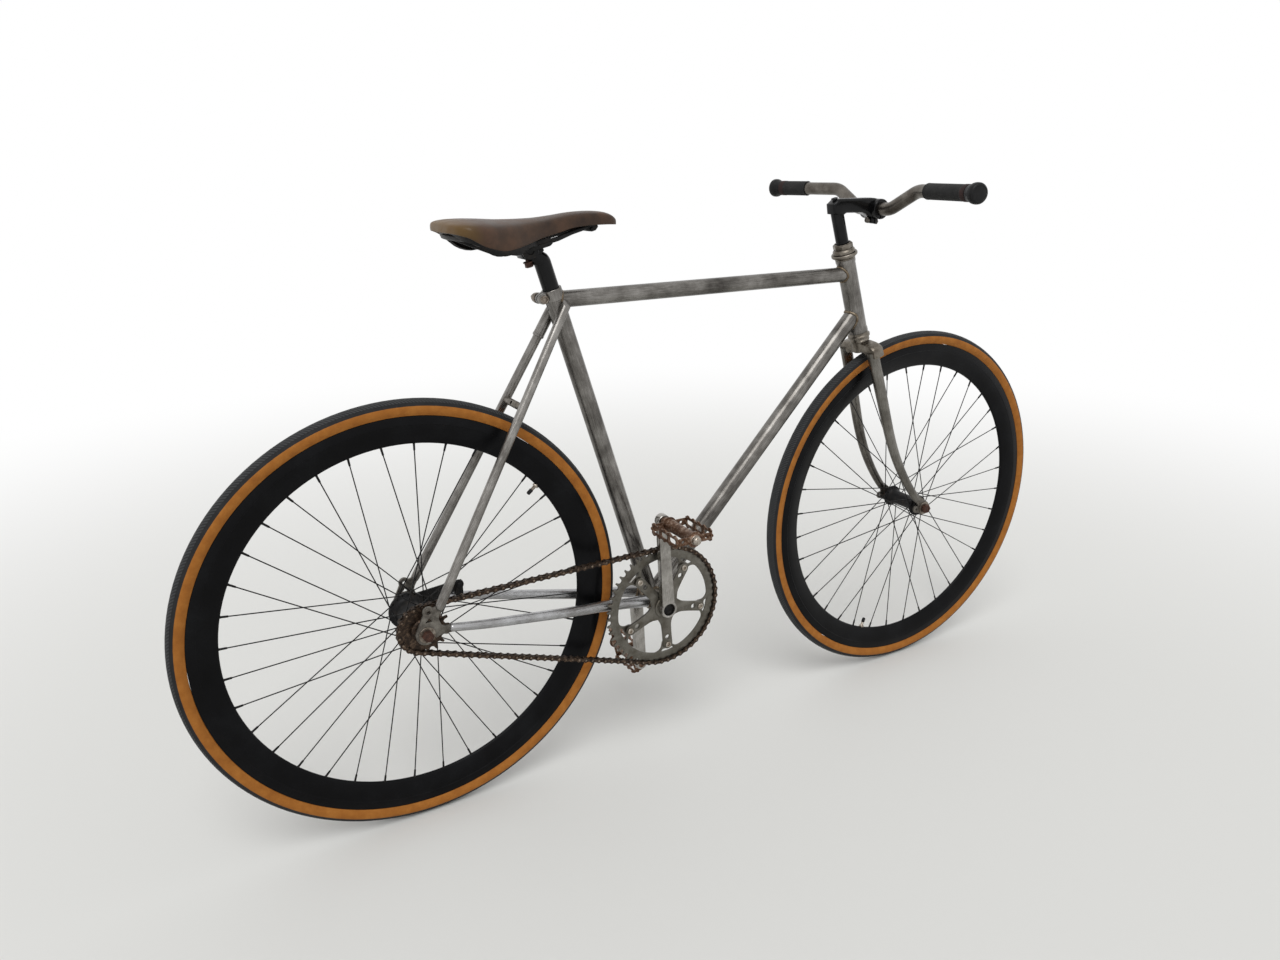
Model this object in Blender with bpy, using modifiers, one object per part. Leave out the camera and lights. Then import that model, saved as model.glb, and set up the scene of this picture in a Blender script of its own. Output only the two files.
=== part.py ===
"""A single-speed bicycle with a coaster-brake rear hub, as an assembly of separate sub-parts.

Metres, +X forward, +Y to the rider's left, +Z up. The origin is on the ground, halfway between the
ends of the two tyres, in the bicycle's middle plane.
"""

import math

import bmesh
import bpy
from mathutils import Matrix, Vector

for old in list(bpy.data.objects):
    bpy.data.objects.remove(old, do_unlink=True)

# Clearances between pieces
GAP = 0.0003
TURNING_GAP = 0.0005

# Wheels
WHEEL_RADIUS = 0.340
TYRE_HEIGHT = 0.0237
TYRE_WIDTH = 0.0275
TYRE_ROUND_SHARE = 0.5675
TYRE_WALL = 0.0022
RIM_RADIUS = WHEEL_RADIUS - TYRE_HEIGHT
RIM_DEPTH = 0.0425
RIM_WIDTH = 0.0200
RIM_WALL = 0.0015
BRAKE_TRACK = 0.0130
SPOKE_COUNT = 36
SPOKE_RADIUS = 0.0009
SPOKE_OFFSET = 0.0012
VALVE_HOLE_RADIUS = 0.0032
FRONT_FLANGE_Y = 0.0345
FRONT_FLANGE_RADIUS = 0.0200
REAR_FLANGE_RIGHT = -0.0275
REAR_FLANGE_LEFT = 0.0320
REAR_FLANGE_RADIUS = 0.0300
FLANGE_HALF = 0.0023
SPOKE_CIRCLE_INSET = 0.0021
HUB_SHELL_BORE = 0.0165
REAR_SHELL_RIGHT = -0.0340
REAR_SHELL_RIGHT_RADIUS = 0.0240
REAR_SHELL_LEFT = 0.0430
REAR_SHELL_LEFT_RADIUS = 0.0190
REAR_DRUM_LEFT = 0.0400
REAR_DRUM_RADIUS = 0.0260
REAR_BARREL_RADIUS = 0.0205
FRONT_BARREL_RADIUS = 0.0130
FRONT_SHELL_END_RADIUS = 0.0120
FLANGE_FLARE = 0.0090
FRONT_CONE_LENGTH = 0.0075
DRIVER_DRUM = 0.0158
REAR_VALVE_ANGLE = 40.0
FRONT_VALVE_ANGLE = 250.0

# Chain drive
RING_TEETH = 52
COG_TEETH = 18
CHAIN_PITCH = 0.0127
CHAIN_LINE = 0.0420
SPROCKET_THICKNESS = 0.0028
CHAIN_INNER_WIDTH = 0.0038
CHAIN_OUTER_WIDTH = 0.0084
LINK_PLATE = 0.0014
LINK_HEIGHT = 0.0084
LINK_LOBE = 0.0024

# Frame geometry, in side view
SEAT_TUBE_ROOM = 0.0800
CHAINSTAY_LENGTH = WHEEL_RADIUS + SEAT_TUBE_ROOM
BRACKET_DROP = 0.0655
SEAT_ANGLE = math.radians(73.0)
HEAD_ANGLE = math.radians(73.0)
TOP_TUBE_LENGTH = 0.570
SEAT_TUBE_ABOVE = 0.0175
HEAD_TUBE_LENGTH = 0.138
HEAD_ABOVE_TOP_TUBE = 0.029
DOWN_TUBE_JOIN = 0.037
FORK_RAKE = 0.040
CROWN_ROOM = 0.0432
AXLE_DEPTH = WHEEL_RADIUS + CROWN_ROOM

# Frame tubes, outer radii and walls
HEAD_TUBE_RADIUS = 0.0165
HEAD_TUBE_WALL = 0.0020
TOP_TUBE_RADIUS = 0.0127
DOWN_TUBE_RADIUS = 0.0143
MAIN_TUBE_WALL = 0.0012
SEAT_TUBE_RADIUS = 0.0143
SHELL_RADIUS = 0.0200
SHELL_BORE = 0.0170
SHELL_WIDTH = 0.0680
CHAINSTAY_FRONT_RADIUS = 0.0103
CHAINSTAY_MIDDLE_RADIUS = 0.0092
CHAINSTAY_REAR_RADIUS = 0.0063
SEATSTAY_RADIUS = 0.0070
SEATSTAY_TOP_Y = 0.0195
SEATSTAY_TOP_DROP = 0.0060
SEATSTAY_TOP_AHEAD = 0.0100
SEATSTAY_CAP_LENGTH = 0.0120
SEATSTAY_SLEEVE_RADIUS = 0.0086
SEATSTAY_SLEEVE_LENGTH = 0.058
STAY_WALL = 0.0012
BRIDGE_RADIUS = 0.0058
BRIDGE_ROOM = 0.0188
BRIDGE_HOLE_RADIUS = 0.0031
COLLAR_RADIUS = 0.0157
COLLAR_HEIGHT = 0.0170
BINDER_SETBACK = 0.0195
BINDER_DROP = 0.0085
BINDER_RADIUS = 0.0030
EAR_WIDTH = 0.0170
SLIT_WIDTH = 0.0025

# Rear dropouts and axle
DROPOUT_Y = 0.0600
DROPOUT_THICKNESS = 0.0050
DROPOUT_RING = 0.0165
TONGUE_LENGTH = 0.0220
TONGUE_HALF_HEIGHT = 0.0048
SLOT_ANGLE = -50.0
EYELET_HEIGHT = 0.0345
EYELET_RADIUS = 0.0085
EYELET_HOLE = 0.0028
EYELET_BOSS = 0.0015
REAR_AXLE_RADIUS = 0.0048
REAR_AXLE_END = 0.0735
AXLE_WASHER_RADIUS = 0.0125
AXLE_WASHER = 0.0016
AXLE_NUT_RADIUS = 0.0087
AXLE_NUT_HEIGHT = 0.0080
LOCKNUT_WIDTH = 0.0085
BRAKE_ARM_Y = 0.0515
BRAKE_ARM_THICKNESS = 0.0030
BRAKE_ARM_REACH = 0.0894
BRAKE_ARM_RISE = 0.0146
CLIP_WIDTH = 0.0120
CLIP_THICKNESS = 0.0015
CLIP_CLEARANCE = 0.0008

# Bottom bracket and cranks
CRANK_LENGTH = 0.165
CRANK_TILT = math.radians(94.7)
CRANK_ROOM = 0.0070
CRANK_FACE = SHELL_WIDTH / 2 + CRANK_ROOM
CRANK_INNER_Y = CRANK_FACE + 0.0090
CRANK_THICKNESS = 0.0130
CRANK_SPLAY = 0.0070
SPINDLE_RADIUS = 0.0085
SPINDLE_END = CRANK_FACE + 0.0170
JOURNAL_END = CRANK_FACE - 0.0040
SQUARE_RADIUS = 0.0086
SOCKET_PLAY = 0.0005
RIGHT_CUP_RADIUS = 0.0195
LEFT_CUP_RADIUS = 0.0190
CUP_FLANGE = 0.0028
CUP_THREAD = 0.0130
CRANK_BOSS_RADIUS = 0.0148
CRANK_BOSS_PROUD = 0.0070
CRANK_BOLT_RECESS = 0.0108
CRANK_EYE_RADIUS = 0.0108
CRANK_EDGE = 0.0016
SPIDER_ARMS = 5
SPIDER_THICKNESS = 0.0050
SPIDER_ARM_HALF = 0.0085
SPIDER_ARM_ROOT = 0.0270
SPIDER_NECK = 0.0225
SPIDER_TIP_RADIUS = 0.0080
SPIDER_HOLE_AT = 0.0590
SPIDER_HOLE_RADIUS = 0.0042
SPIDER_HUB_RADIUS = 0.0200
SPIDER_HUB_WIDTH = 0.0110
CHAINRING_BOLT_CIRCLE = 0.0735
CHAINRING_INNER_RADIUS = 0.0875
CHAINRING_BOLT_RADIUS = 0.0040
TAB_HALF_ANGLE = 15.5

# Pedals
PEDAL_SPINDLE_RADIUS = 0.0050
PEDAL_THREAD_RADIUS = 0.0070
PEDAL_INNER_Y = CRANK_INNER_Y + CRANK_THICKNESS + CRANK_SPLAY + 0.0080
PEDAL_OUTER_Y = 0.1620
PEDAL_CAP_Y = 0.1720
PEDAL_BARREL_RADIUS = 0.0105
PEDAL_NECK_RADIUS = 0.0095
PEDAL_FLANGE_RADIUS = 0.0085
PEDAL_FLANGE_WIDTH = 0.0047
PEDAL_FLANGE_ROOM = 0.0008
PEDAL_CAP_RADIUS = 0.0078
PEDAL_PLATE_INSET = 0.0075
PEDAL_TOOTH_DEPTH = 0.0028
PEDAL_PLATE_HALF = 0.0060
PEDAL_CAGE_REACH = 0.0315
PEDAL_CAGE_HEIGHT = 0.0220
PEDAL_PLATE = 0.0022
PEDAL_CAGE_TEETH = 5
LEFT_PEDAL_TILT = math.radians(78.0)

# Fork, headset and front hub
STEERER_RADIUS = 0.0127
STEERER_BORE = 0.0114
UPPER_CUP_RADIUS = 0.0228
UPPER_CUP_HEIGHT = 0.0100
TOP_RACE_RADIUS = 0.0192
TOP_RACE_HEIGHT = 0.0075
LOCKNUT_RADIUS = 0.0172
LOCKNUT_HEIGHT = 0.0080
LOWER_CUP_RADIUS = 0.0198
LOWER_CUP_HEIGHT = 0.0095
CROWN_RACE_RADIUS = 0.0178
CROWN_RACE_HEIGHT = 0.0068
CUP_SKIRT = 0.0100
LOWER_CUP_NECK = 0.0172
UPPER_CUP_NECK = 0.0178
CUP_FACE = 0.0045
LOWER_CUP_FACE = 0.0040
TOP_RACE_NECK = 0.0168
CROWN_RACE_NECK = 0.0155
RACE_FACE = 0.0030
LOCKNUT_COLLAR_RADIUS = 0.0150
LOCKNUT_COLLAR = 0.0010
CROWN_COLUMN = 0.0195
CROWN_DEPTH = 0.0270
CROWN_RADIUS = 0.0165
CROWN_THICKNESS = 0.0250
CROWN_HALF_WIDTH = 0.0470
BLADE_TOP_Y = 0.0360
BLADE_TIP_Y = 0.0500
BLADE_TOP_RADIUS = 0.0118
BLADE_TIP_RADIUS = 0.0072
BLADE_FLATTEN = 0.80
BLADE_SETBACK = 0.0050
BLADE_WALL = 0.0013
FORK_TIP_THICKNESS = 0.0042
FORK_TIP_RING = 0.0140
FORK_TONGUE = 0.0350
FORK_TONGUE_HALF = 0.0055
FORK_MOUTH_ANGLE = -75.0
FORK_EYELET_BEHIND = 0.0190
FORK_EYELET_RADIUS = 0.0070
FORK_EYELET_HOLE = 0.0026
FRONT_CONE_RADIUS = 0.0088
FRONT_HUB_WIDTH = 0.0960
FRONT_AXLE_RADIUS = 0.0045
FRONT_AXLE_END = 0.0620

# Stem, handlebar and grips
BAR_ABOVE_HEAD = 0.0607
BAR_FORWARD = 0.0812
QUILL_RADIUS = 0.0111
QUILL_BELOW_HEAD = 0.0750
WEDGE_LENGTH = 0.0300
EXPANDER_RADIUS = 0.0040
STEM_WIDTH = 0.0230
STEM_TOP = 0.0195
STEM_HEIGHT = 0.0235
CLAMP_RADIUS = 0.0172
CLAMP_WIDTH = 0.0400
STEM_SLIT = 0.0025
STEM_LUG = 0.0250
STEM_LUG_LEAN = math.radians(9.8)
BINDER_REACH = 0.0205
STEM_LUG_WIDTH = 0.0150
STEM_EDGE = 0.0030
STEM_BOLT_RADIUS = 0.0030
STEM_BOLT_HEAD = 0.0052
STEM_BOLT_HEAD_HEIGHT = 0.0047
STEM_BOLT_NUT_HEIGHT = 0.0037
BAR_RADIUS = 0.0111
BAR_WALL = 0.0020
BAR_STRAIGHT = 0.0400
BAR_BEND_Y = 0.0990
BAR_RISE = 0.0315
BAR_SWEEP = 0.0290
BAR_END_Y = 0.2500
BAR_BEND_RADIUS = 0.0420
GRIP_WALL = 0.0016
GRIP_RIGHT_START = 0.1270
GRIP_LEFT_START = 0.1705
GRIP_END = 0.2320
CAP_RADIUS = 0.0165
CAP_NECK_RADIUS = 0.0140
CAP_LENGTH = 0.0240

# Seatpost and saddle
SEATPOST_RADIUS = 0.0127
SEATPOST_WALL = 0.0018
SEATPOST_INSIDE = 0.1400
POST_HEAD_HEIGHT = 0.0520
CRADLE_SETBACK = 0.0130
CRADLE_LENGTH = 0.0470
CRADLE_HALF_WIDTH = 0.0180
CRADLE_BOLT_RADIUS = 0.0035
CRADLE_BOLT_BACK = 0.0110
RAIL_Y = 0.0210
RAIL_RADIUS = 0.0035
RAIL_HEIGHT = 0.0825
RAIL_SLOPE = 0.21
RAIL_FLAT_BEHIND = 0.0520
RAIL_FLAT_AHEAD = 0.0330
RAIL_BEND_BEHIND = 0.0850
RAIL_BEND_Y = 0.0330
RAIL_BEND_DROP = 0.0360
RAIL_NECK_AHEAD = 0.0600
RAIL_NECK_Y = 0.0120
RAIL_NECK_DROP = 0.0250
RAIL_NOSE_AHEAD = 0.1020
RAIL_NOSE_Y = 0.0050
RAIL_NOSE_DROP = 0.0155
CANTLE_BEHIND = 0.1145
CANTLE_HALF_WIDTH = 0.0400
CANTLE_DROP = 0.0237
CANTLE_BOW = 0.0080
CANTLE_RADIUS = 0.0045
SADDLE_LENGTH = 0.2790
SADDLE_WIDTH = 0.1480
SADDLE_SETBACK = 0.1530
SADDLE_TOP = 0.1220
SADDLE_DEPTH = 0.0445
SADDLE_WALL = 0.0030

# Facets
WHEEL_STEPS = 32
TURNED_STEPS = 12
SMALL_STEPS = 12

parts = bpy.data.collections.new("single_speed_bicycle")
cutters = bpy.data.collections.new("cutters")
bpy.context.scene.collection.children.link(parts)
bpy.context.scene.collection.children.link(cutters)


# Materials, one for each piece

def linear(hex_colour):
    """An sRGB hex colour as linear RGBA."""
    channels = [int(hex_colour[i : i + 2], 16) / 255 for i in (0, 2, 4)]
    return [c / 12.92 if c <= 0.04045 else ((c + 0.055) / 1.055) ** 2.4 for c in channels] + [1.0]


FINISHES = {
    "raw_steel": ("8a847c", 0.38, 1.0),
    "plated_steel": ("a8a49d", 0.30, 1.0),
    "rusty_steel": ("5b3a28", 0.75, 0.4),
    "black_steel": ("1a1a1c", 0.45, 0.3),
    "black_alloy": ("121316", 0.32, 0.6),
    "cast_alloy": ("8d8c88", 0.42, 1.0),
    "polished_alloy": ("c9c7c3", 0.22, 1.0),
    "chain_steel": ("40362d", 0.55, 0.8),
    "rubber": ("232425", 0.80, 0.0),
    "black_plastic": ("151516", 0.45, 0.0),
    "leather": ("7d6450", 0.48, 0.0),
}


def material_for(name, finish):
    """A material of this piece's own, in one of the finishes."""
    colour, roughness, metallic = FINISHES[finish]
    material = bpy.data.materials.new(name)
    material.use_nodes = True
    shader = material.node_tree.nodes["Principled BSDF"]
    shader.inputs["Base Color"].default_value = linear(colour)
    shader.inputs["Roughness"].default_value = roughness
    shader.inputs["Metallic"].default_value = metallic
    return material


# Placing and making objects

def along(origin, direction, across=Vector((0, 1, 0))):
    """A frame at origin whose Z runs along direction and whose Y is near the vector across."""
    z = Vector(direction).normalized()
    y = Vector(across) - z * z.dot(Vector(across))
    if y.length < 1e-6:
        y = Vector((1, 0, 0)) - z * z.x
    y.normalize()
    matrix = Matrix((y.cross(z), y, z)).transposed().to_4x4()
    matrix.translation = Vector(origin)
    return matrix


def side_plane(origin):
    """A frame whose X is forward, whose Y is up and whose Z points to the right-hand side."""
    matrix = Matrix(((1, 0, 0), (0, 0, -1), (0, 1, 0))).to_4x4()
    matrix.translation = Vector(origin)
    return matrix


def add_object(name, mesh, matrix=None):
    created = bpy.data.objects.new(name, mesh)
    created.matrix_world = matrix or Matrix()
    cutters.objects.link(created)
    created.hide_render = True
    created.display_type = "WIRE"
    return created


def make_part(created, finish, pivot=None, smooth=True):
    """Turns a construction object into a sub-part with its own material, under its pivot."""
    cutters.objects.unlink(created)
    parts.objects.link(created)
    created.hide_render = False
    created.display_type = "TEXTURED"
    created.data.materials.clear()
    created.data.materials.append(material_for(created.name, finish))
    if smooth and not created.modifiers:
        created.data.shade_smooth()
        created.data.set_sharp_from_angle(angle=math.radians(35))
    if pivot:
        created.parent = pivot
        created.matrix_parent_inverse = PIVOT_FRAMES[pivot.name].inverted()
    return created


PIVOT_FRAMES = {}


def make_pivot(name, origin, axis, parent=None):
    """An empty on a joint's axis, which carries what turns or slides with it."""
    pivot = bpy.data.objects.new(name, None)
    pivot.empty_display_size = 0.05
    frame = along(origin, axis, (1, 0, 0))
    PIVOT_FRAMES[name] = frame
    parts.objects.link(pivot)
    if parent:
        pivot.parent = parent
        pivot.matrix_parent_inverse = PIVOT_FRAMES[parent.name].inverted()
    pivot.matrix_basis = frame
    return pivot


def signed_area(loop):
    pairs = zip(loop, loop[1:] + loop[:1])
    return sum(a[0] * b[1] - b[0] * a[1] for a, b in pairs) / 2


def turned(name, profile, matrix, steps=TURNED_STEPS, cavity=None):
    """A profile of (radius, height) points turned about the frame's Z. One that starts and ends
    at radius 0 is a solid, and any other is closed into a ring."""
    mesh = bpy.data.meshes.new(name)
    points = list(profile)
    if signed_area(points) > 0:
        points.reverse()
    solid = points[0][0] == 0 and points[-1][0] == 0
    edges = [(i, i + 1) for i in range(len(points) - 1)]
    if not solid:
        edges.append((len(points) - 1, 0))
    if cavity:
        inner = list(cavity)
        if signed_area(inner) < 0:
            inner.reverse()
        start = len(points)
        edges += [(start + i, start + (i + 1) % len(inner)) for i in range(len(inner))]
        points = points + inner
    mesh.from_pydata([(r, 0, h) for r, h in points], edges, [])
    created = add_object(name, mesh, matrix)
    screw = created.modifiers.new("Turn", "SCREW")
    screw.steps = steps
    screw.render_steps = steps
    screw.use_merge_vertices = True
    screw.merge_threshold = 1e-5
    return created


def cylinder(name, radius, start, end, sides=TURNED_STEPS):
    """A round bar from start to end."""
    start, end = Vector(start), Vector(end)
    built = bmesh.new()
    bmesh.ops.create_cone(
        built, cap_ends=True, segments=sides, radius1=radius, radius2=radius, depth=(end - start).length
    )
    mesh = bpy.data.meshes.new(name)
    built.to_mesh(mesh)
    built.free()
    return add_object(name, mesh, along((start + end) / 2, end - start))


def box(name, size, matrix):
    built = bmesh.new()
    bmesh.ops.create_cube(built, size=1)
    bmesh.ops.scale(built, vec=size, verts=built.verts)
    mesh = bpy.data.meshes.new(name)
    built.to_mesh(mesh)
    built.free()
    return add_object(name, mesh, matrix)


def mesh_from_curve(curve_object):
    """The curve's surface as a mesh object, with its caps welded on."""
    bpy.context.view_layer.update()
    graph = bpy.context.evaluated_depsgraph_get()
    mesh = bpy.data.meshes.new_from_object(curve_object.evaluated_get(graph))
    built = bmesh.new()
    built.from_mesh(mesh)
    bmesh.ops.remove_doubles(built, verts=built.verts, dist=1e-6)
    bmesh.ops.recalc_face_normals(built, faces=built.faces)
    built.to_mesh(mesh)
    built.free()
    name = curve_object.name
    matrix = curve_object.matrix_world.copy()
    curve = curve_object.data
    bpy.data.objects.remove(curve_object)
    bpy.data.curves.remove(curve)
    return add_object(name, mesh, matrix)


def tube(name, path, radii, sides=12, wall=0.0):
    """A tube along the points of path. radii is one radius, or one for each point. With a wall
    it is open at both ends, and otherwise it is a bar with caps."""
    curve = bpy.data.curves.new(name, "CURVE")
    curve.dimensions = "3D"
    curve.twist_mode = "MINIMUM"
    if isinstance(radii, float):
        radii = [radii] * len(path)
    largest = max(radii)
    curve.bevel_depth = largest
    curve.bevel_resolution = (sides - 4) // 2
    curve.use_fill_caps = not wall
    spline = curve.splines.new("POLY")
    spline.points.add(len(path) - 1)
    for point, place, radius in zip(spline.points, path, radii):
        point.co = (*place, 1)
        point.radius = radius / largest
    holder = bpy.data.objects.new(name, curve)
    cutters.objects.link(holder)
    created = mesh_from_curve(holder)
    if wall:
        shell = created.modifiers.new("Wall", "SOLIDIFY")
        shell.thickness = wall
        shell.offset = -1
    return created


def plate(name, outline, thickness, matrix, holes=(), edge=0.0):
    """A flat plate with holes, in the frame's XY plane and centred on it. edge chamfers its rims."""
    curve = bpy.data.curves.new(name, "CURVE")
    curve.dimensions = "2D"
    curve.fill_mode = "BOTH"
    curve.extrude = thickness / 2 - edge
    curve.bevel_depth = edge
    curve.bevel_resolution = 0
    curve.offset = -edge
    for loop in (outline, *holes):
        spline = curve.splines.new("POLY")
        spline.points.add(len(loop) - 1)
        for point, (x, y) in zip(spline.points, loop):
            point.co = (x, y, 0, 1)
        spline.use_cyclic_u = True
    holder = bpy.data.objects.new(name, curve)
    holder.matrix_world = matrix
    cutters.objects.link(holder)
    return mesh_from_curve(holder)


def boolean(target, tool, operation):
    modifier = target.modifiers.new(operation.title() + " " + tool.name, "BOOLEAN")
    modifier.operation = operation
    modifier.object = tool
    return target


def cut(target, *tools):
    for tool in tools:
        boolean(target, tool, "DIFFERENCE")
    return target


def join(target, *tools):
    for tool in tools:
        boolean(target, tool, "UNION")
    return target


def circle(radius, count=SMALL_STEPS, centre=(0, 0), start=0.0):
    turn = 2 * math.pi / count
    return [
        (centre[0] + radius * math.cos(start + turn * i), centre[1] + radius * math.sin(start + turn * i))
        for i in range(count)
    ]


def arc(centre, radius, first, last, count):
    """Points from the angle first to the angle last, in degrees."""
    step = (last - first) / (count - 1)
    angles = [math.radians(first + step * i) for i in range(count)]
    return [(centre[0] + radius * math.cos(a), centre[1] + radius * math.sin(a)) for a in angles]


def filleted(points, radius, steps=5):
    """The path through points with each corner rounded to radius."""
    path = [Vector(points[0])]
    for before, corner, after in zip(points, points[1:], points[2:]):
        corner = Vector(corner)
        back = (Vector(before) - corner).normalized()
        ahead = (Vector(after) - corner).normalized()
        half = back.angle(ahead) / 2
        reach = radius / math.tan(half)
        first = corner + back * reach
        last = corner + ahead * reach
        centre = corner + (back + ahead).normalized() * (radius / math.sin(half))
        for i in range(steps + 1):
            chord = first.lerp(last, i / steps) - centre
            path.append(centre + chord.normalized() * radius)
    path.append(Vector(points[-1]))
    return path


def mirrored(point, side):
    return Vector((point[0], point[1] * side, point[2]))


# Where things lie, from the driving sizes

RING_PITCH_RADIUS = CHAIN_PITCH / (2 * math.sin(math.pi / RING_TEETH))
COG_PITCH_RADIUS = CHAIN_PITCH / (2 * math.sin(math.pi / COG_TEETH))


def links_around(distance):
    """Chain links in a loop over both sprockets at this distance, and the loop's parts."""
    lean = math.asin((RING_PITCH_RADIUS - COG_PITCH_RADIUS) / distance)
    on_ring = (math.pi + 2 * lean) * RING_TEETH / (2 * math.pi)
    on_cog = (math.pi - 2 * lean) * COG_TEETH / (2 * math.pi)
    straight = math.sqrt(distance**2 - (RING_PITCH_RADIUS - COG_PITCH_RADIUS) ** 2) / CHAIN_PITCH
    return on_ring + on_cog + 2 * straight, on_ring, straight, on_cog, lean


CHAIN_LINKS = 2 * round(links_around(CHAINSTAY_LENGTH)[0] / 2)


def tensioned_distance():
    """The distance between the axle and the crank spindle at which the whole chain is taut."""
    low, high = CHAINSTAY_LENGTH - CHAIN_PITCH, CHAINSTAY_LENGTH + CHAIN_PITCH
    for _ in range(50):
        middle = (low + high) / 2
        if links_around(middle)[0] < CHAIN_LINKS:
            low = middle
        else:
            high = middle
    return (low + high) / 2


AXLE_TO_SPINDLE = tensioned_distance()
LINK_TOTAL, LINKS_ON_RING, LINKS_STRAIGHT, LINKS_ON_COG, CHAIN_LEAN = links_around(AXLE_TO_SPINDLE)

UP_SEAT = Vector((-math.cos(SEAT_ANGLE), 0, math.sin(SEAT_ANGLE)))
UP_HEAD = Vector((-math.cos(HEAD_ANGLE), 0, math.sin(HEAD_ANGLE)))
AHEAD = Vector((math.sin(HEAD_ANGLE), 0, math.cos(HEAD_ANGLE)))
AHEAD_OF_SEAT = Vector((UP_SEAT.z, 0, -UP_SEAT.x))


def frame_points(rear_x):
    """The frame's main points, for a rear axle at rear_x."""
    rear = Vector((rear_x, 0, WHEEL_RADIUS))
    reach = math.sqrt(AXLE_TO_SPINDLE**2 - BRACKET_DROP**2)
    bracket = rear + Vector((reach, 0, -BRACKET_DROP))
    climb = AXLE_DEPTH + HEAD_TUBE_LENGTH - HEAD_ABOVE_TOP_TUBE
    axle_to_head = UP_HEAD * climb - AHEAD * FORK_RAKE
    top_tube_height = WHEEL_RADIUS + axle_to_head.z
    cluster = bracket + UP_SEAT * ((top_tube_height - bracket.z) / UP_SEAT.z)
    head = cluster + Vector((TOP_TUBE_LENGTH, 0, 0))
    return rear, bracket, cluster, head, head - axle_to_head


WHEELBASE = frame_points(0)[4].x
REAR_AXLE, BRACKET, CLUSTER, HEAD, FRONT_AXLE = frame_points(-WHEELBASE / 2)
SEAT_TUBE_TOP = CLUSTER + UP_SEAT * SEAT_TUBE_ABOVE
HEAD_TOP = HEAD + UP_HEAD * HEAD_ABOVE_TOP_TUBE
HEAD_BOTTOM = HEAD_TOP - UP_HEAD * HEAD_TUBE_LENGTH
DOWN_TUBE_TOP = HEAD_BOTTOM + UP_HEAD * DOWN_TUBE_JOIN
BAR_CENTRE = HEAD_TOP + UP_HEAD * BAR_ABOVE_HEAD + AHEAD * BAR_FORWARD
CRANK_DIRECTION = Vector((math.cos(CRANK_TILT), 0, math.sin(CRANK_TILT)))
RIGHT_PEDAL = BRACKET + CRANK_DIRECTION * CRANK_LENGTH
LEFT_PEDAL = BRACKET - CRANK_DIRECTION * CRANK_LENGTH
Y_AXIS = Vector((0, 1, 0))

# Joint axes
rear_wheel_pivot = make_pivot("rear_wheel_pivot", REAR_AXLE, Y_AXIS)
driver_pivot = make_pivot("driver_pivot", REAR_AXLE, Y_AXIS)
crank_pivot = make_pivot("crank_pivot", BRACKET, Y_AXIS)
right_pedal_pivot = make_pivot("right_pedal_pivot", RIGHT_PEDAL, Y_AXIS, crank_pivot)
left_pedal_pivot = make_pivot("left_pedal_pivot", LEFT_PEDAL, Y_AXIS, crank_pivot)
steering_pivot = make_pivot("steering_pivot", HEAD_BOTTOM, UP_HEAD)
stem_pivot = make_pivot("stem_pivot", HEAD_TOP, UP_HEAD, steering_pivot)
front_wheel_pivot = make_pivot("front_wheel_pivot", FRONT_AXLE, Y_AXIS, steering_pivot)
seatpost_pivot = make_pivot("seatpost_pivot", SEAT_TUBE_TOP, UP_SEAT)


# Wheels

def build_tyre(name, axle, pivot):
    """An open casing: a rounded section that ends on the rim's hooks."""
    half_height = TYRE_HEIGHT * TYRE_ROUND_SHARE
    centre = WHEEL_RADIUS - half_height
    last = math.acos(-(centre - RIM_RADIUS - GAP) / half_height)

    def section(share, inset):
        angle = last * share
        return (
            centre + (half_height - inset) * math.cos(angle),
            (TYRE_WIDTH / 2 - inset) * math.sin(angle),
        )

    outer = [section(share, 0) for share in (-1, -0.65, -0.33, 0, 0.33, 0.65, 1)]
    inner = [section(share, TYRE_WALL) for share in (0.95, 0.3, -0.3, -0.95)]
    casing = turned(name, outer + inner, along(axle, Y_AXIS), WHEEL_STEPS)
    return make_part(casing, "rubber", pivot)


def build_rim(name, axle, valve_angle, pivot):
    """A deep hollow rim: hooks, a tyre bed, flat brake tracks and sides that taper to the spokes."""
    half = RIM_WIDTH / 2
    inner = RIM_RADIUS - RIM_DEPTH
    bed = RIM_RADIUS - 0.0060
    track_end = RIM_RADIUS - BRAKE_TRACK
    half_profile = [
        (bed, half - RIM_WALL),
        (RIM_RADIUS, half),
        (track_end, half),
        (inner, 0.0022),
    ]
    profile = half_profile + [(r, -y) for r, y in reversed(half_profile)]
    cavity_half = half - RIM_WALL
    cavity = [
        (bed - RIM_WALL, cavity_half),
        (bed - RIM_WALL, -cavity_half),
        (track_end, -cavity_half),
        (inner + 0.0030, 0),
        (track_end, cavity_half),
    ]
    rim = turned(name, profile, along(axle, Y_AXIS), WHEEL_STEPS, cavity)
    radial = Vector((math.cos(math.radians(valve_angle)), 0, math.sin(math.radians(valve_angle))))
    start, end = axle + radial * (inner - 0.01), axle + radial * RIM_RADIUS
    hole = cylinder(name + "_valve_hole", VALVE_HOLE_RADIUS, start, end, 8)
    return make_part(cut(rim, hole), "black_alloy", pivot)


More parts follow.
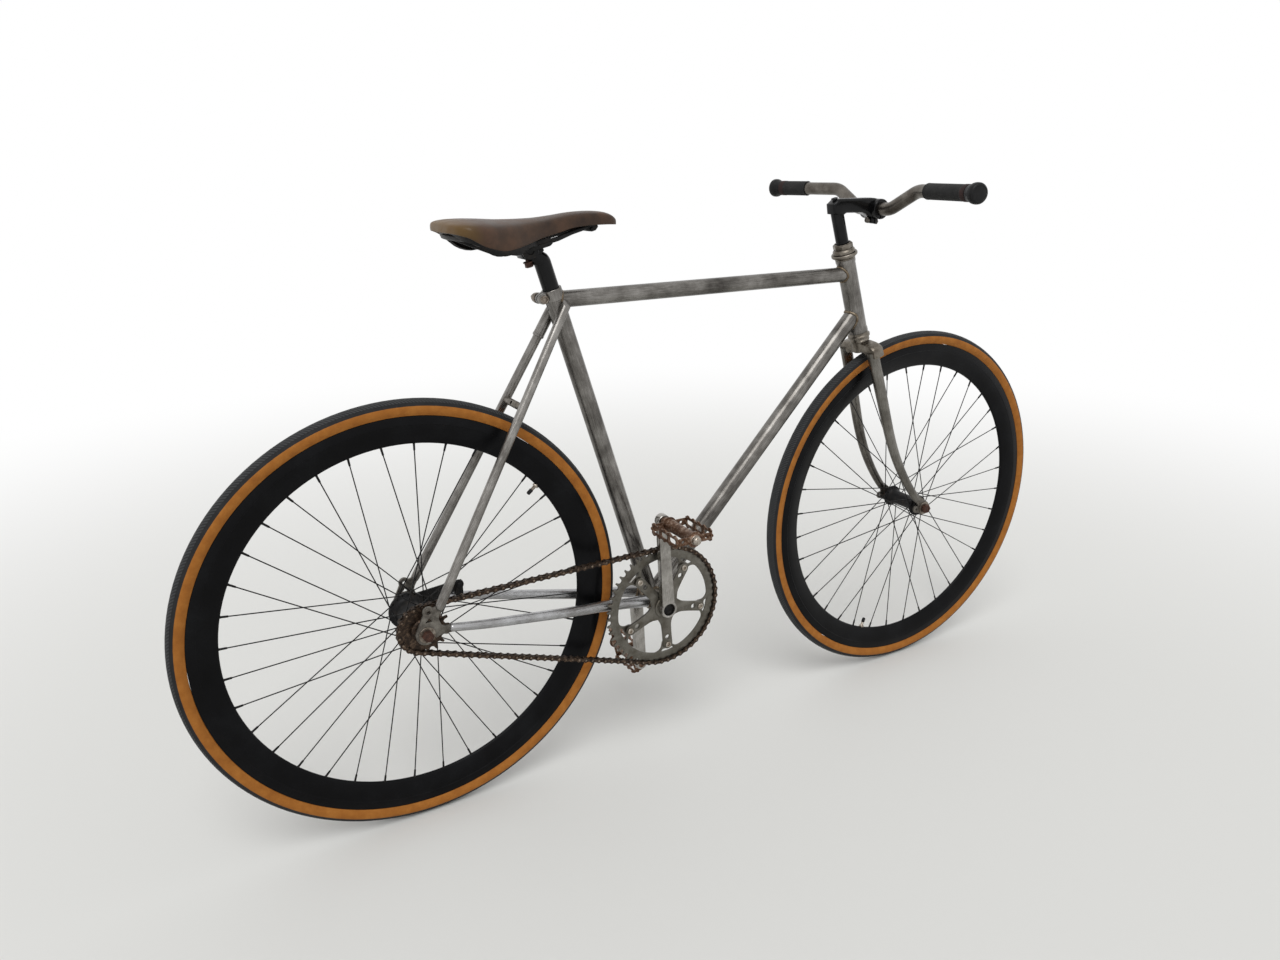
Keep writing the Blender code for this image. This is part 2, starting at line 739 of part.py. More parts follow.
def build_spokes(name, axle, flange_radius, right_flange, left_flange):
    """All the spokes of a wheel, crossed three times, as one mesh of three-sided rods."""
    rim_end = (RIM_RADIUS - RIM_DEPTH) * math.cos(math.pi / WHEEL_STEPS) - GAP
    per_side = SPOKE_COUNT // 2
    built = bmesh.new()
    for index in range(SPOKE_COUNT):
        side = index % 2
        turn = index // 2
        pulls_back = turn % 2
        rim_angle = 2 * math.pi * (index + 0.5) / SPOKE_COUNT
        swing = 3 * 2 * math.pi / per_side * (1 if pulls_back else -1)
        hub_angle = rim_angle + swing
        flange = right_flange if side else left_flange
        offset = SPOKE_OFFSET * (1 if pulls_back else -1)
        hub_end = Vector((math.cos(hub_angle), 0, math.sin(hub_angle))) * flange_radius
        hub_end.y = flange + offset
        rim_point = Vector((math.cos(rim_angle), 0, math.sin(rim_angle))) * rim_end
        rod = rim_point - hub_end
        place = along(hub_end + rod / 2, rod)
        bmesh.ops.create_cone(
            built,
            cap_ends=True,
            segments=3,
            radius1=SPOKE_RADIUS,
            radius2=SPOKE_RADIUS,
            depth=rod.length,
            matrix=place,
        )
    mesh = bpy.data.meshes.new(name)
    built.to_mesh(mesh)
    built.free()
    return add_object(name, mesh, Matrix.Translation(axle))


def build_front_hub():
    half = FRONT_HUB_WIDTH / 2
    flange = FRONT_FLANGE_Y
    bore = FRONT_AXLE_RADIUS + TURNING_GAP
    side = [
        (FRONT_BARREL_RADIUS, flange - FLANGE_FLARE),
        (FRONT_FLANGE_RADIUS, flange - FLANGE_HALF),
        (FRONT_FLANGE_RADIUS, flange + FLANGE_HALF),
        (FRONT_SHELL_END_RADIUS, half - FRONT_CONE_LENGTH),
    ]
    profile = [(bore, FRONT_CONE_LENGTH - half)]
    profile += [(r, -y) for r, y in reversed(side)] + side
    profile += [(bore, half - FRONT_CONE_LENGTH)]
    hub = turned("front_hub", profile, along(FRONT_AXLE, Y_AXIS))
    circle_radius = FRONT_FLANGE_RADIUS - SPOKE_CIRCLE_INSET
    spokes = build_spokes("front_spokes", FRONT_AXLE, circle_radius, -flange, flange)
    make_part(join(hub, spokes), "black_alloy", front_wheel_pivot)


def build_rear_hub():
    """The coaster hub's shell: a fat barrel open at both ends for the driver and the brake cone."""
    profile = [
        (HUB_SHELL_BORE, REAR_SHELL_RIGHT),
        (REAR_SHELL_RIGHT_RADIUS, REAR_SHELL_RIGHT),
        (REAR_FLANGE_RADIUS, REAR_FLANGE_RIGHT - FLANGE_HALF),
        (REAR_FLANGE_RADIUS, REAR_FLANGE_RIGHT + FLANGE_HALF),
        (REAR_BARREL_RADIUS, REAR_FLANGE_RIGHT + FLANGE_FLARE),
        (REAR_BARREL_RADIUS, REAR_FLANGE_LEFT - FLANGE_FLARE),
        (REAR_FLANGE_RADIUS, REAR_FLANGE_LEFT - FLANGE_HALF),
        (REAR_FLANGE_RADIUS, REAR_FLANGE_LEFT + FLANGE_HALF),
        (REAR_DRUM_RADIUS, REAR_DRUM_LEFT),
        (REAR_SHELL_LEFT_RADIUS, REAR_SHELL_LEFT),
        (HUB_SHELL_BORE, REAR_SHELL_LEFT),
    ]
    hub = turned("rear_hub", profile, along(REAR_AXLE, Y_AXIS))
    circle_radius = REAR_FLANGE_RADIUS - SPOKE_CIRCLE_INSET
    spokes = build_spokes("rear_spokes", REAR_AXLE, circle_radius, REAR_FLANGE_RIGHT, REAR_FLANGE_LEFT)
    make_part(join(hub, spokes), "black_alloy", rear_wheel_pivot)


build_tyre("rear_tyre", REAR_AXLE, rear_wheel_pivot)
build_tyre("front_tyre", FRONT_AXLE, front_wheel_pivot)
build_rim("rear_rim", REAR_AXLE, REAR_VALVE_ANGLE, rear_wheel_pivot)
build_rim("front_rim", FRONT_AXLE, FRONT_VALVE_ANGLE, front_wheel_pivot)
build_front_hub()
build_rear_hub()


# Chain drive

TO_SPINDLE = (BRACKET - REAR_AXLE).normalized()
ABOVE_RUN = Vector((-TO_SPINDLE.z, 0, TO_SPINDLE.x))
UPPER_NORMAL = ABOVE_RUN * math.cos(CHAIN_LEAN) - TO_SPINDLE * math.sin(CHAIN_LEAN)
LOWER_NORMAL = -ABOVE_RUN * math.cos(CHAIN_LEAN) - TO_SPINDLE * math.sin(CHAIN_LEAN)
UPPER_ANGLE = math.atan2(UPPER_NORMAL.z, UPPER_NORMAL.x)
LOWER_ANGLE = math.atan2(LOWER_NORMAL.z, LOWER_NORMAL.x)
RING_STEP = 2 * math.pi / RING_TEETH
COG_STEP = 2 * math.pi / COG_TEETH
CHAIN_PHASE = 0.5


def chain_place(links):
    """The point of the chain's loop this many links on from the ring's upper tangent point."""
    if links <= LINKS_ON_RING:
        angle = UPPER_ANGLE - links * RING_STEP
        return BRACKET + Vector((math.cos(angle), 0, math.sin(angle))) * RING_PITCH_RADIUS
    links -= LINKS_ON_RING
    if links <= LINKS_STRAIGHT:
        start = BRACKET + LOWER_NORMAL * RING_PITCH_RADIUS
        end = REAR_AXLE + LOWER_NORMAL * COG_PITCH_RADIUS
        return start.lerp(end, links / LINKS_STRAIGHT)
    links -= LINKS_STRAIGHT
    if links <= LINKS_ON_COG:
        angle = LOWER_ANGLE - links * COG_STEP
        return REAR_AXLE + Vector((math.cos(angle), 0, math.sin(angle))) * COG_PITCH_RADIUS
    links -= LINKS_ON_COG
    start = REAR_AXLE + UPPER_NORMAL * COG_PITCH_RADIUS
    end = BRACKET + UPPER_NORMAL * RING_PITCH_RADIUS
    return start.lerp(end, links / LINKS_STRAIGHT)


def build_chain():
    """Inner and outer links in turn, each a pair of plates, with a roller's bar at every pin."""
    pins = [chain_place((CHAIN_PHASE + i) % CHAIN_LINKS) for i in range(CHAIN_LINKS)]
    inner = CHAIN_INNER_WIDTH / 2
    outer = CHAIN_OUTER_WIDTH / 2
    built = bmesh.new()

    def section(place, upward, near, far, side):
        """The corners of one plate's cross-section: its flat inner face and its outer ridge."""
        corners = [(near, -1), (near, 1), (far, 0)]
        return [
            built.verts.new(place + upward * (LINK_HEIGHT / 2 * high) + Y_AXIS * (side * wide - CHAIN_LINE))
            for wide, high in corners
        ]

    def join_sections(here, ahead, first_corner):
        """The faces between two cross-sections, with the inner one left out at a roller."""
        for corner in range(first_corner, 3):
            after = (corner + 1) % 3
            built.faces.new((here[corner], here[after], ahead[after], ahead[corner]))

    links = []
    for index, pin in enumerate(pins):
        following = pins[(index + 1) % CHAIN_LINKS]
        run = (following - pin).normalized()
        upward = Vector((-run.z, 0, run.x))
        if index % 2:
            near, far = inner, inner + LINK_PLATE
        else:
            near, far = outer - LINK_PLATE, outer
        links.append([
            (
                section(pin + run * LINK_LOBE, upward, near, far, side),
                section(following - run * LINK_LOBE, upward, near, far, side),
            )
            for side in (-1, 1)
        ])
    for link, following in zip(links, links[1:] + links[:1]):
        for side in (0, 1):
            join_sections(link[side][0], link[side][1], 0)
            join_sections(link[side][1], following[side][0], 1)
        roller = [
            (*link[side][1][:2], following[side][0][1], following[side][0][0]) for side in (0, 1)
        ]
        for corner in range(4):
            after = (corner + 1) % 4
            built.faces.new((roller[0][corner], roller[0][after], roller[1][after], roller[1][corner]))
    bmesh.ops.recalc_face_normals(built, faces=built.faces)
    mesh = bpy.data.meshes.new("chain")
    built.to_mesh(mesh)
    built.free()
    make_part(add_object("chain", mesh), "chain_steel", smooth=False)


def sprocket_outline(teeth, pitch_radius, gap_angle):
    """A toothed outline with a roller's gap at gap_angle."""
    step = 2 * math.pi / teeth
    root = pitch_radius - LINK_HEIGHT / 2 - 0.0004
    tip = pitch_radius + 0.0036
    root_half = step / 2 - (LINK_LOBE + 0.0006) / root
    outline = []
    for tooth in range(teeth):
        middle = gap_angle + step * (tooth + 0.5)
        for radius, offset in ((root, -root_half), (tip, 0), (root, root_half)):
            outline.append((radius * math.cos(middle + offset), radius * math.sin(middle + offset)))
    return outline


def around(points, angle):
    """Points given outward and sideways, turned so that outward lies at angle."""
    c, s = math.cos(angle), math.sin(angle)
    return [(r * c - t * s, r * s + t * c) for r, t in points]


def arm_angles():
    """The spider's arms, spread evenly with the crank midway between two of them."""
    step = 2 * math.pi / SPIDER_ARMS
    return [CRANK_TILT + step * (arm + 0.5) for arm in range(SPIDER_ARMS)]


def build_chainring():
    """A toothed ring with five slotted tabs, and the bolts that hold it to the spider."""
    inner = CHAINRING_INNER_RADIUS
    bolt = CHAINRING_BOLT_CIRCLE
    half_step = math.degrees(math.pi / SPIDER_ARMS)
    opening = []
    slots = []
    for angle in arm_angles():
        side = [
            (bolt - 0.0075, 0.0045),
            (bolt - 0.0040, 0.0085),
            (bolt + 0.0035, 0.0100),
            (inner - 0.0040, 0.0165),
        ]
        tab = [(r, -t) for r, t in reversed(side)] + side
        opening += around(tab, angle)
        first = math.degrees(angle) + TAB_HALF_ANGLE
        opening += arc((0, 0), inner, first, first + 2 * (half_step - TAB_HALF_ANGLE), 5)
        slot_outer = arc((0, 0), inner - 0.0008, -7.5, 7.5, 4)
        slot_inner = [(inner - 0.0052, 0.0088), (inner - 0.0052, -0.0088)]
        slots.append(around(slot_outer + slot_inner, angle))
    gap_angle = UPPER_ANGLE - CHAIN_PHASE * RING_STEP
    ring = plate(
        "chainring",
        sprocket_outline(RING_TEETH, RING_PITCH_RADIUS, gap_angle),
        SPROCKET_THICKNESS,
        side_plane(BRACKET - Y_AXIS * CHAIN_LINE),
        [opening] + slots,
    )
    face = CHAIN_LINE + SPROCKET_THICKNESS / 2
    for number, angle in enumerate(arm_angles()):
        centre = BRACKET + Vector((math.cos(angle), 0, math.sin(angle))) * bolt
        name = "chainring_bolt_%d" % (number + 1)
        start = centre - Y_AXIS * (CHAIN_LINE - SPROCKET_THICKNESS / 2 - 0.0010)
        end = centre - Y_AXIS * (face + GAP + SPIDER_THICKNESS + 0.0012)
        join(ring, cylinder(name, CHAINRING_BOLT_RADIUS, start, end, 6))
    make_part(ring, "cast_alloy", crank_pivot)


def build_cog():
    """The rear cog on its driver, whose drum reaches into the hub shell."""
    gap_angle = LOWER_ANGLE + (LINKS_ON_RING + LINKS_STRAIGHT - CHAIN_PHASE) * COG_STEP
    cog = plate(
        "cog_plate",
        sprocket_outline(COG_TEETH, COG_PITCH_RADIUS, gap_angle),
        SPROCKET_THICKNESS,
        side_plane(REAR_AXLE - Y_AXIS * CHAIN_LINE),
        [circle(0.0140, 16)],
    )
    bore = REAR_AXLE_RADIUS + TURNING_GAP
    profile = [
        (bore, -0.0495),
        (0.0165, -0.0495),
        (0.0185, -0.0470),
        (0.0185, -0.0400),
        (DRIVER_DRUM, -0.0385),
        (DRIVER_DRUM, -0.0180),
        (bore, -0.0180),
    ]
    driver = turned("drive_cog", profile, along(REAR_AXLE, Y_AXIS))
    make_part(join(driver, cog), "black_steel", driver_pivot)


build_chain()
build_chainring()
build_cog()


# Frame

def steered(down, forward, y=0.0):
    """A point this far down the steering axis from the head tube's lower end, and forward of it."""
    return HEAD_BOTTOM - UP_HEAD * down + AHEAD * forward + Y_AXIS * y


def build_head_tube():
    bore = HEAD_TUBE_RADIUS - HEAD_TUBE_WALL
    flare = HEAD_TUBE_RADIUS + 0.0010
    half_profile = [
        (flare, 0),
        (flare, 0.0060),
        (HEAD_TUBE_RADIUS, 0.0075),
        (HEAD_TUBE_RADIUS, HEAD_TUBE_LENGTH - 0.0075),
        (flare, HEAD_TUBE_LENGTH - 0.0060),
        (flare, HEAD_TUBE_LENGTH),
    ]
    profile = half_profile + [(bore, HEAD_TUBE_LENGTH), (bore, 0)]
    make_part(turned("head_tube", profile, along(HEAD_BOTTOM, UP_HEAD)), "raw_steel")


def mitre(name, radius, start, end):
    """A cutter round the tube that another one meets, whose flats clear that tube by the gap."""
    sides = 20
    return cylinder(name, (radius + GAP) / math.cos(math.pi / sides), start, end, sides)


SEAT_TUBE_START = BRACKET + UP_SEAT * 0.002
SEAT_MITRE = mitre("seat_tube_mitre", SEAT_TUBE_RADIUS, SEAT_TUBE_START, SEAT_TUBE_TOP + UP_SEAT * 0.03)
COLLAR_START = SEAT_TUBE_TOP - UP_SEAT * (COLLAR_HEIGHT + 0.0015)
COLLAR_MITRE = mitre("collar_mitre", COLLAR_RADIUS, COLLAR_START, SEAT_TUBE_TOP + UP_SEAT * 0.03)
HEAD_MITRE = mitre("head_tube_mitre", HEAD_TUBE_RADIUS, HEAD_BOTTOM, HEAD_TOP)
SHELL_MITRE = mitre(
    "shell_mitre", SHELL_RADIUS, BRACKET - Y_AXIS * SHELL_WIDTH, BRACKET + Y_AXIS * SHELL_WIDTH
)


def build_main_tubes():
    top = tube("top_tube", [CLUSTER, HEAD], TOP_TUBE_RADIUS, 16, MAIN_TUBE_WALL)
    make_part(cut(top, SEAT_MITRE, COLLAR_MITRE, HEAD_MITRE), "raw_steel")
    down = tube("down_tube", [BRACKET, DOWN_TUBE_TOP], DOWN_TUBE_RADIUS, 16, MAIN_TUBE_WALL)
    make_part(cut(down, SHELL_MITRE, SEAT_MITRE, HEAD_MITRE), "raw_steel")


def build_seat_tube():
    """The seat tube with its slit collar and the two ears that the binder bolt pulls together."""
    length = (SEAT_TUBE_TOP - SEAT_TUBE_START).length
    bore = SEATPOST_RADIUS + GAP
    profile = [
        (SEAT_TUBE_RADIUS, 0),
        (SEAT_TUBE_RADIUS, length - COLLAR_HEIGHT - 0.0015),
        (COLLAR_RADIUS, length - COLLAR_HEIGHT),
        (COLLAR_RADIUS, length),
        (bore, length),
        (bore, 0),
    ]
    seat = turned("seat_tube", profile, along(SEAT_TUBE_START, UP_SEAT))
    back = Vector((-UP_SEAT.z, 0, UP_SEAT.x))
    ear_centre = SEAT_TUBE_TOP + back * BINDER_SETBACK - UP_SEAT * BINDER_DROP
    ear_radius = COLLAR_HEIGHT / 2 - 0.0010
    ears_frame = Matrix((-back, UP_SEAT, -Y_AXIS)).transposed().to_4x4()
    ears_frame.translation = ear_centre
    outline = arc((0, 0), ear_radius, 90, 270, 7) + [(0.0065, -ear_radius), (0.0065, ear_radius)]
    ears = plate("binder_ears", outline, EAR_WIDTH, ears_frame, [circle(BINDER_RADIUS + GAP, 8)])
    slit = box(
        "collar_slit",
        (0.030, SLIT_WIDTH, COLLAR_HEIGHT * 3),
        along(SEAT_TUBE_TOP + back * 0.025, UP_SEAT),
    )
    make_part(cut(join(seat, ears), SHELL_MITRE, slit), "raw_steel")

    half = EAR_WIDTH / 2
    bolt_start, bolt_end = ear_centre - Y_AXIS * 0.0120, ear_centre + Y_AXIS * 0.0330
    bolt = cylinder("seat_binder_bolt", BINDER_RADIUS, bolt_start, bolt_end, 10)
    pieces = (
        ("binder_head", 0.0052, -half - 0.0055, -half - GAP, 6),
        ("binder_nut", 0.0062, half + GAP, half + 0.0075, 6),
        ("binder_washer", 0.0068, half + 0.0090, half + 0.0110, 10),
        ("binder_locknut", 0.0056, half + 0.0125, half + 0.0180, 6),
    )
    for name, radius, start, end, sides in pieces:
        join(bolt, cylinder(name, radius, ear_centre + Y_AXIS * start, ear_centre + Y_AXIS * end, sides))
    make_part(bolt, "rusty_steel")


def build_shell():
    half = SHELL_WIDTH / 2
    profile = [(SHELL_RADIUS, -half), (SHELL_RADIUS, half), (SHELL_BORE, half), (SHELL_BORE, -half)]
    make_part(turned("bottom_bracket_shell", profile, along(BRACKET, Y_AXIS), 20), "raw_steel")


# Stays and dropouts

CHAINSTAY_END_AHEAD = 0.0396
CHAINSTAY_BEND = (
    # Share of the way from the dropout to the spindle, distance from the middle plane, and sag
    (0.00, 0.0605, 0.0000),
    (0.15, 0.0585, 0.0000),
    (0.33, 0.0500, 0.0010),
    (0.58, 0.0375, 0.0030),
    (0.71, 0.0292, 0.0025),
    (0.80, 0.0262, 0.0015),
    (1.00, 0.0225, 0.0000),
)


def chainstay_path(side):
    start = REAR_AXLE + Vector((CHAINSTAY_END_AHEAD, 0, 0.0010))
    end = BRACKET + Vector((-0.0050, 0, 0.0030))
    return [start.lerp(end, share) + Vector((0, side * y, -sag * 0.5)) for share, y, sag in CHAINSTAY_BEND]


def chainstay_radii():
    shares = [row[0] for row in CHAINSTAY_BEND]
    rear = CHAINSTAY_REAR_RADIUS
    growth = CHAINSTAY_MIDDLE_RADIUS - rear
    return [rear + growth * min(share / 0.7, 1) for share in shares[:-1]] + [CHAINSTAY_FRONT_RADIUS]


SEATSTAY_TOP = CLUSTER + Vector((SEATSTAY_TOP_AHEAD, 0, -SEATSTAY_TOP_DROP))
SEATSTAY_END = REAR_AXLE + Vector((0.0225, 0, 0.0380))


def seatstay_ends(side):
    low = SEATSTAY_END + Y_AXIS * side * (DROPOUT_Y + 0.0003)
    return low, SEATSTAY_TOP + Y_AXIS * side * SEATSTAY_TOP_Y


def bridge_end(side):
    """The point of a seatstay's centre line that lies the bridge's distance from the axle."""
    low, high = seatstay_ends(side)
    low_radius = (SEATSTAY_END - REAR_AXLE).length
    high_radius = (SEATSTAY_TOP - REAR_AXLE).length
    return low.lerp(high, (WHEEL_RADIUS + BRIDGE_ROOM - low_radius) / (high_radius - low_radius))


def stay_slot(name, end, ahead, side):
    """The slot in a stay's end for the dropout's tongue."""
    length = TONGUE_LENGTH + 0.0015 + 0.02
    centre = end + ahead * (length / 2 - 0.02)
    centre.y = side * DROPOUT_Y
    flat = Vector((ahead.x, 0, ahead.z)).normalized()
    return box(name, (0.05, DROPOUT_THICKNESS + 2 * GAP, length), along(centre, flat))


def build_chainstay(name, side):
    path = chainstay_path(side)
    radii = chainstay_radii()
    stay = tube(name, path, radii, 12)
    inner = [path[0].lerp(path[1], -0.4)] + path[2:-1] + [path[-2].lerp(path[-1], 1.2)]
    bore = tube(name + "_bore", inner, [r - STAY_WALL for r in radii[:1] + radii[2:]], 6)
    slot = stay_slot(name + "_slot", path[0], (path[1] - path[0]).normalized(), side)
    make_part(cut(stay, bore, slot, SHELL_MITRE), "raw_steel")


def build_seatstay(name, side):
    low, high = seatstay_ends(side)
    run = (high - low).normalized()
    stay = cylinder(name, SEATSTAY_RADIUS, low, high, 12)
    if side > 0:
        sleeve_start, sleeve_end = high - run * SEATSTAY_SLEEVE_LENGTH, high - run * 0.008
        join(stay, cylinder(name + "_sleeve", SEATSTAY_SLEEVE_RADIUS, sleeve_start, sleeve_end, 12))
    bore = cylinder(
        name + "_bore", SEATSTAY_RADIUS - STAY_WALL, low - run * 0.02, high - run * SEATSTAY_CAP_LENGTH, 12
    )
    cap_normal = Vector((run.x, side * 0.75, run.z)).normalized()
    cap = box(name + "_cap_cut", (0.04, 0.04, 0.04), along(high + cap_normal * 0.0215, cap_normal))
    slot = stay_slot(name + "_slot", low, run, side)
    middle = bridge_end(side)
    bridge_hole = cylinder(
        name + "_bridge_mitre", BRIDGE_RADIUS + GAP, Vector((middle.x, 0, middle.z)), middle, 12
    )
    make_part(cut(stay, bore, cap, slot, SEAT_MITRE, COLLAR_MITRE, bridge_hole), "raw_steel")


def build_bridge():
    """The brake bridge, let into the seatstays, with the hole for a brake bolt or mudguard stay."""
    low, high = seatstay_ends(1)
    middle = bridge_end(1)
    bridge = cylinder("brake_bridge", BRIDGE_RADIUS, mirrored(middle, -1), middle, 12)
    normal = Vector((middle.z - REAR_AXLE.z, 0, REAR_AXLE.x - middle.x)).normalized()
    hole = cylinder(
        "bridge_hole", BRIDGE_HOLE_RADIUS, Vector((middle.x, 0, middle.z)) - normal * 0.02,
        Vector((middle.x, 0, middle.z)) + normal * 0.02, 10,
    )
    inside = SEATSTAY_RADIUS + GAP
    run = (high - low).normalized()
    for side in (-1, 1):
        start = mirrored(low, side)
        end = mirrored(high, side)
        cut(bridge, cylinder("bridge_end_%d" % side, inside, start, end, 12))
    make_part(cut(bridge, hole), "raw_steel")


def dropout_outline():
    """The dropout in side view around the axle: two tongues, an eyelet and a slot for the axle."""
    half = TONGUE_HALF_HEIGHT
    ring = DROPOUT_RING
    slot = REAR_AXLE_RADIUS + GAP
    stay_run = (BRACKET - REAR_AXLE).normalized()
    first = Vector((CHAINSTAY_END_AHEAD, 0.0010))
    down = Vector((stay_run.x, stay_run.z))
    tip = first + down * TONGUE_LENGTH
    low, high = seatstay_ends(1)
    up = Vector((high.x - low.x, high.z - low.z)).normalized()
    right = Vector((up.y, -up.x))
    stay_end = Vector((SEATSTAY_END.x - REAR_AXLE.x, SEATSTAY_END.z - REAR_AXLE.z))
    stay_tip = stay_end + up * TONGUE_LENGTH
    outline = [
        tip + Vector((0, -half)),
        tip + Vector((0, half)),
        first + Vector((-0.0160, 0.0075)),
        stay_end - up * 0.0140 + right * half,
        stay_tip + right * half,
        stay_tip - right * half,
        stay_end - right * half,
    ]
    outline += arc((0.0050, EYELET_HEIGHT), EYELET_RADIUS, 35, 200, 7)
    outline += arc((0, 0), ring, 150, SLOT_ANGLE + 341, 8)
    outline += arc((0, 0), slot, SLOT_ANGLE + 270, SLOT_ANGLE + 90, 7)
    mouth = math.radians(SLOT_ANGLE)
    lip = Vector((math.cos(mouth), math.sin(mouth))) * (ring - 0.0010)
    outline.append(lip + Vector((-math.sin(mouth), math.cos(mouth))) * slot)
    outline.append(first + Vector((-0.0180, -half - 0.0010)))
    return [(p[0], p[1]) for p in outline]


def build_dropout(name, side):
    frame = side_plane(REAR_AXLE + Y_AXIS * side * DROPOUT_Y)
    eyelet = (0.0050, EYELET_HEIGHT)
    window = [(-0.0020, 0.0190), (0.0085, 0.0195), (0.0050, 0.0240)]
    holes = [circle(EYELET_HOLE, 8, eyelet), window]
    drop = plate(name, dropout_outline(), DROPOUT_THICKNESS, frame, holes)
    boss_centre = REAR_AXLE + Vector((eyelet[0], side * (DROPOUT_Y + DROPOUT_THICKNESS / 2), eyelet[1]))
    boss = plate(
        name + "_boss",
        circle(EYELET_RADIUS - 0.0012, 14),
        2 * EYELET_BOSS,
        side_plane(boss_centre),
        [circle(EYELET_HOLE, 8)],
    )
    make_part(join(drop, boss), "raw_steel")


build_head_tube()
build_main_tubes()
build_seat_tube()
build_shell()
build_chainstay("chainstay_right", -1)
build_chainstay("chainstay_left", 1)
build_seatstay("seatstay_right", -1)
build_seatstay("seatstay_left", 1)
build_bridge()
build_dropout("dropout_right", -1)
build_dropout("dropout_left", 1)


# Rear axle, brake arm and clip

OUTER_LOCKNUT = DROPOUT_Y - DROPOUT_THICKNESS / 2 - GAP


def build_rear_axle():
    """The threaded axle with its locknuts and, inside the hub, the brake shoes' carrier."""
    r = REAR_AXLE_RADIUS
    profile = [
        (0, -REAR_AXLE_END),
        (r, -REAR_AXLE_END),
        (r, -OUTER_LOCKNUT),
        (LOCKNUT_WIDTH, -OUTER_LOCKNUT),
        (LOCKNUT_WIDTH, -OUTER_LOCKNUT + 0.0060),
        (r, -OUTER_LOCKNUT + 0.0060),
        (r, -0.0150),
        (0.0148, -0.0150),
        (0.0148, 0.0350),
        (r, 0.0350),
        (r, BRAKE_ARM_Y + BRAKE_ARM_THICKNESS / 2 + GAP),
        (LOCKNUT_WIDTH, BRAKE_ARM_Y + BRAKE_ARM_THICKNESS / 2 + GAP),
        (LOCKNUT_WIDTH, OUTER_LOCKNUT),
        (r, OUTER_LOCKNUT),
        (r, REAR_AXLE_END),
        (0, REAR_AXLE_END),
    ]
    make_part(turned("rear_axle", profile, along(REAR_AXLE, Y_AXIS), SMALL_STEPS), "rusty_steel")


def axle_nut(name, centre, side, inner_y, bolt_radius, finish, pivot=None):
    """A washer and a nut on an axle's end."""
    start = centre + Y_AXIS * side * inner_y
    washer_end = start + Y_AXIS * side * AXLE_WASHER
    nut_end = washer_end + Y_AXIS * side * AXLE_NUT_HEIGHT
    washer = cylinder(name, AXLE_WASHER_RADIUS, start, washer_end, SMALL_STEPS)
    nut = cylinder(name + "_hexagon", AXLE_NUT_RADIUS, washer_end - Y_AXIS * side * 0.0004, nut_end, 6)
    outer = nut_end + Y_AXIS * side * 0.01
    bore = cylinder(name + "_bore", bolt_radius + GAP, start - Y_AXIS * side * 0.01, outer, SMALL_STEPS)
    make_part(cut(join(washer, nut), bore), finish, pivot)


def brake_arm_end():
    return REAR_AXLE + Vector((BRAKE_ARM_REACH, BRAKE_ARM_Y, BRAKE_ARM_RISE))


def build_brake_arm():
    """The coaster brake's reaction arm with the cone that it holds in the hub's left end."""
    end = Vector((BRAKE_ARM_REACH, BRAKE_ARM_RISE))
    tilt = math.degrees(math.atan2(end.y, end.x))
    outline = arc((0, 0), 0.0150, tilt + 80, tilt + 280, 9) + arc(end, 0.0085, tilt - 85, tilt + 85, 6)
    arm = plate(
        "brake_arm",
        outline,
        BRAKE_ARM_THICKNESS,
        side_plane(REAR_AXLE + Y_AXIS * BRAKE_ARM_Y),
        [circle(REAR_AXLE_RADIUS + GAP, 12), circle(0.0033, 8, end)],
    )
    bore = REAR_AXLE_RADIUS + GAP
    profile = [
        (0.0158, 0.0370),
        (0.0158, 0.0460),
        (0.0120, 0.0480),
        (0.0120, BRAKE_ARM_Y),
        (bore, BRAKE_ARM_Y),
        (bore, 0.0370),
    ]
    cone = turned("brake_cone", profile, along(REAR_AXLE, Y_AXIS))
    make_part(join(arm, cone), "black_steel")


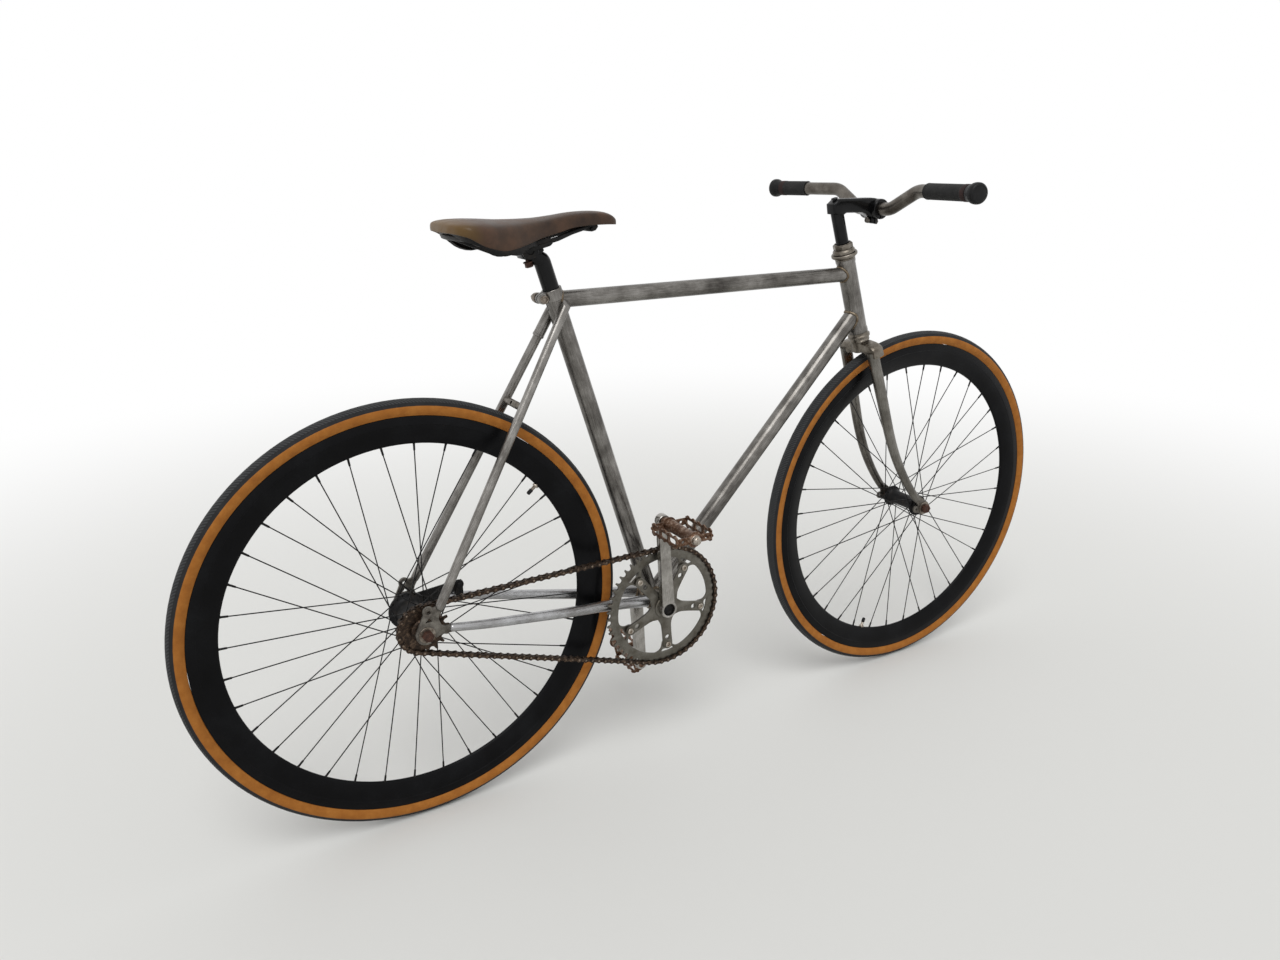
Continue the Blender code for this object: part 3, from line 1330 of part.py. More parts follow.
def build_brake_arm_clip():
    """A strap round the left chainstay, with two ears and a bolt that hold the arm's end."""
    path = chainstay_path(1)
    radii = chainstay_radii()
    share = (BRAKE_ARM_REACH - CHAINSTAY_END_AHEAD) / (path[1].x - path[0].x)
    centre = path[0].lerp(path[1], share)
    run = (path[1] - path[0]).normalized()
    stay_radius = radii[0] + (radii[1] - radii[0]) * share + CLIP_CLEARANCE
    outer = stay_radius + CLIP_THICKNESS
    half = CLIP_WIDTH / 2
    ring = [(stay_radius, -half), (outer, -half), (outer, half), (stay_radius, half)]
    clip = turned("brake_arm_clip", ring, along(centre, run), SMALL_STEPS)
    end = brake_arm_end()
    top = end.z + 0.0070
    side_gap = BRAKE_ARM_THICKNESS / 2 + GAP
    low = centre.z + stay_radius
    for number, side in ((1, -1), (2, 1)):
        y = BRAKE_ARM_Y + side * (side_gap + CLIP_THICKNESS / 2)
        frame = Matrix.Translation((end.x, y, (low + top) / 2))
        join(clip, box("clip_ear_%d" % number, (CLIP_WIDTH, CLIP_THICKNESS, top - low), frame))
    start_y = BRAKE_ARM_Y - side_gap - CLIP_THICKNESS + 0.0002
    bridge_frame = Matrix.Translation((end.x, (start_y + centre.y) / 2, low + CLIP_THICKNESS / 2 + 0.0002))
    join(clip, box("clip_bridge", (CLIP_WIDTH - 0.0004, centre.y - start_y, CLIP_THICKNESS), bridge_frame))
    stay = cylinder("clip_stay_cut", stay_radius, centre - run * 0.03, centre + run * 0.03, SMALL_STEPS)
    cut(clip, stay)
    inner_face = BRAKE_ARM_Y - side_gap - CLIP_THICKNESS
    outer_face = BRAKE_ARM_Y + side_gap + CLIP_THICKNESS
    at = Vector((end.x, 0, end.z))
    pieces = (
        ("clip_bolt", 0.0028, inner_face - 0.0004, outer_face + 0.0060, 8),
        ("clip_bolt_head", 0.0055, inner_face - 0.0040, inner_face + 0.0004, 6),
        ("clip_bolt_nut", 0.0055, outer_face - 0.0004, outer_face + 0.0045, 6),
    )
    for name, radius, start, end, sides in pieces:
        join(clip, cylinder(name, radius, at + Y_AXIS * start, at + Y_AXIS * end, sides))
    make_part(clip, "plated_steel")


build_rear_axle()
DROPOUT_FACE = DROPOUT_Y + DROPOUT_THICKNESS / 2 + GAP
axle_nut("rear_axle_nut_right", REAR_AXLE, -1, DROPOUT_FACE, REAR_AXLE_RADIUS, "rusty_steel")
axle_nut("rear_axle_nut_left", REAR_AXLE, 1, DROPOUT_FACE, REAR_AXLE_RADIUS, "rusty_steel")
build_brake_arm()
build_brake_arm_clip()


# Bottom bracket and cranks

def build_spindle():
    journal = Y_AXIS * JOURNAL_END
    end = Y_AXIS * SPINDLE_END
    spindle = cylinder("bb_spindle", SPINDLE_RADIUS, BRACKET - journal, BRACKET + journal)
    square = cylinder("spindle_square", SQUARE_RADIUS, BRACKET - end, BRACKET + end, 4)
    make_part(join(spindle, square), "plated_steel", crank_pivot)


def build_cup(name, side, flange_radius):
    half = SHELL_WIDTH / 2 + GAP
    bore = SPINDLE_RADIUS + TURNING_GAP
    profile = [
        (bore, half + CUP_FLANGE),
        (flange_radius - 0.0015, half + CUP_FLANGE),
        (flange_radius, half + CUP_FLANGE - 0.0008),
        (flange_radius, half),
        (SHELL_BORE - GAP, half),
        (SHELL_BORE - GAP, half - CUP_THREAD),
        (bore, half - CUP_THREAD),
    ]
    make_part(turned(name, profile, along(BRACKET, Y_AXIS * side)), "plated_steel")


def crank_frame(direction, side):
    """A frame at the spindle whose X runs along the crank and whose Z points out to its side."""
    z = Y_AXIS * side
    matrix = Matrix((direction, z.cross(direction), z)).transposed().to_4x4()
    matrix.translation = BRACKET
    return matrix


def crank_arm(name, direction, side):
    """A forged arm: a round boss on the spindle, a tapering splayed arm and an eye for the pedal."""
    frame = crank_frame(direction, side)
    middle = CRANK_INNER_Y + CRANK_THICKNESS / 2
    splay = math.atan2(CRANK_SPLAY, CRANK_LENGTH)
    tilted = frame @ Matrix.Translation((0, 0, middle)) @ Matrix.Rotation(-splay, 4, "Y")
    length = CRANK_LENGTH / math.cos(splay)
    outline = arc((0, 0), CRANK_BOSS_RADIUS - 0.0015, 65, 295, 7)
    outline += arc((length, 0), CRANK_EYE_RADIUS, -84, 84, 6)
    arm = plate(name, outline, CRANK_THICKNESS, tilted, edge=CRANK_EDGE)
    start, end = (frame @ Vector((0, 0, z)) for z in (CRANK_FACE, middle + CRANK_BOSS_PROUD))
    return join(arm, cylinder(name + "_boss", CRANK_BOSS_RADIUS, start, end, 16))


def cut_sockets(arm, direction, side):
    """Cuts a crank's square socket, the recess of its bolt and its pedal thread."""
    frame = crank_frame(direction, side)

    def place(x, z):
        return frame @ Vector((x, 0, z))

    name = arm.name
    inside = CRANK_FACE - 0.01
    outside = CRANK_INNER_Y + CRANK_THICKNESS + CRANK_SPLAY + 0.02
    square = cylinder(name + "_square", SQUARE_RADIUS + SOCKET_PLAY, place(0, inside), place(0, outside), 4)
    recess_start = place(0, SPINDLE_END + 0.0004)
    recess = cylinder(name + "_recess", CRANK_BOLT_RECESS, recess_start, place(0, outside), 12)
    eye_start, eye_end = place(CRANK_LENGTH, inside), place(CRANK_LENGTH, outside)
    thread = cylinder(name + "_thread", PEDAL_THREAD_RADIUS + GAP, eye_start, eye_end, 12)
    return cut(arm, square, recess, thread)


def build_cranks():
    left = crank_arm("crank_left", -CRANK_DIRECTION, 1)
    make_part(cut_sockets(left, -CRANK_DIRECTION, 1), "polished_alloy", crank_pivot)
    right = crank_arm("crank_right", CRANK_DIRECTION, -1)
    face = CHAIN_LINE + SPROCKET_THICKNESS / 2 + GAP
    outline = []
    holes = []
    half_step = math.pi / SPIDER_ARMS
    bolt_hole = (CHAINRING_BOLT_RADIUS + GAP) / math.cos(math.pi / 6)
    for angle in arm_angles():
        tip = arc((CHAINRING_BOLT_CIRCLE, 0), SPIDER_TIP_RADIUS, -80, 80, 4)
        root = (SPIDER_ARM_ROOT, SPIDER_ARM_HALF)
        outline += around([(root[0], -root[1])] + tip + [root], angle)
        outline += around([(SPIDER_NECK, 0)], angle + half_step)
        holes.append(around(circle(bolt_hole, 6, (CHAINRING_BOLT_CIRCLE, 0)), angle))
        holes.append(around(circle(SPIDER_HOLE_RADIUS, 6, (SPIDER_HOLE_AT, 0)), angle))
    middle = face + SPIDER_THICKNESS / 2
    spider = plate("spider", outline, SPIDER_THICKNESS, side_plane(BRACKET - Y_AXIS * middle), holes)
    hub_start = BRACKET - Y_AXIS * (CRANK_FACE - 0.0010)
    hub_end = BRACKET - Y_AXIS * (CRANK_FACE + SPIDER_HUB_WIDTH)
    hub = cylinder("spider_hub", SPIDER_HUB_RADIUS, hub_start, hub_end)
    make_part(cut_sockets(join(right, spider, hub), CRANK_DIRECTION, -1), "polished_alloy", crank_pivot)


def build_pedal_spindle(name, axle, side):
    r = PEDAL_SPINDLE_RADIUS
    flange_end = PEDAL_INNER_Y - PEDAL_FLANGE_ROOM
    flange = flange_end - PEDAL_FLANGE_WIDTH
    profile = [
        (0, CRANK_INNER_Y + CRANK_SPLAY - 0.0010),
        (PEDAL_THREAD_RADIUS, CRANK_INNER_Y + CRANK_SPLAY - 0.0010),
        (PEDAL_THREAD_RADIUS, flange),
        (PEDAL_FLANGE_RADIUS, flange),
        (PEDAL_FLANGE_RADIUS, flange_end),
        (r, flange_end),
        (r, PEDAL_OUTER_Y),
        (0, PEDAL_OUTER_Y),
    ]
    make_part(turned(name, profile, along(axle, Y_AXIS * side), 12), "rusty_steel", crank_pivot)


def build_pedal(name, axle, side, tilt, pivot):
    """A barrel with a dust cap, two end plates and two toothed cage plates."""
    bore = PEDAL_SPINDLE_RADIUS + TURNING_GAP
    profile = [
        (bore, PEDAL_INNER_Y),
        (PEDAL_NECK_RADIUS, PEDAL_INNER_Y),
        (PEDAL_BARREL_RADIUS, PEDAL_INNER_Y + 0.0030),
        (PEDAL_BARREL_RADIUS, PEDAL_OUTER_Y - 0.0020),
        (PEDAL_CAP_RADIUS, PEDAL_OUTER_Y + 0.0015),
        (0.0062, PEDAL_CAP_Y - 0.0015),
        (0.0030, PEDAL_CAP_Y),
        (0, PEDAL_CAP_Y),
    ]
    turn = Matrix.Rotation(tilt, 4, "Y")
    place = Matrix.Translation(axle) @ turn
    solid = [(0, PEDAL_INNER_Y)] + profile[1:]
    pedal = turned(name, solid, along(axle, Y_AXIS * side), SMALL_STEPS)
    bore_start, bore_end = (axle + Y_AXIS * side * y for y in (PEDAL_INNER_Y - 0.01, PEDAL_OUTER_Y + 0.001))
    hole = cylinder(name + "_bore", bore, bore_start, bore_end, 12)
    inner = PEDAL_INNER_Y + PEDAL_PLATE_INSET
    outer = PEDAL_OUTER_Y - 0.0020
    reach = PEDAL_CAGE_REACH
    low = PEDAL_PLATE_HALF
    for label, y in (("inner", inner), ("outer", outer)):
        wide = PEDAL_BARREL_RADIUS + 0.0015
        end_plate = [
            (reach, -low), (reach, low), (low, wide), (-low, wide),
            (-reach, low), (-reach, -low), (-low, -wide), (low, -wide),
        ]
        frame = place @ side_plane((0, side * y, 0))
        join(pedal, plate("%s_%s_plate" % (name, label), end_plate, PEDAL_PLATE, frame))
    half = (outer - inner) / 2 + PEDAL_PLATE
    teeth = PEDAL_CAGE_TEETH
    step = 2 * half / teeth
    root = PEDAL_CAGE_HEIGHT / 2 - PEDAL_TOOTH_DEPTH
    top = []
    for tooth in range(teeth):
        start = -half + step * tooth
        crown = 0.0008 * (1 - (start / half) ** 2)
        top += [(start, root + crown), (start + step / 2, PEDAL_CAGE_HEIGHT / 2)]
    top.append((half, root))
    outline = top + [(-y, -z) for y, z in top]
    for label, x in (("front", reach), ("back", -reach)):
        matrix = Matrix(((0, 0, 1), (1, 0, 0), (0, 1, 0))).to_4x4()
        matrix.translation = (x, side * (inner + outer) / 2, 0)
        join(pedal, plate("%s_%s_cage" % (name, label), outline, PEDAL_PLATE, place @ matrix))
    make_part(cut(pedal, hole), "rusty_steel", pivot)


build_spindle()
build_cup("bb_cup_right", -1, RIGHT_CUP_RADIUS)
build_cup("bb_cup_left", 1, LEFT_CUP_RADIUS)
build_cranks()
build_pedal_spindle("pedal_spindle_right", RIGHT_PEDAL, -1)
build_pedal_spindle("pedal_spindle_left", LEFT_PEDAL, 1)
build_pedal("pedal_right", RIGHT_PEDAL, -1, 0.0, right_pedal_pivot)
build_pedal("pedal_left", LEFT_PEDAL, 1, LEFT_PEDAL_TILT, left_pedal_pivot)


# Headset and fork

LOCKNUT_START = GAP + UPPER_CUP_HEIGHT + TURNING_GAP + TOP_RACE_HEIGHT + GAP
LOCKNUT_TOP = LOCKNUT_START + LOCKNUT_HEIGHT + LOCKNUT_COLLAR
RACE_SEAT_DEPTH = GAP + LOWER_CUP_HEIGHT + TURNING_GAP + CROWN_RACE_HEIGHT + GAP
CROWN_FOOT = RACE_SEAT_DEPTH + CROWN_DEPTH
FORK_TIP_FACE = FRONT_HUB_WIDTH / 2 + 2 * GAP + FORK_TIP_THICKNESS


def build_headset():
    bore = STEERER_RADIUS + GAP + 0.0007
    skirt = HEAD_TUBE_RADIUS - HEAD_TUBE_WALL - GAP
    lower = [
        (bore, -GAP - LOWER_CUP_HEIGHT),
        (LOWER_CUP_RADIUS, -GAP - LOWER_CUP_HEIGHT),
        (LOWER_CUP_RADIUS, -GAP - LOWER_CUP_FACE),
        (LOWER_CUP_NECK, -GAP),
        (skirt, -GAP),
        (skirt, CUP_SKIRT),
        (bore, CUP_SKIRT),
    ]
    make_part(turned("lower_headset_cup", lower, along(HEAD_BOTTOM, UP_HEAD)), "raw_steel")
    upper = [
        (bore, -CUP_SKIRT),
        (skirt, -CUP_SKIRT),
        (skirt, GAP),
        (UPPER_CUP_NECK, GAP),
        (UPPER_CUP_RADIUS, GAP + UPPER_CUP_HEIGHT - CUP_FACE),
        (UPPER_CUP_RADIUS, GAP + UPPER_CUP_HEIGHT),
        (bore, GAP + UPPER_CUP_HEIGHT),
    ]
    make_part(turned("upper_headset_cup", upper, along(HEAD_TOP, UP_HEAD)), "raw_steel")

    race_start = GAP + UPPER_CUP_HEIGHT + TURNING_GAP
    inside = STEERER_RADIUS + GAP
    race = [
        (inside, race_start),
        (TOP_RACE_RADIUS, race_start),
        (TOP_RACE_RADIUS, race_start + TOP_RACE_HEIGHT - RACE_FACE),
        (TOP_RACE_NECK, race_start + TOP_RACE_HEIGHT),
        (inside, race_start + TOP_RACE_HEIGHT),
    ]
    make_part(turned("headset_top_race", race, along(HEAD_TOP, UP_HEAD)), "raw_steel", steering_pivot)
    frame = along(HEAD_TOP, UP_HEAD)

    def lift(height):
        return frame @ Vector((0, 0, height))

    nut_end = lift(LOCKNUT_START + LOCKNUT_HEIGHT)
    nut = cylinder("headset_locknut", LOCKNUT_RADIUS, lift(LOCKNUT_START), nut_end, 8)
    collar_start = lift(LOCKNUT_START + 0.0010)
    collar = cylinder("locknut_collar", LOCKNUT_COLLAR_RADIUS, collar_start, lift(LOCKNUT_TOP))
    bore = cylinder("locknut_bore", inside, lift(LOCKNUT_START - 0.01), lift(LOCKNUT_TOP + 0.01))
    make_part(cut(join(nut, collar), bore), "raw_steel", steering_pivot)
    crown_race = [
        (inside, -RACE_SEAT_DEPTH + GAP),
        (CROWN_RACE_RADIUS, -RACE_SEAT_DEPTH + GAP),
        (CROWN_RACE_RADIUS, -RACE_SEAT_DEPTH + RACE_FACE),
        (CROWN_RACE_NECK, -RACE_SEAT_DEPTH + CROWN_RACE_HEIGHT),
        (inside, -RACE_SEAT_DEPTH + CROWN_RACE_HEIGHT),
    ]
    make_part(turned("crown_race", crown_race, along(HEAD_BOTTOM, UP_HEAD)), "raw_steel", steering_pivot)


def front_plane(origin):
    """A frame whose X is to the left, whose Y runs up the steering axis and whose Z points ahead."""
    matrix = Matrix((Y_AXIS, UP_HEAD, -AHEAD)).transposed().to_4x4()
    matrix.translation = origin
    return matrix


def build_fork_crown():
    """The crown with its sloping shoulders and the steerer that it carries."""
    half = CROWN_HALF_WIDTH
    seat = -RACE_SEAT_DEPTH
    side = [
        (CROWN_RADIUS, seat - 0.0006),
        (0.0310, seat - 0.0022),
        (0.0430, seat - 0.0070),
        (half, seat - 0.0120),
        (half, -CROWN_FOOT),
        (0.0245, -CROWN_FOOT),
        (0.0200, -CROWN_FOOT + 0.0075),
        (0.0090, seat - CROWN_COLUMN),
    ]
    outline = side + [(-x, y) for x, y in reversed(side)]
    crown = plate("fork_crown", outline, CROWN_THICKNESS, front_plane(HEAD_BOTTOM), edge=0.0040)
    column_end = steered(-seat + CROWN_COLUMN - 0.0005, 0)
    column = cylinder("crown_column", CROWN_RADIUS, steered(-seat, 0), column_end)
    steerer_top = HEAD_TOP + UP_HEAD * (LOCKNUT_TOP - GAP)
    steerer = cylinder("steerer", STEERER_RADIUS, steered(-seat + 0.010, 0), steerer_top)
    bore = cylinder("steerer_bore", STEERER_BORE, steered(-seat + 0.06, 0), HEAD_TOP + UP_HEAD * 0.06)
    make_part(cut(join(crown, column, steerer), bore), "raw_steel", steering_pivot)


def blade_centre(share):
    """A point of the right blade's centre line: straight at first, then curved forward to the axle."""
    top = CROWN_FOOT + 0.0010
    down = top + (AXLE_DEPTH - top) * share
    curve = max(0.0, (share - 0.40) / 0.60) ** 2.2
    forward = -BLADE_SETBACK + (FORK_RAKE + BLADE_SETBACK) * curve
    return down, forward, BLADE_TOP_Y + (BLADE_TIP_Y - BLADE_TOP_Y) * share


BLADE_SHARES = (0.0, 0.40, 0.56, 0.70, 0.82, 0.93)


def build_blade(name, side):
    """A raked oval blade that narrows to the tip plate, which has the axle's slot and an eyelet."""
    squash = Matrix.Diagonal((1, BLADE_FLATTEN, 1, 1))
    path = []
    radii = []
    for share in BLADE_SHARES:
        down, forward, y = blade_centre(share)
        path.append(steered(down, forward, side * y / BLADE_FLATTEN))
        radii.append(BLADE_TOP_RADIUS + (BLADE_TIP_RADIUS - BLADE_TOP_RADIUS) * share**1.2)
    blade = tube(name, path, radii, 12)
    above = path[0] + (path[0] - path[1]).normalized() * 0.02
    bore_path = [above] + path[:-1]
    bore = tube(name + "_bore", bore_path, [r - BLADE_WALL for r in [radii[0]] + radii[:-1]], 6)
    for shape in (blade, bore):
        shape.data.transform(squash)
    frame = side_plane(FRONT_AXLE + Y_AXIS * side * (FRONT_HUB_WIDTH / 2 + GAP + FORK_TIP_THICKNESS / 2))
    slot = FRONT_AXLE_RADIUS + GAP
    ring = FORK_TIP_RING
    mouth = FORK_MOUTH_ANGLE
    down, forward, y = blade_centre(BLADE_SHARES[-2])
    reach = steered(down, forward) - FRONT_AXLE
    up = Vector((reach.x, reach.z)).normalized()
    across = Vector((-up.y, up.x))
    root = up * (ring * 0.9)
    tip = up * FORK_TONGUE
    half = across * FORK_TONGUE_HALF
    outline = [tuple(tip - half), tuple(tip + half), tuple(root + half + across * 0.0030)]
    outline += arc((-FORK_EYELET_BEHIND, 0), FORK_EYELET_RADIUS, 75, 265, 6)
    outline += arc((0, 0), ring, 215, mouth + 340, 5)
    outline += arc((0, 0), slot, mouth + 270, mouth + 90, 7)
    direction = Vector((math.cos(math.radians(mouth)), math.sin(math.radians(mouth))))
    lip = direction * (ring - 0.0010) + Vector((-direction.y, direction.x)) * slot
    outline += [tuple(lip)] + arc((0, 0), ring, mouth + 30, 70, 5)
    eyelet = circle(FORK_EYELET_HOLE, 8, (-FORK_EYELET_BEHIND, 0))
    tip_plate = plate(name + "_tip", outline, FORK_TIP_THICKNESS, frame, [eyelet])
    make_part(cut(join(blade, tip_plate), bore), "raw_steel", steering_pivot)


def build_front_axle():
    r = FRONT_AXLE_RADIUS
    outer = FRONT_HUB_WIDTH / 2
    half_profile = [
        (r, outer - 0.0070),
        (FRONT_CONE_RADIUS, outer - 0.0050),
        (FRONT_CONE_RADIUS, outer),
        (r, outer),
        (r, FRONT_AXLE_END),
        (0, FRONT_AXLE_END),
    ]
    profile = [(radius, -y) for radius, y in reversed(half_profile)] + half_profile
    axle = turned("front_axle", profile, along(FRONT_AXLE, Y_AXIS), SMALL_STEPS)
    make_part(axle, "rusty_steel", steering_pivot)


build_headset()
build_fork_crown()
build_blade("fork_blade_right", -1)
build_blade("fork_blade_left", 1)
build_front_axle()
for front_nut, side in (("front_axle_nut_right", -1), ("front_axle_nut_left", 1)):
    axle_nut(front_nut, FRONT_AXLE, side, FORK_TIP_FACE, FRONT_AXLE_RADIUS, "rusty_steel", steering_pivot)


# Stem, handlebar, grips and caps

def build_stem():
    """A quill, a level extension with a chamfered rear corner, and a clamp barrel split below."""
    quill_top = HEAD_TOP + UP_HEAD * ((BAR_CENTRE.z + STEM_TOP - 0.0120 - HEAD_TOP.z) / UP_HEAD.z)
    start = HEAD_TOP - UP_HEAD * QUILL_BELOW_HEAD
    stem = cylinder("stem", QUILL_RADIUS, start, quill_top)
    back = quill_top.x - BAR_CENTRE.x - QUILL_RADIUS * 1.15
    top = STEM_TOP
    bottom = STEM_TOP - STEM_HEIGHT
    outline = [
        (0.0, -CLAMP_RADIUS * 0.95),
        (0.0, top - 0.0030),
        (-0.0120, top),
        (back + 0.0140, top),
        (back + 0.0020, top - 0.0090),
        (back + 0.0045, bottom - 0.0020),
        (back + 2.25 * QUILL_RADIUS, bottom - 0.0050),
        (back + 2.9 * QUILL_RADIUS, bottom),
        (-0.0330, bottom - 0.0010),
    ]
    extension = plate("stem_extension", outline, STEM_WIDTH, side_plane(BAR_CENTRE), edge=STEM_EDGE)
    half = Y_AXIS * (CLAMP_WIDTH / 2)
    barrel = cylinder("bar_clamp", CLAMP_RADIUS, BAR_CENTRE - half, BAR_CENTRE + half, 20)
    down = Vector((-math.sin(STEM_LUG_LEAN), 0, -math.cos(STEM_LUG_LEAN)))
    across = Vector((down.z, 0, -down.x))
    lug_frame = Matrix((across, Y_AXIS, -down)).transposed().to_4x4()
    lug_frame.translation = BAR_CENTRE + down * (STEM_LUG / 2 + 0.0035)
    lug = box("clamp_lug", (STEM_LUG_WIDTH, STEM_LUG_WIDTH, STEM_LUG - 0.0070), lug_frame)
    slit_frame = lug_frame.copy()
    slit_frame.translation = BAR_CENTRE + down * 0.0200
    slit = box("clamp_slit", (STEM_SLIT, CLAMP_WIDTH * 1.5, 0.0300), slit_frame)
    bore = cylinder("bar_bore", BAR_RADIUS + GAP, BAR_CENTRE - 2 * half, BAR_CENTRE + 2 * half)
    bolt_at = BAR_CENTRE + down * BINDER_REACH
    hole_radius = STEM_BOLT_RADIUS + GAP
    bolt_hole = cylinder("binder_hole", hole_radius, bolt_at - across * 0.03, bolt_at + across * 0.03, 10)
    below, above = start - UP_HEAD * 0.01, quill_top + UP_HEAD * 0.05
    expander = cylinder("expander_hole", EXPANDER_RADIUS + GAP, below, above, 12)
    join(stem, extension, barrel, lug)
    make_part(cut(stem, bore, slit, bolt_hole, expander), "black_alloy", stem_pivot)

    face = across * (STEM_LUG_WIDTH / 2 + GAP)
    head_end = face + across * STEM_BOLT_HEAD_HEIGHT
    nut_end = face + across * STEM_BOLT_NUT_HEIGHT
    bolt = cylinder("stem_binder_bolt", STEM_BOLT_RADIUS, bolt_at - face * 1.4, bolt_at + face * 1.4, 8)
    head = cylinder("binder_bolt_head", STEM_BOLT_HEAD, bolt_at + face, bolt_at + head_end, 10)
    nut = cylinder("binder_bolt_nut", STEM_BOLT_HEAD, bolt_at - face, bolt_at - nut_end, 6)
    make_part(join(bolt, head, nut), "black_steel", stem_pivot)

    wedge_top = HEAD_TOP - UP_HEAD * (QUILL_BELOW_HEAD + GAP)
    wedge = cylinder("stem_expander_bolt", QUILL_RADIUS, wedge_top - UP_HEAD * WEDGE_LENGTH, wedge_top)
    surface = HEAD_TOP + UP_HEAD * ((BAR_CENTRE.z + STEM_TOP - HEAD_TOP.z) / UP_HEAD.z)
    shaft_start, shaft_end = wedge_top - UP_HEAD * 0.01, surface + UP_HEAD * 0.0010
    shaft = cylinder("expander_shaft", EXPANDER_RADIUS, shaft_start, shaft_end, 10)
    make_part(join(wedge, shaft), "black_steel", stem_pivot)


def bar_path():
    """The bar's centre line on the left: level in the clamp, then up, out and back to its end."""
    corners = [
        BAR_CENTRE,
        BAR_CENTRE + Vector((0, BAR_STRAIGHT, 0)),
        BAR_CENTRE + Vector((0.0040, BAR_BEND_Y, BAR_RISE)),
        BAR_CENTRE + Vector((0.0040 - BAR_SWEEP, BAR_END_Y, BAR_RISE)),
    ]
    return filleted(corners, BAR_BEND_RADIUS, 2)


def along_bar(y):
    """The point of the bar's straight outer part at the distance y from the middle plane."""
    side = 1 if y > 0 else -1
    share = (abs(y) - BAR_BEND_Y) / (BAR_END_Y - BAR_BEND_Y)
    return BAR_CENTRE + Vector((0.0040 - BAR_SWEEP * share, side * abs(y), BAR_RISE))


def build_handlebar():
    left = bar_path()[1:]
    right = [BAR_CENTRE + Vector((p.x - BAR_CENTRE.x, -p.y, p.z - BAR_CENTRE.z)) for p in reversed(left)]
    path = right + left
    beyond = [path[0].lerp(path[1], -0.2)] + path[1:-1] + [path[-1].lerp(path[-2], -0.2)]
    bore = tube("handlebar_bore", beyond, BAR_RADIUS - BAR_WALL, 6)
    make_part(cut(tube("handlebar", path, BAR_RADIUS, 12), bore), "raw_steel", stem_pivot)


def build_grip(name, side, start_y):
    outside = BAR_RADIUS + GAP + GRIP_WALL
    start, end = along_bar(side * start_y), along_bar(side * GRIP_END)
    length = (end - start).length
    inside = BAR_RADIUS + GAP
    profile = [(inside, 0), (outside - 0.0006, 0), (outside, 0.0012), (outside, length), (inside, length)]
    make_part(turned(name, profile, along(start, end - start)), "rubber", stem_pivot)


def build_cap(name, side):
    """A domed mushroom cap with a neck that covers the bar's end."""
    start = along_bar(side * (GRIP_END + 0.0004))
    end = along_bar(side * BAR_END_Y)
    inside = BAR_RADIUS + GAP
    reach = (end - start).length + GAP
    wall = CAP_NECK_RADIUS
    profile = [
        (0, reach),
        (inside, reach),
        (inside, 0),
        (wall - 0.0010, 0),
        (wall, 0.0060),
        (CAP_RADIUS, 0.0120),
        (CAP_RADIUS, 0.0200),
        (CAP_RADIUS * 0.80, CAP_LENGTH),
        (0, CAP_LENGTH),
    ]
    make_part(turned(name, profile, along(start, end - start)), "black_plastic", stem_pivot)


build_stem()
build_handlebar()
build_grip("grip_right", -1, GRIP_RIGHT_START)
build_grip("grip_left", 1, GRIP_LEFT_START)
build_cap("bar_cap_right", -1)
build_cap("bar_cap_left", 1)


# Seatpost and saddle

POST_TOP = SEAT_TUBE_TOP + UP_SEAT * POST_HEAD_HEIGHT
RAIL_DIRECTION = Vector((math.cos(RAIL_SLOPE), 0, math.sin(RAIL_SLOPE)))
RAIL_NORMAL = Vector((-math.sin(RAIL_SLOPE), 0, math.cos(RAIL_SLOPE)))
CRADLE = Vector((POST_TOP.x - CRADLE_SETBACK, 0, CLUSTER.z + RAIL_HEIGHT))


def rail_frame(offset=0.0):
    """A frame at the cradle whose X runs forward along the rails and whose Z is up from them."""
    matrix = Matrix((RAIL_DIRECTION, Y_AXIS, RAIL_NORMAL)).transposed().to_4x4()
    matrix.translation = CRADLE + RAIL_NORMAL * offset
    return matrix


def build_seatpost():
    """A hollow post whose forged head leans back under the saddle's clamp."""
    start = SEAT_TUBE_TOP - UP_SEAT * SEATPOST_INSIDE
    post = cylinder("seatpost", SEATPOST_RADIUS, start, POST_TOP)
    origin = CRADLE - RAIL_NORMAL * 0.0070
    behind = 0.0225
    ahead = 0.0130

    def local(point):
        return point.x - origin.x, point.z - origin.z

    down = POST_TOP - UP_SEAT * 0.0200
    outline = [
        local(origin + RAIL_DIRECTION * ahead),
        local(origin - RAIL_DIRECTION * behind),
        local(origin - RAIL_DIRECTION * (behind - 0.0020) - RAIL_NORMAL * 0.0080),
        local(origin - RAIL_DIRECTION * 0.0040 - RAIL_NORMAL * 0.0130),
        local(down - AHEAD_OF_SEAT * SEATPOST_RADIUS * 0.9),
        local(down + AHEAD_OF_SEAT * SEATPOST_RADIUS * 0.9),
        local(POST_TOP + AHEAD_OF_SEAT * SEATPOST_RADIUS * 0.9 - UP_SEAT * 0.004),
    ]
    head = plate("post_head", outline, CRADLE_HALF_WIDTH * 1.3, side_plane(origin), edge=0.0025)
    bore = cylinder(
        "post_bore", SEATPOST_RADIUS - SEATPOST_WALL, start - UP_SEAT * 0.02, POST_TOP - UP_SEAT * 0.0220
    )
    above = rail_frame() @ Vector((-CRADLE_BOLT_BACK, 0, 0.03))
    below = rail_frame() @ Vector((-CRADLE_BOLT_BACK, 0, -0.05))
    hole = cylinder("cradle_hole", CRADLE_BOLT_RADIUS + GAP, below, above, 10)
    make_part(cut(join(post, head), bore, hole), "black_alloy", seatpost_pivot)


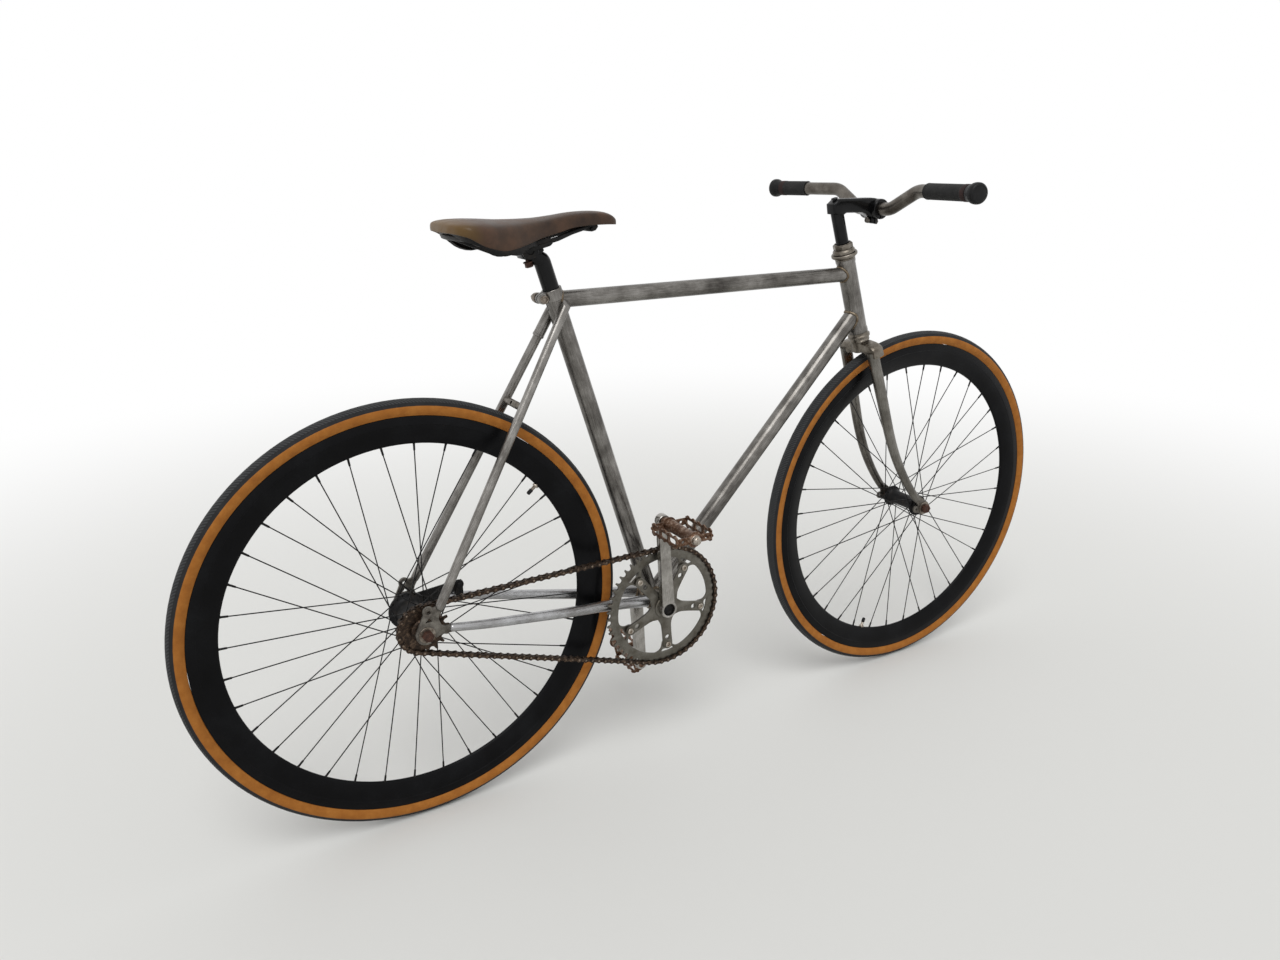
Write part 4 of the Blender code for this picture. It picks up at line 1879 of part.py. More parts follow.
def build_saddle_clamp():
    """A block that grips both rails in bores along its length."""
    half_height = 0.0065
    frame = rail_frame()
    clamp = box("saddle_clamp", (CRADLE_LENGTH, 2 * (RAIL_Y + 0.0048), 2 * half_height), frame)
    bevel = clamp.modifiers.new("Cast edges", "BEVEL")
    bevel.width = 0.0025
    bevel.segments = 1
    ends = (-CRADLE_LENGTH, CRADLE_LENGTH)
    for side in (-1, 1):
        start, end = (frame @ Vector((x, side * RAIL_Y, 0)) for x in ends)
        cut(clamp, cylinder("rail_groove_%d" % side, RAIL_RADIUS + GAP, start, end, 10))
    below = frame @ Vector((-CRADLE_BOLT_BACK, 0, -0.03))
    above = frame @ Vector((-CRADLE_BOLT_BACK, 0, 0.03))
    cut(clamp, cylinder("clamp_bolt_hole", CRADLE_BOLT_RADIUS + GAP, below, above, 10))
    make_part(clamp, "black_steel", seatpost_pivot)

    def place(height):
        return frame @ Vector((-CRADLE_BOLT_BACK, 0, height))

    bolt = cylinder("saddle_clamp_bolt", CRADLE_BOLT_RADIUS, place(-0.0280), place(0.0105), 10)
    nut = cylinder("clamp_nut", 0.0065, place(half_height + GAP), place(0.0115), 6)
    head = cylinder("clamp_bolt_head", 0.0062, place(-0.0310), place(-0.0240), 6)
    make_part(join(bolt, nut, head), "rusty_steel", seatpost_pivot)


SADDLE_TOP_Z = CLUSTER.z + SADDLE_TOP
SADDLE_STATIONS = (
    # Share of the length from the tail, half width, and the drops of top and skirt as shares
    (0.000, 0.580, 0.169, 0.539),
    (0.018, 0.840, 0.085, 0.742),
    (0.064, 0.980, 0.027, 0.876),
    (0.140, 1.000, 0.000, 0.966),
    (0.230, 0.900, 0.009, 1.000),
    (0.330, 0.750, 0.054, 0.944),
    (0.420, 0.585, 0.067, 0.854),
    (0.520, 0.435, 0.063, 0.742),
    (0.620, 0.345, 0.009, 0.618),
    (0.720, 0.292, -0.063, 0.528),
    (0.830, 0.270, -0.090, 0.461),
    (0.920, 0.252, -0.045, 0.472),
    (0.970, 0.205, 0.067, 0.449),
    (1.000, 0.120, 0.225, 0.416),
)
SADDLE_SECTION = (
    # Half width and drop from the top to the skirt, as shares, from the skirt's edge to the middle
    (0.985, 1.00),
    (1.000, 0.55),
    (0.940, 0.26),
    (0.700, 0.08),
    (0.350, 0.01),
    (0.0, 0.0),
)


def build_saddle_cover():
    """The leather top: a saddle form lofted through stations from the tail to the nose."""
    built = bmesh.new()
    rows = []
    for share, wide, top, skirt in SADDLE_STATIONS:
        x = CRADLE.x - SADDLE_SETBACK + CRADLE_SETBACK + SADDLE_LENGTH * share
        high = SADDLE_TOP_Z - SADDLE_DEPTH * top
        low = SADDLE_TOP_Z - SADDLE_DEPTH * skirt
        half = [(w * wide * SADDLE_WIDTH / 2, high + (low - high) * drop) for w, drop in SADDLE_SECTION]
        section = [(-y, z) for y, z in half] + [(y, z) for y, z in reversed(half[:-1])]
        rows.append([built.verts.new((x, y, z)) for y, z in section])
    for here, ahead in zip(rows, rows[1:]):
        for i in range(len(here) - 1):
            built.faces.new((here[i], ahead[i], ahead[i + 1], here[i + 1]))
    for end in (rows[0], rows[-1]):
        built.faces.new(end)
    bmesh.ops.recalc_face_normals(built, faces=built.faces)
    mesh = bpy.data.meshes.new("saddle_cover")
    built.to_mesh(mesh)
    built.free()
    cover = add_object("saddle_cover", mesh)
    shell = cover.modifiers.new("Leather", "SOLIDIFY")
    shell.thickness = SADDLE_WALL
    shell.offset = -1
    make_part(cover, "leather", seatpost_pivot)


def build_rails():
    """Both rails in one bent wire, joined behind the nose, with the rear ends under the cantle."""
    frame = rail_frame()

    def under_top(ahead, y, drop):
        return Vector((CRADLE.x + ahead, y, SADDLE_TOP_Z - drop))

    half = [
        under_top(-CANTLE_BEHIND, CANTLE_HALF_WIDTH, CANTLE_DROP),
        under_top(-RAIL_BEND_BEHIND, RAIL_BEND_Y, RAIL_BEND_DROP),
        frame @ Vector((-RAIL_FLAT_BEHIND, RAIL_Y, 0)),
        frame @ Vector((RAIL_FLAT_AHEAD, RAIL_Y, 0)),
        under_top(RAIL_NECK_AHEAD, RAIL_NECK_Y, RAIL_NECK_DROP),
        under_top(RAIL_NOSE_AHEAD, RAIL_NOSE_Y, RAIL_NOSE_DROP),
    ]
    path = half + [mirrored(p, -1) for p in reversed(half)]
    path = filleted(path[:6], 0.020, 1) + filleted(path[6:], 0.020, 1)
    rails = tube("saddle_rails", path, RAIL_RADIUS, 6)
    cantle = []
    for step in range(-3, 4):
        bow = CANTLE_BOW * (1 - (step / 3) ** 2)
        y = (CANTLE_HALF_WIDTH + CANTLE_RADIUS) * step / 3
        cantle.append(under_top(-CANTLE_BEHIND - bow, y, CANTLE_DROP))
    join(rails, tube("cantle_wire", cantle, CANTLE_RADIUS, 6))
    make_part(rails, "black_steel", seatpost_pivot)


build_seatpost()
build_saddle_clamp()
build_saddle_cover()
build_rails()
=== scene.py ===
import math

import bpy
from mathutils import Matrix, Vector


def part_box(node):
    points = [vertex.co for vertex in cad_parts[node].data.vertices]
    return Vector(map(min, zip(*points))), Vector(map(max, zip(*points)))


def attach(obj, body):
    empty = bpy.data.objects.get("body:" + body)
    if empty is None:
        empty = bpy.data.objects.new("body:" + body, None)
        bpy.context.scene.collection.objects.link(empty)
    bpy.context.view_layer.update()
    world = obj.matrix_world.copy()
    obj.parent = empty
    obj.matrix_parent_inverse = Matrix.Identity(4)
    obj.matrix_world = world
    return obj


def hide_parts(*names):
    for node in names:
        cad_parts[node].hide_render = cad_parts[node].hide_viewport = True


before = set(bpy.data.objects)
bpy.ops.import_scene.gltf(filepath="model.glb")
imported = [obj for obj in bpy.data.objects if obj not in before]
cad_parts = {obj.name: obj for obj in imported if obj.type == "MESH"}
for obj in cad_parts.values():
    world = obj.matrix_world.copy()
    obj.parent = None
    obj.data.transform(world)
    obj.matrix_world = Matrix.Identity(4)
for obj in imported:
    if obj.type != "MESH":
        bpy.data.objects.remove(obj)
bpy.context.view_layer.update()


# Places and sizes, in metres, from the frame

def middle_of(name):
    """The middle of a CAD node's box."""
    corners = [Vector(corner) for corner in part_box(name)]
    return sum(corners, Vector()) / len(corners)


SIDES = (("right", -1), ("left", 1))
FRONT_AXLE = middle_of("front_tyre")
REAR_AXLE = middle_of("rear_tyre")
BRACKET = middle_of("bottom_bracket_shell")
WHEEL_RADIUS = FRONT_AXLE.z
LEAN = math.radians(73.0)
UP = Vector((-math.cos(LEAN), 0, math.sin(LEAN)))
AHEAD = Vector((math.sin(LEAN), 0, math.cos(LEAN)))
BACK = -AHEAD
ACROSS = Vector((0, 1, 0))
FORWARD = Vector((1, 0, 0))
RAKE = 0.040
AXLE_DEPTH = WHEEL_RADIUS + 0.0432
HEAD_LENGTH = 0.138
HEAD_BOTTOM = FRONT_AXLE + UP * AXLE_DEPTH - AHEAD * RAKE
HEAD_TOP = HEAD_BOTTOM + UP * HEAD_LENGTH
HEAD = HEAD_TOP - UP * 0.029  # where the top tube's axis meets the head tube's
DOWN_TUBE_TOP = HEAD_BOTTOM + UP * 0.037
CLUSTER = HEAD - FORWARD * 0.570  # where it meets the seat tube's
SEAT_TUBE_TOP = CLUSTER + UP * 0.0175

HEAD_RADIUS = 0.0165
TOP_RADIUS = 0.0127
DOWN_RADIUS = 0.0143
SEAT_RADIUS = 0.0143
SHELL_RADIUS = 0.0200
SHELL_HALF = 0.0340
STEERER_RADIUS = 0.0127
WALL_BITE = 0.0007  # how far a mitred end reaches into the wall it is brazed to

RIM_RADIUS = WHEEL_RADIUS - 0.0237
RIM_DEPTH = 0.0425
RIM_FOOT = RIM_RADIUS - RIM_DEPTH
RIM_HALF = 0.0100
SPOKES = 36
WHEEL_STEPS = 144


def shifted(points, out=0.0, up=0.0):
    """Points moved outward and up by these lengths."""
    return [(out + x, up + y) for x, y in points]


def flipped(points):
    """The mirror image of an outline's half, in the order that closes it."""
    return [(x, -y) for x, y in reversed(points)]


def outward(angle):
    """The direction at an angle in the bicycle's own plane, from forward towards up."""
    return Vector((math.cos(angle), 0, math.sin(angle)))


# Making pieces by hand

def nothing_selected():
    """Leaves edit mode and deselects every object."""
    if bpy.context.object and bpy.context.object.mode != "OBJECT":
        bpy.ops.object.mode_set(mode="OBJECT")
    bpy.ops.object.select_all(action="DESELECT")


def only(piece):
    """Selects one piece and makes it the active one."""
    nothing_selected()
    piece.select_set(True)
    bpy.context.view_layer.objects.active = piece
    return piece


def edit_all(piece):
    """Opens a piece in edit mode with its whole mesh selected."""
    only(piece)
    bpy.ops.object.mode_set(mode="EDIT")
    bpy.ops.mesh.select_all(action="SELECT")


def discard(*pieces):
    """Deletes models and cutters that are no longer needed."""
    for piece in pieces:
        bpy.data.objects.remove(piece)


def named(name):
    """Names the primitive that was just added."""
    piece = bpy.context.object
    piece.name = name
    piece.data.name = name
    return piece


def settled(piece, place=None, angle=35):
    """Closes a piece's mesh, turns its faces outwards, applies its place and shades it."""
    edit_all(piece)
    bpy.ops.mesh.remove_doubles(threshold=1e-6)
    bpy.ops.mesh.normals_make_consistent(inside=False)
    bpy.ops.object.mode_set(mode="OBJECT")
    if place is not None:
        piece.matrix_world = place
    bpy.ops.object.transform_apply(location=True, rotation=True, scale=True)
    bpy.ops.object.shade_smooth_by_angle(angle=math.radians(angle))
    return piece


def axes_place(origin, x, y, z):
    """A place at origin with these directions as its X, Y and Z."""
    place = Matrix((x, y, z)).transposed().to_4x4()
    place.translation = Vector(origin)
    return place


def along(origin, direction, across=ACROSS):
    """A place at origin whose Z runs along direction and whose Y is near the vector across."""
    z = Vector(direction).normalized()
    y = across - z * z.dot(across)
    if y.length < 1e-6:
        y = FORWARD - z * z.x
    y.normalize()
    return axes_place(origin, y.cross(z), y, z)


def side_place(origin):
    """A place whose X is forward, whose Y is up and whose Z points to the right-hand side."""
    return axes_place(origin, (1, 0, 0), (0, 0, 1), (0, -1, 0))


def lathe(name, outline, origin, direction, steps=48):
    """Spins an outline of (radius, height) points about the line through origin. One that starts
    on the line ends on it too, and any other is closed on itself."""
    nothing_selected()
    bpy.ops.mesh.primitive_plane_add(size=0.01)
    piece = named(name)
    bpy.ops.object.mode_set(mode="EDIT")
    bpy.ops.mesh.merge(type="CENTER")
    bpy.ops.transform.translate(value=(outline[0][0], 0, outline[0][1]))
    stops = outline + outline[:1] if outline[0][0] else outline
    for here, ahead in zip(stops, stops[1:]):
        step = (ahead[0] - here[0], 0, ahead[1] - here[1])
        bpy.ops.mesh.extrude_vertices_move(TRANSFORM_OT_translate={"value": step})
    bpy.ops.mesh.select_all(action="SELECT")
    bpy.ops.mesh.spin(steps=steps, angle=2 * math.pi, center=(0, 0, 0), axis=(0, 0, 1))
    return settled(piece, along(origin, direction))


def bar(name, start, end, radius, sides=32, chamfer=0.0005, dish=0.0):
    """A round bar or, with few sides, a prism, whose rims are chamfered and whose ends may be dished."""
    start, end = Vector(start), Vector(end)
    nothing_selected()
    bpy.ops.mesh.primitive_cylinder_add(vertices=sides, radius=radius, depth=(end - start).length)
    piece = named(name)
    bpy.ops.object.mode_set(mode="EDIT")
    bpy.ops.mesh.select_mode(type="FACE")
    bpy.ops.mesh.select_all(action="DESELECT")
    bpy.ops.object.mode_set(mode="OBJECT")
    for face in piece.data.polygons:
        face.select = abs(face.normal.z) > 0.9
    bpy.ops.object.mode_set(mode="EDIT")
    if dish:
        bpy.ops.mesh.inset(thickness=radius * 0.35, depth=0, use_individual=True)
        bpy.ops.mesh.extrude_region_shrink_fatten(TRANSFORM_OT_shrink_fatten={"value": -dish})
        bpy.ops.mesh.select_mode(type="EDGE")
        bpy.ops.mesh.select_all(action="DESELECT")
        bpy.ops.object.mode_set(mode="OBJECT")
        for line in piece.data.edges:
            ends = [piece.data.vertices[i].co for i in line.vertices]
            flat = abs(ends[0].z - ends[1].z) < 1e-6
            line.select = flat and min(c.xy.length for c in ends) > radius * 0.9
        bpy.ops.object.mode_set(mode="EDIT")
    bpy.ops.mesh.bevel(offset=chamfer, segments=2, affect="EDGES")
    bpy.ops.mesh.select_mode(type="VERT")
    return settled(piece, along((start + end) / 2, end - start))


def block(name, place, size):
    """A box of this size, centred on a place."""
    nothing_selected()
    bpy.ops.mesh.primitive_cube_add(size=1)
    return settled(named(name), place @ Matrix.Diagonal((*size, 1)))


def curve_to_piece(name, curve, loops, closed, place, angle):
    """Gives a curve its loops of (x, y, z, radius) points and makes it a piece."""
    for loop in loops:
        spline = curve.splines.new("POLY")
        spline.points.add(len(loop) - 1)
        for point, (x, y, z, radius) in zip(spline.points, loop):
            point.co = (x, y, z, 1)
            point.radius = radius
        spline.use_cyclic_u = closed
    holder = bpy.data.objects.new(name, curve)
    bpy.context.scene.collection.objects.link(holder)
    only(holder)
    bpy.ops.object.convert(target="MESH")
    return settled(named(name), place, angle)


def flat_plate(name, loops, thickness, place, chamfer=0.0, rounds=1):
    """A flat plate with holes, centred on the place's XY plane; the first loop is its outside."""
    curve = bpy.data.curves.new(name, "CURVE")
    curve.dimensions = "2D"
    curve.fill_mode = "BOTH"
    curve.extrude = thickness / 2 - chamfer
    curve.bevel_depth = chamfer
    curve.bevel_resolution = rounds
    curve.offset = -chamfer
    return curve_to_piece(name, curve, [[(x, y, 0, 1) for x, y in loop] for loop in loops], True, place, 35)


def wire(name, path, radius, sides=12, closed=False):
    """A round wire or tube along a path. radius is one value, or one for each point."""
    radii = [radius] * len(path) if isinstance(radius, float) else radius
    curve = bpy.data.curves.new(name, "CURVE")
    curve.dimensions = "3D"
    curve.twist_mode = "MINIMUM"
    curve.bevel_depth = max(radii)
    curve.bevel_resolution = (sides - 4) // 2
    curve.use_fill_caps = not closed
    loop = [(*here, size / max(radii)) for here, size in zip(path, radii)]
    return curve_to_piece(name, curve, [loop], closed, Matrix(), 60)


def smooth_path(points, steps=8):
    """Points along a smooth curve through the given ones."""
    points = [Vector(p) for p in points]
    ends = [points[0] * 2 - points[1]] + points + [points[-1] * 2 - points[-2]]
    path = []
    for a, b, c, d in zip(ends, ends[1:], ends[2:], ends[3:]):
        for i in range(steps):
            t = i / steps
            square, cube = a * 2 - b * 5 + c * 4 - d, b * 3 - a - c * 3 + d
            path.append((b * 2 + (c - a) * t + square * t**2 + cube * t**3) / 2)
    return path + [points[-1]]


def rounded_path(points, radius, steps):
    """The path through points with each corner turned into an arc."""
    path = [Vector(points[0])]
    for before, corner, after in zip(points, points[1:], points[2:]):
        back, ahead = (before - corner).normalized(), (after - corner).normalized()
        half = back.angle(ahead) / 2
        first, last = (corner + way * (radius / math.tan(half)) for way in (back, ahead))
        centre = corner + (back + ahead).normalized() * (radius / math.sin(half))
        for i in range(steps + 1):
            path.append(centre + (first.lerp(last, i / steps) - centre).normalized() * radius)
    return path + [Vector(points[-1])]


def across_mirrored(path):
    """A path's mirror image on the other side of the bicycle, in reverse order."""
    return [Vector((p.x, -p.y, p.z)) for p in reversed(path)]


def arc(centre, radius, first, last, count):
    """Points from the angle first to the angle last, in degrees."""
    step = math.radians(last - first) / (count - 1)
    angles = [math.radians(first) + step * i for i in range(count)]
    return [(centre[0] + radius * math.cos(a), centre[1] + radius * math.sin(a)) for a in angles]


def circle(radius, count=32, centre=(0, 0)):
    """A closed loop of count points."""
    return arc(centre, radius, 0, 360, count + 1)[:-1]


def around(points, angle):
    """Points given outward and sideways, turned so that outward lies at angle."""
    c, s = math.cos(angle), math.sin(angle)
    return [(r * c - t * s, r * s + t * c) for r, t in points]


def copied(piece, name, place):
    """A copy of a piece with a mesh of its own, moved by a place."""
    twin = piece.copy()
    twin.data = piece.data.copy()
    twin.name = name
    twin.data.name = name
    bpy.context.scene.collection.objects.link(twin)
    only(twin)
    twin.matrix_world = place
    bpy.ops.object.transform_apply(location=True, rotation=True, scale=True)
    return twin


def joined(name, pieces):
    """Several pieces as one."""
    nothing_selected()
    for piece in pieces:
        piece.select_set(True)
    bpy.context.view_layer.objects.active = pieces[0]
    if len(pieces) > 1:
        bpy.ops.object.join()
    return named(name)


def modified(piece, kind, **settings):
    """Adds a modifier and applies it."""
    only(piece)
    modifier = piece.modifiers.new(kind, kind)
    for key, value in settings.items():
        setattr(modifier, key, value)
    bpy.ops.object.modifier_apply(modifier=modifier.name)
    return piece


def drilled(piece, cutters):
    """Cuts the cutters' shapes out of a piece and shades the new edges."""
    cutter = joined("cutter", cutters)
    modified(piece, "BOOLEAN", operation="DIFFERENCE", object=cutter)
    discard(cutter)
    return settled(piece)


def coat(piece, *materials):
    """Gives a piece its materials."""
    piece.data.materials.clear()
    for material in materials:
        piece.data.materials.append(material)
    return piece


def hang(piece, slot, body, *nodes):
    """Lets a piece ride its body in place of its CAD nodes. Its slot is not used."""
    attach(piece, body)
    if nodes:
        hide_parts(*nodes)
    return piece


def finish(piece, material, slot, body, *nodes):
    """Coats a piece in one material and hangs it on its body."""
    return hang(coat(piece, material), slot, body, *nodes)


# Materials

def linear(hex_colour):
    """An sRGB hex colour as linear RGBA."""
    channels = [int(hex_colour[i : i + 2], 16) / 255 for i in (0, 2, 4)]
    return [c / 12.92 if c <= 0.04045 else ((c + 0.055) / 1.055) ** 2.4 for c in channels] + [1.0]


def feed(tree, node, inputs):
    """Sets a node's inputs, each to a value, a socket or the first output of another node."""
    for key, value in inputs.items():
        if isinstance(value, bpy.types.Node):
            value = value.outputs[0]
        if isinstance(value, bpy.types.NodeSocket):
            tree.links.new(value, node.inputs[key])
        else:
            node.inputs[key].default_value = value


def add(tree, kind, inputs=None, stops=(), **settings):
    """Adds a node with its settings and links, and a ramp's stops of (position, hex colour or grey)."""
    new = tree.nodes.new(kind)
    for key, value in settings.items():
        setattr(new, key, value)
    feed(tree, new, inputs or {})
    for _ in stops[2:]:
        new.color_ramp.elements.new(0.5)
    for element, (position, value) in zip(new.color_ramp.elements if stops else (), stops):
        element.position = position
        element.color = linear(value) if isinstance(value, str) else (value, value, value, 1)
    return new


def new_material(name):
    """A new material with its node tree, its shader and the Object coordinates of its piece."""
    material = bpy.data.materials.new(name)
    material.use_nodes = True
    tree = material.node_tree
    place = add(tree, "ShaderNodeTexCoord").outputs["Object"]
    return material, tree, tree.nodes["Principled BSDF"], place


def worn_metal(name, colours, metallic, roughness, grain_mm, patch_mm, bump_mm, brush=None, shine=0.5):
    """A surface with patches of three colours at patch_mm, a finer mottle at grain_mm, and scratches
    drawn out along the direction of brush, which is a pair of a turn in degrees and a stretch."""
    material, tree, shader, place = new_material(name)
    turn, stretch = brush or (0.0, 1.0)
    patches = add(tree, "ShaderNodeTexNoise", {
        "Vector": place, "Scale": 1000 / patch_mm, "Detail": 5.0, "Roughness": 0.62,
    })
    mapped = add(tree, "ShaderNodeMapping", {
        "Vector": place, "Rotation": (0, -math.radians(turn), 0), "Scale": (stretch, 1, 1),
    }, vector_type="TEXTURE")
    grain = add(tree, "ShaderNodeTexNoise", {
        "Vector": mapped, "Scale": 1000 / grain_mm, "Detail": 4.0, "Roughness": 0.6,
    })
    mixed = add(tree, "ShaderNodeMix", {"Factor": 0.38, "A": patches, "B": grain}, data_type="FLOAT")
    tones = list(zip((0.34, 0.50, 0.66), colours))
    polish = list(zip((0.30, 0.70), roughness))
    feed(tree, shader, {
        "Metallic": metallic,
        "Specular IOR Level": shine,
        "Base Color": add(tree, "ShaderNodeValToRGB", {"Fac": mixed}, tones),
        "Roughness": add(tree, "ShaderNodeValToRGB", {"Fac": grain}, polish),
        "Normal": add(tree, "ShaderNodeBump", {"Height": grain, "Distance": bump_mm / 1000, "Strength": 0.6}),
    })
    return material


def raw_steel(name, turn, colours=("3b3835", "6a6763", "96938f")):
    """Bare mild steel tube, stripped and brushed by hand: mid grey with faint brown-grey clouds of
    old flux, under fine scratches that run along the tube at the angle turn. Real scratches are
    0.1 mm apart; they are drawn at 0.8 mm to show."""
    return worn_metal(
        name, colours, metallic=0.9, roughness=(0.20, 0.38), grain_mm=0.8, patch_mm=55.0, bump_mm=0.06,
        brush=(turn, 26.0),
    )


def rubber(name, colours, grain_mm, bump_mm):
    """Moulded rubber, matt, with a pebble grain and dust lying in it."""
    return worn_metal(
        name, colours, metallic=0.0, roughness=(0.62, 0.86), grain_mm=grain_mm, patch_mm=16.0,
        bump_mm=bump_mm, shine=0.3,
    )


def saddle_leather():
    """Thick vegetable-tanned hide, years in use: mid brown, paler and smoother where the rider sits,
    worn to ochre at the tail and dark at the skirt's edge, under a fine pore grain of 1 mm."""
    material, tree, shader, place = new_material("worn_saddle_leather")
    clouds = add(tree, "ShaderNodeTexNoise", {
        "Vector": place, "Scale": 26.0, "Detail": 6.0, "Roughness": 0.6,
    })
    hide = add(tree, "ShaderNodeValToRGB", {"Fac": clouds}, [
        (0.30, "2a1c13"), (0.48, "3d2b1e"), (0.66, "50392a"),
    ])
    parts = add(tree, "ShaderNodeSeparateXYZ", {"Vector": place})
    uneven = add(tree, "ShaderNodeMath", {0: clouds, 1: 0.050, 2: parts}, operation="MULTIPLY_ADD")
    tail = add(tree, "ShaderNodeMapRange", {
        "Value": uneven, "From Min": SADDLE_TAIL + 0.028, "From Max": SADDLE_TAIL + 0.066,
        "To Min": 0.62, "To Max": 0.0,
    })
    worn = add(tree, "ShaderNodeMix", {"Factor": tail, "A": hide, "B": linear("6f5426")}, data_type="RGBA")
    pores = add(tree, "ShaderNodeTexVoronoi", {"Vector": place, "Scale": 900.0})
    feed(tree, shader, {
        "Specular IOR Level": 0.28,
        "Base Color": worn.outputs["Result"],
        "Roughness": add(tree, "ShaderNodeValToRGB", {"Fac": clouds}, [(0.35, 0.36), (0.65, 0.52)]),
        "Normal": add(tree, "ShaderNodeBump", {"Height": pores, "Distance": 0.0002, "Strength": 0.35}),
    })
    return material


def file_tread(name, axle):
    """Tread rubber with a fine file pattern: slanting grooves that meet at the crown, painted darker in the
    colour as painted shade in the grooves. Real grooves are 1.5 mm apart; they are drawn at 5 mm to show."""
    material, tree, shader, place = new_material(name)
    groove_gap = 0.005
    centred = add(tree, "ShaderNodeMapping", {"Vector": place, "Location": -axle})
    parts = add(tree, "ShaderNodeSeparateXYZ", {"Vector": centred}).outputs
    turn = add(tree, "ShaderNodeMath", {0: parts["Z"], 1: parts["X"]}, operation="ARCTAN2")
    side = add(tree, "ShaderNodeMath", {0: parts["Y"]}, operation="ABSOLUTE")
    slant = add(tree, "ShaderNodeMath", {0: turn, 1: WHEEL_RADIUS, 2: side}, operation="MULTIPLY_ADD")
    phase = add(tree, "ShaderNodeMath", {0: slant, 1: 2 * math.pi / groove_gap}, operation="MULTIPLY")
    wave = add(tree, "ShaderNodeMath", {0: phase}, operation="SINE")
    groove = add(tree, "ShaderNodeMapRange", {"Value": wave, "From Min": -0.7, "From Max": 0.3})
    dust = add(tree, "ShaderNodeTexNoise", {"Vector": place, "Scale": 40.0, "Detail": 5.0})
    # The grooves darken the colour as painted shade; the dust mixed in is real dust
    mixed = add(tree, "ShaderNodeMix", {"Factor": 0.30, "A": groove, "B": dust}, data_type="FLOAT")
    feed(tree, shader, {
        "Specular IOR Level": 0.3,
        "Base Color": add(tree, "ShaderNodeValToRGB", {"Fac": mixed}, [
            (0.10, "161718"), (0.60, "2b2c2e"), (0.95, "3a3b3c"),
        ]),
        "Roughness": add(tree, "ShaderNodeValToRGB", {"Fac": dust}, [(0.30, 0.60), (0.70, 0.84)]),
        "Normal": add(tree, "ShaderNodeBump", {"Height": groove, "Distance": 0.0004, "Strength": 0.7}),
    })
    return material


# Tubes: the same brushed steel with its scratches along each tube, rubbed bright on the chainstays, and drawn
# lighter on the seatstays as a painted highlight
UPRIGHT_STEEL = raw_steel("brushed_steel_upright", 107.0)
LEVEL_STEEL = raw_steel("brushed_steel_level", 0.0)
SLOPING_STEEL = raw_steel("brushed_steel_sloping", 46.6)
CHAINSTAY_STEEL = raw_steel("rubbed_steel_chainstay", -9.0, ("7c7a79", "a3a3a4", "c0c1c3"))
# The seatstays' steel is lighter than the other tubes' as a painted highlight
SEATSTAY_STEEL_PAINTED_HIGHLIGHT = raw_steel("brushed_steel_seatstay_painted_highlight", 59.8, ("524e4a", "7f7c78", "a5a29e"))
BLADE_STEEL = raw_steel("dull_steel_fork", 107.0, ("45413d", "68655f", "86837e"))
# Brass and steel fillets left by brazing, filed and stained brown
FLUX_STEEL = worn_metal(
    "brazed_fillet", ("4a3b2c", "6d6050", "8f8677"), metallic=1.0, roughness=(0.34, 0.55),
    grain_mm=1.1, patch_mm=8.0, bump_mm=0.3,
)
# Bare steel turned on a lathe and left to brown: warm grey with darker rings
TURNED_STEEL = worn_metal(
    "turned_steel", ("453e36", "716b62", "918b82"), metallic=1.0, roughness=(0.28, 0.46),
    grain_mm=1.0, patch_mm=14.0, bump_mm=0.1,
)
# Cast steel dropouts and fork tips: dull grey-brown with a grainy skin
CAST_STEEL = worn_metal(
    "cast_steel", ("423d37", "66625c", "858179"), metallic=0.9, roughness=(0.40, 0.58),
    grain_mm=1.1, patch_mm=10.0, bump_mm=0.2,
)
# Bare bar steel, brushed round: warmer and more even than the tubes
BAR_STEEL = worn_metal(
    "brushed_bar_steel", ("453f39", "65605a", "837e77"), metallic=1.0, roughness=(0.26, 0.42),
    grain_mm=0.8, patch_mm=30.0, bump_mm=0.06,
)
# Steel fixings with surface rust: dark red-brown, granular at about 1 mm, a few places still shining
RUSTED = worn_metal(
    "rusted_steel", ("20140f", "43291e", "684a3c"), metallic=0.45, roughness=(0.80, 0.48),
    grain_mm=1.0, patch_mm=7.0, bump_mm=0.3,
)
# Zinc plated steel, dulled: pale grey with darker stains in the corners
PLATED = worn_metal(
    "zinc_plated_steel", ("6d6a66", "a6a39d", "cbc8c2"), metallic=1.0, roughness=(0.24, 0.42),
    grain_mm=0.9, patch_mm=9.0, bump_mm=0.1,
)
# The same plating, stained brown by rust beside it
STAINED = worn_metal(
    "stained_plated_steel", ("4b4036", "7d746a", "a79f95"), metallic=0.9, roughness=(0.28, 0.46),
    grain_mm=0.9, patch_mm=6.0, bump_mm=0.1,
)
# Steel with worn black paint, and the same on the spokes: near black, brownish where the dirt sticks
BLACK_STEEL, SPOKE_STEEL = [
    worn_metal(
        name, ("0c0c0d", "151516", "2a2520"), metallic=0.2, roughness=(0.34, 0.60), grain_mm=1.2,
        patch_mm=11.0, bump_mm=0.2, shine=0.20,
    )
    for name in ("black_painted_steel", "black_spoke_steel")
]
# Black anodised aluminium, satin: deep black with a broad soft sheen and faint dust
ANODISED = worn_metal(
    "black_anodised_aluminium", ("070708", "0c0c0e", "151618"), metallic=0.75, roughness=(0.28, 0.38),
    grain_mm=1.5, patch_mm=60.0, bump_mm=0.04, shine=0.35,
)
# Cast aluminium, dulled by weather: mid grey, stained brown towards the middle
CAST = worn_metal(
    "cast_aluminium", ("4c463d", "66635c", "7f7c75"), metallic=1.0, roughness=(0.30, 0.46),
    grain_mm=0.8, patch_mm=22.0, bump_mm=0.1,
)
# Forged aluminium, polished once: bright, with fine grey wear along the arm
POLISHED = worn_metal(
    "polished_aluminium", ("78746f", "9a9792", "b9b6b1"), metallic=1.0, roughness=(0.14, 0.30),
    grain_mm=0.8, patch_mm=26.0, bump_mm=0.05, brush=(90.0, 18.0),
)
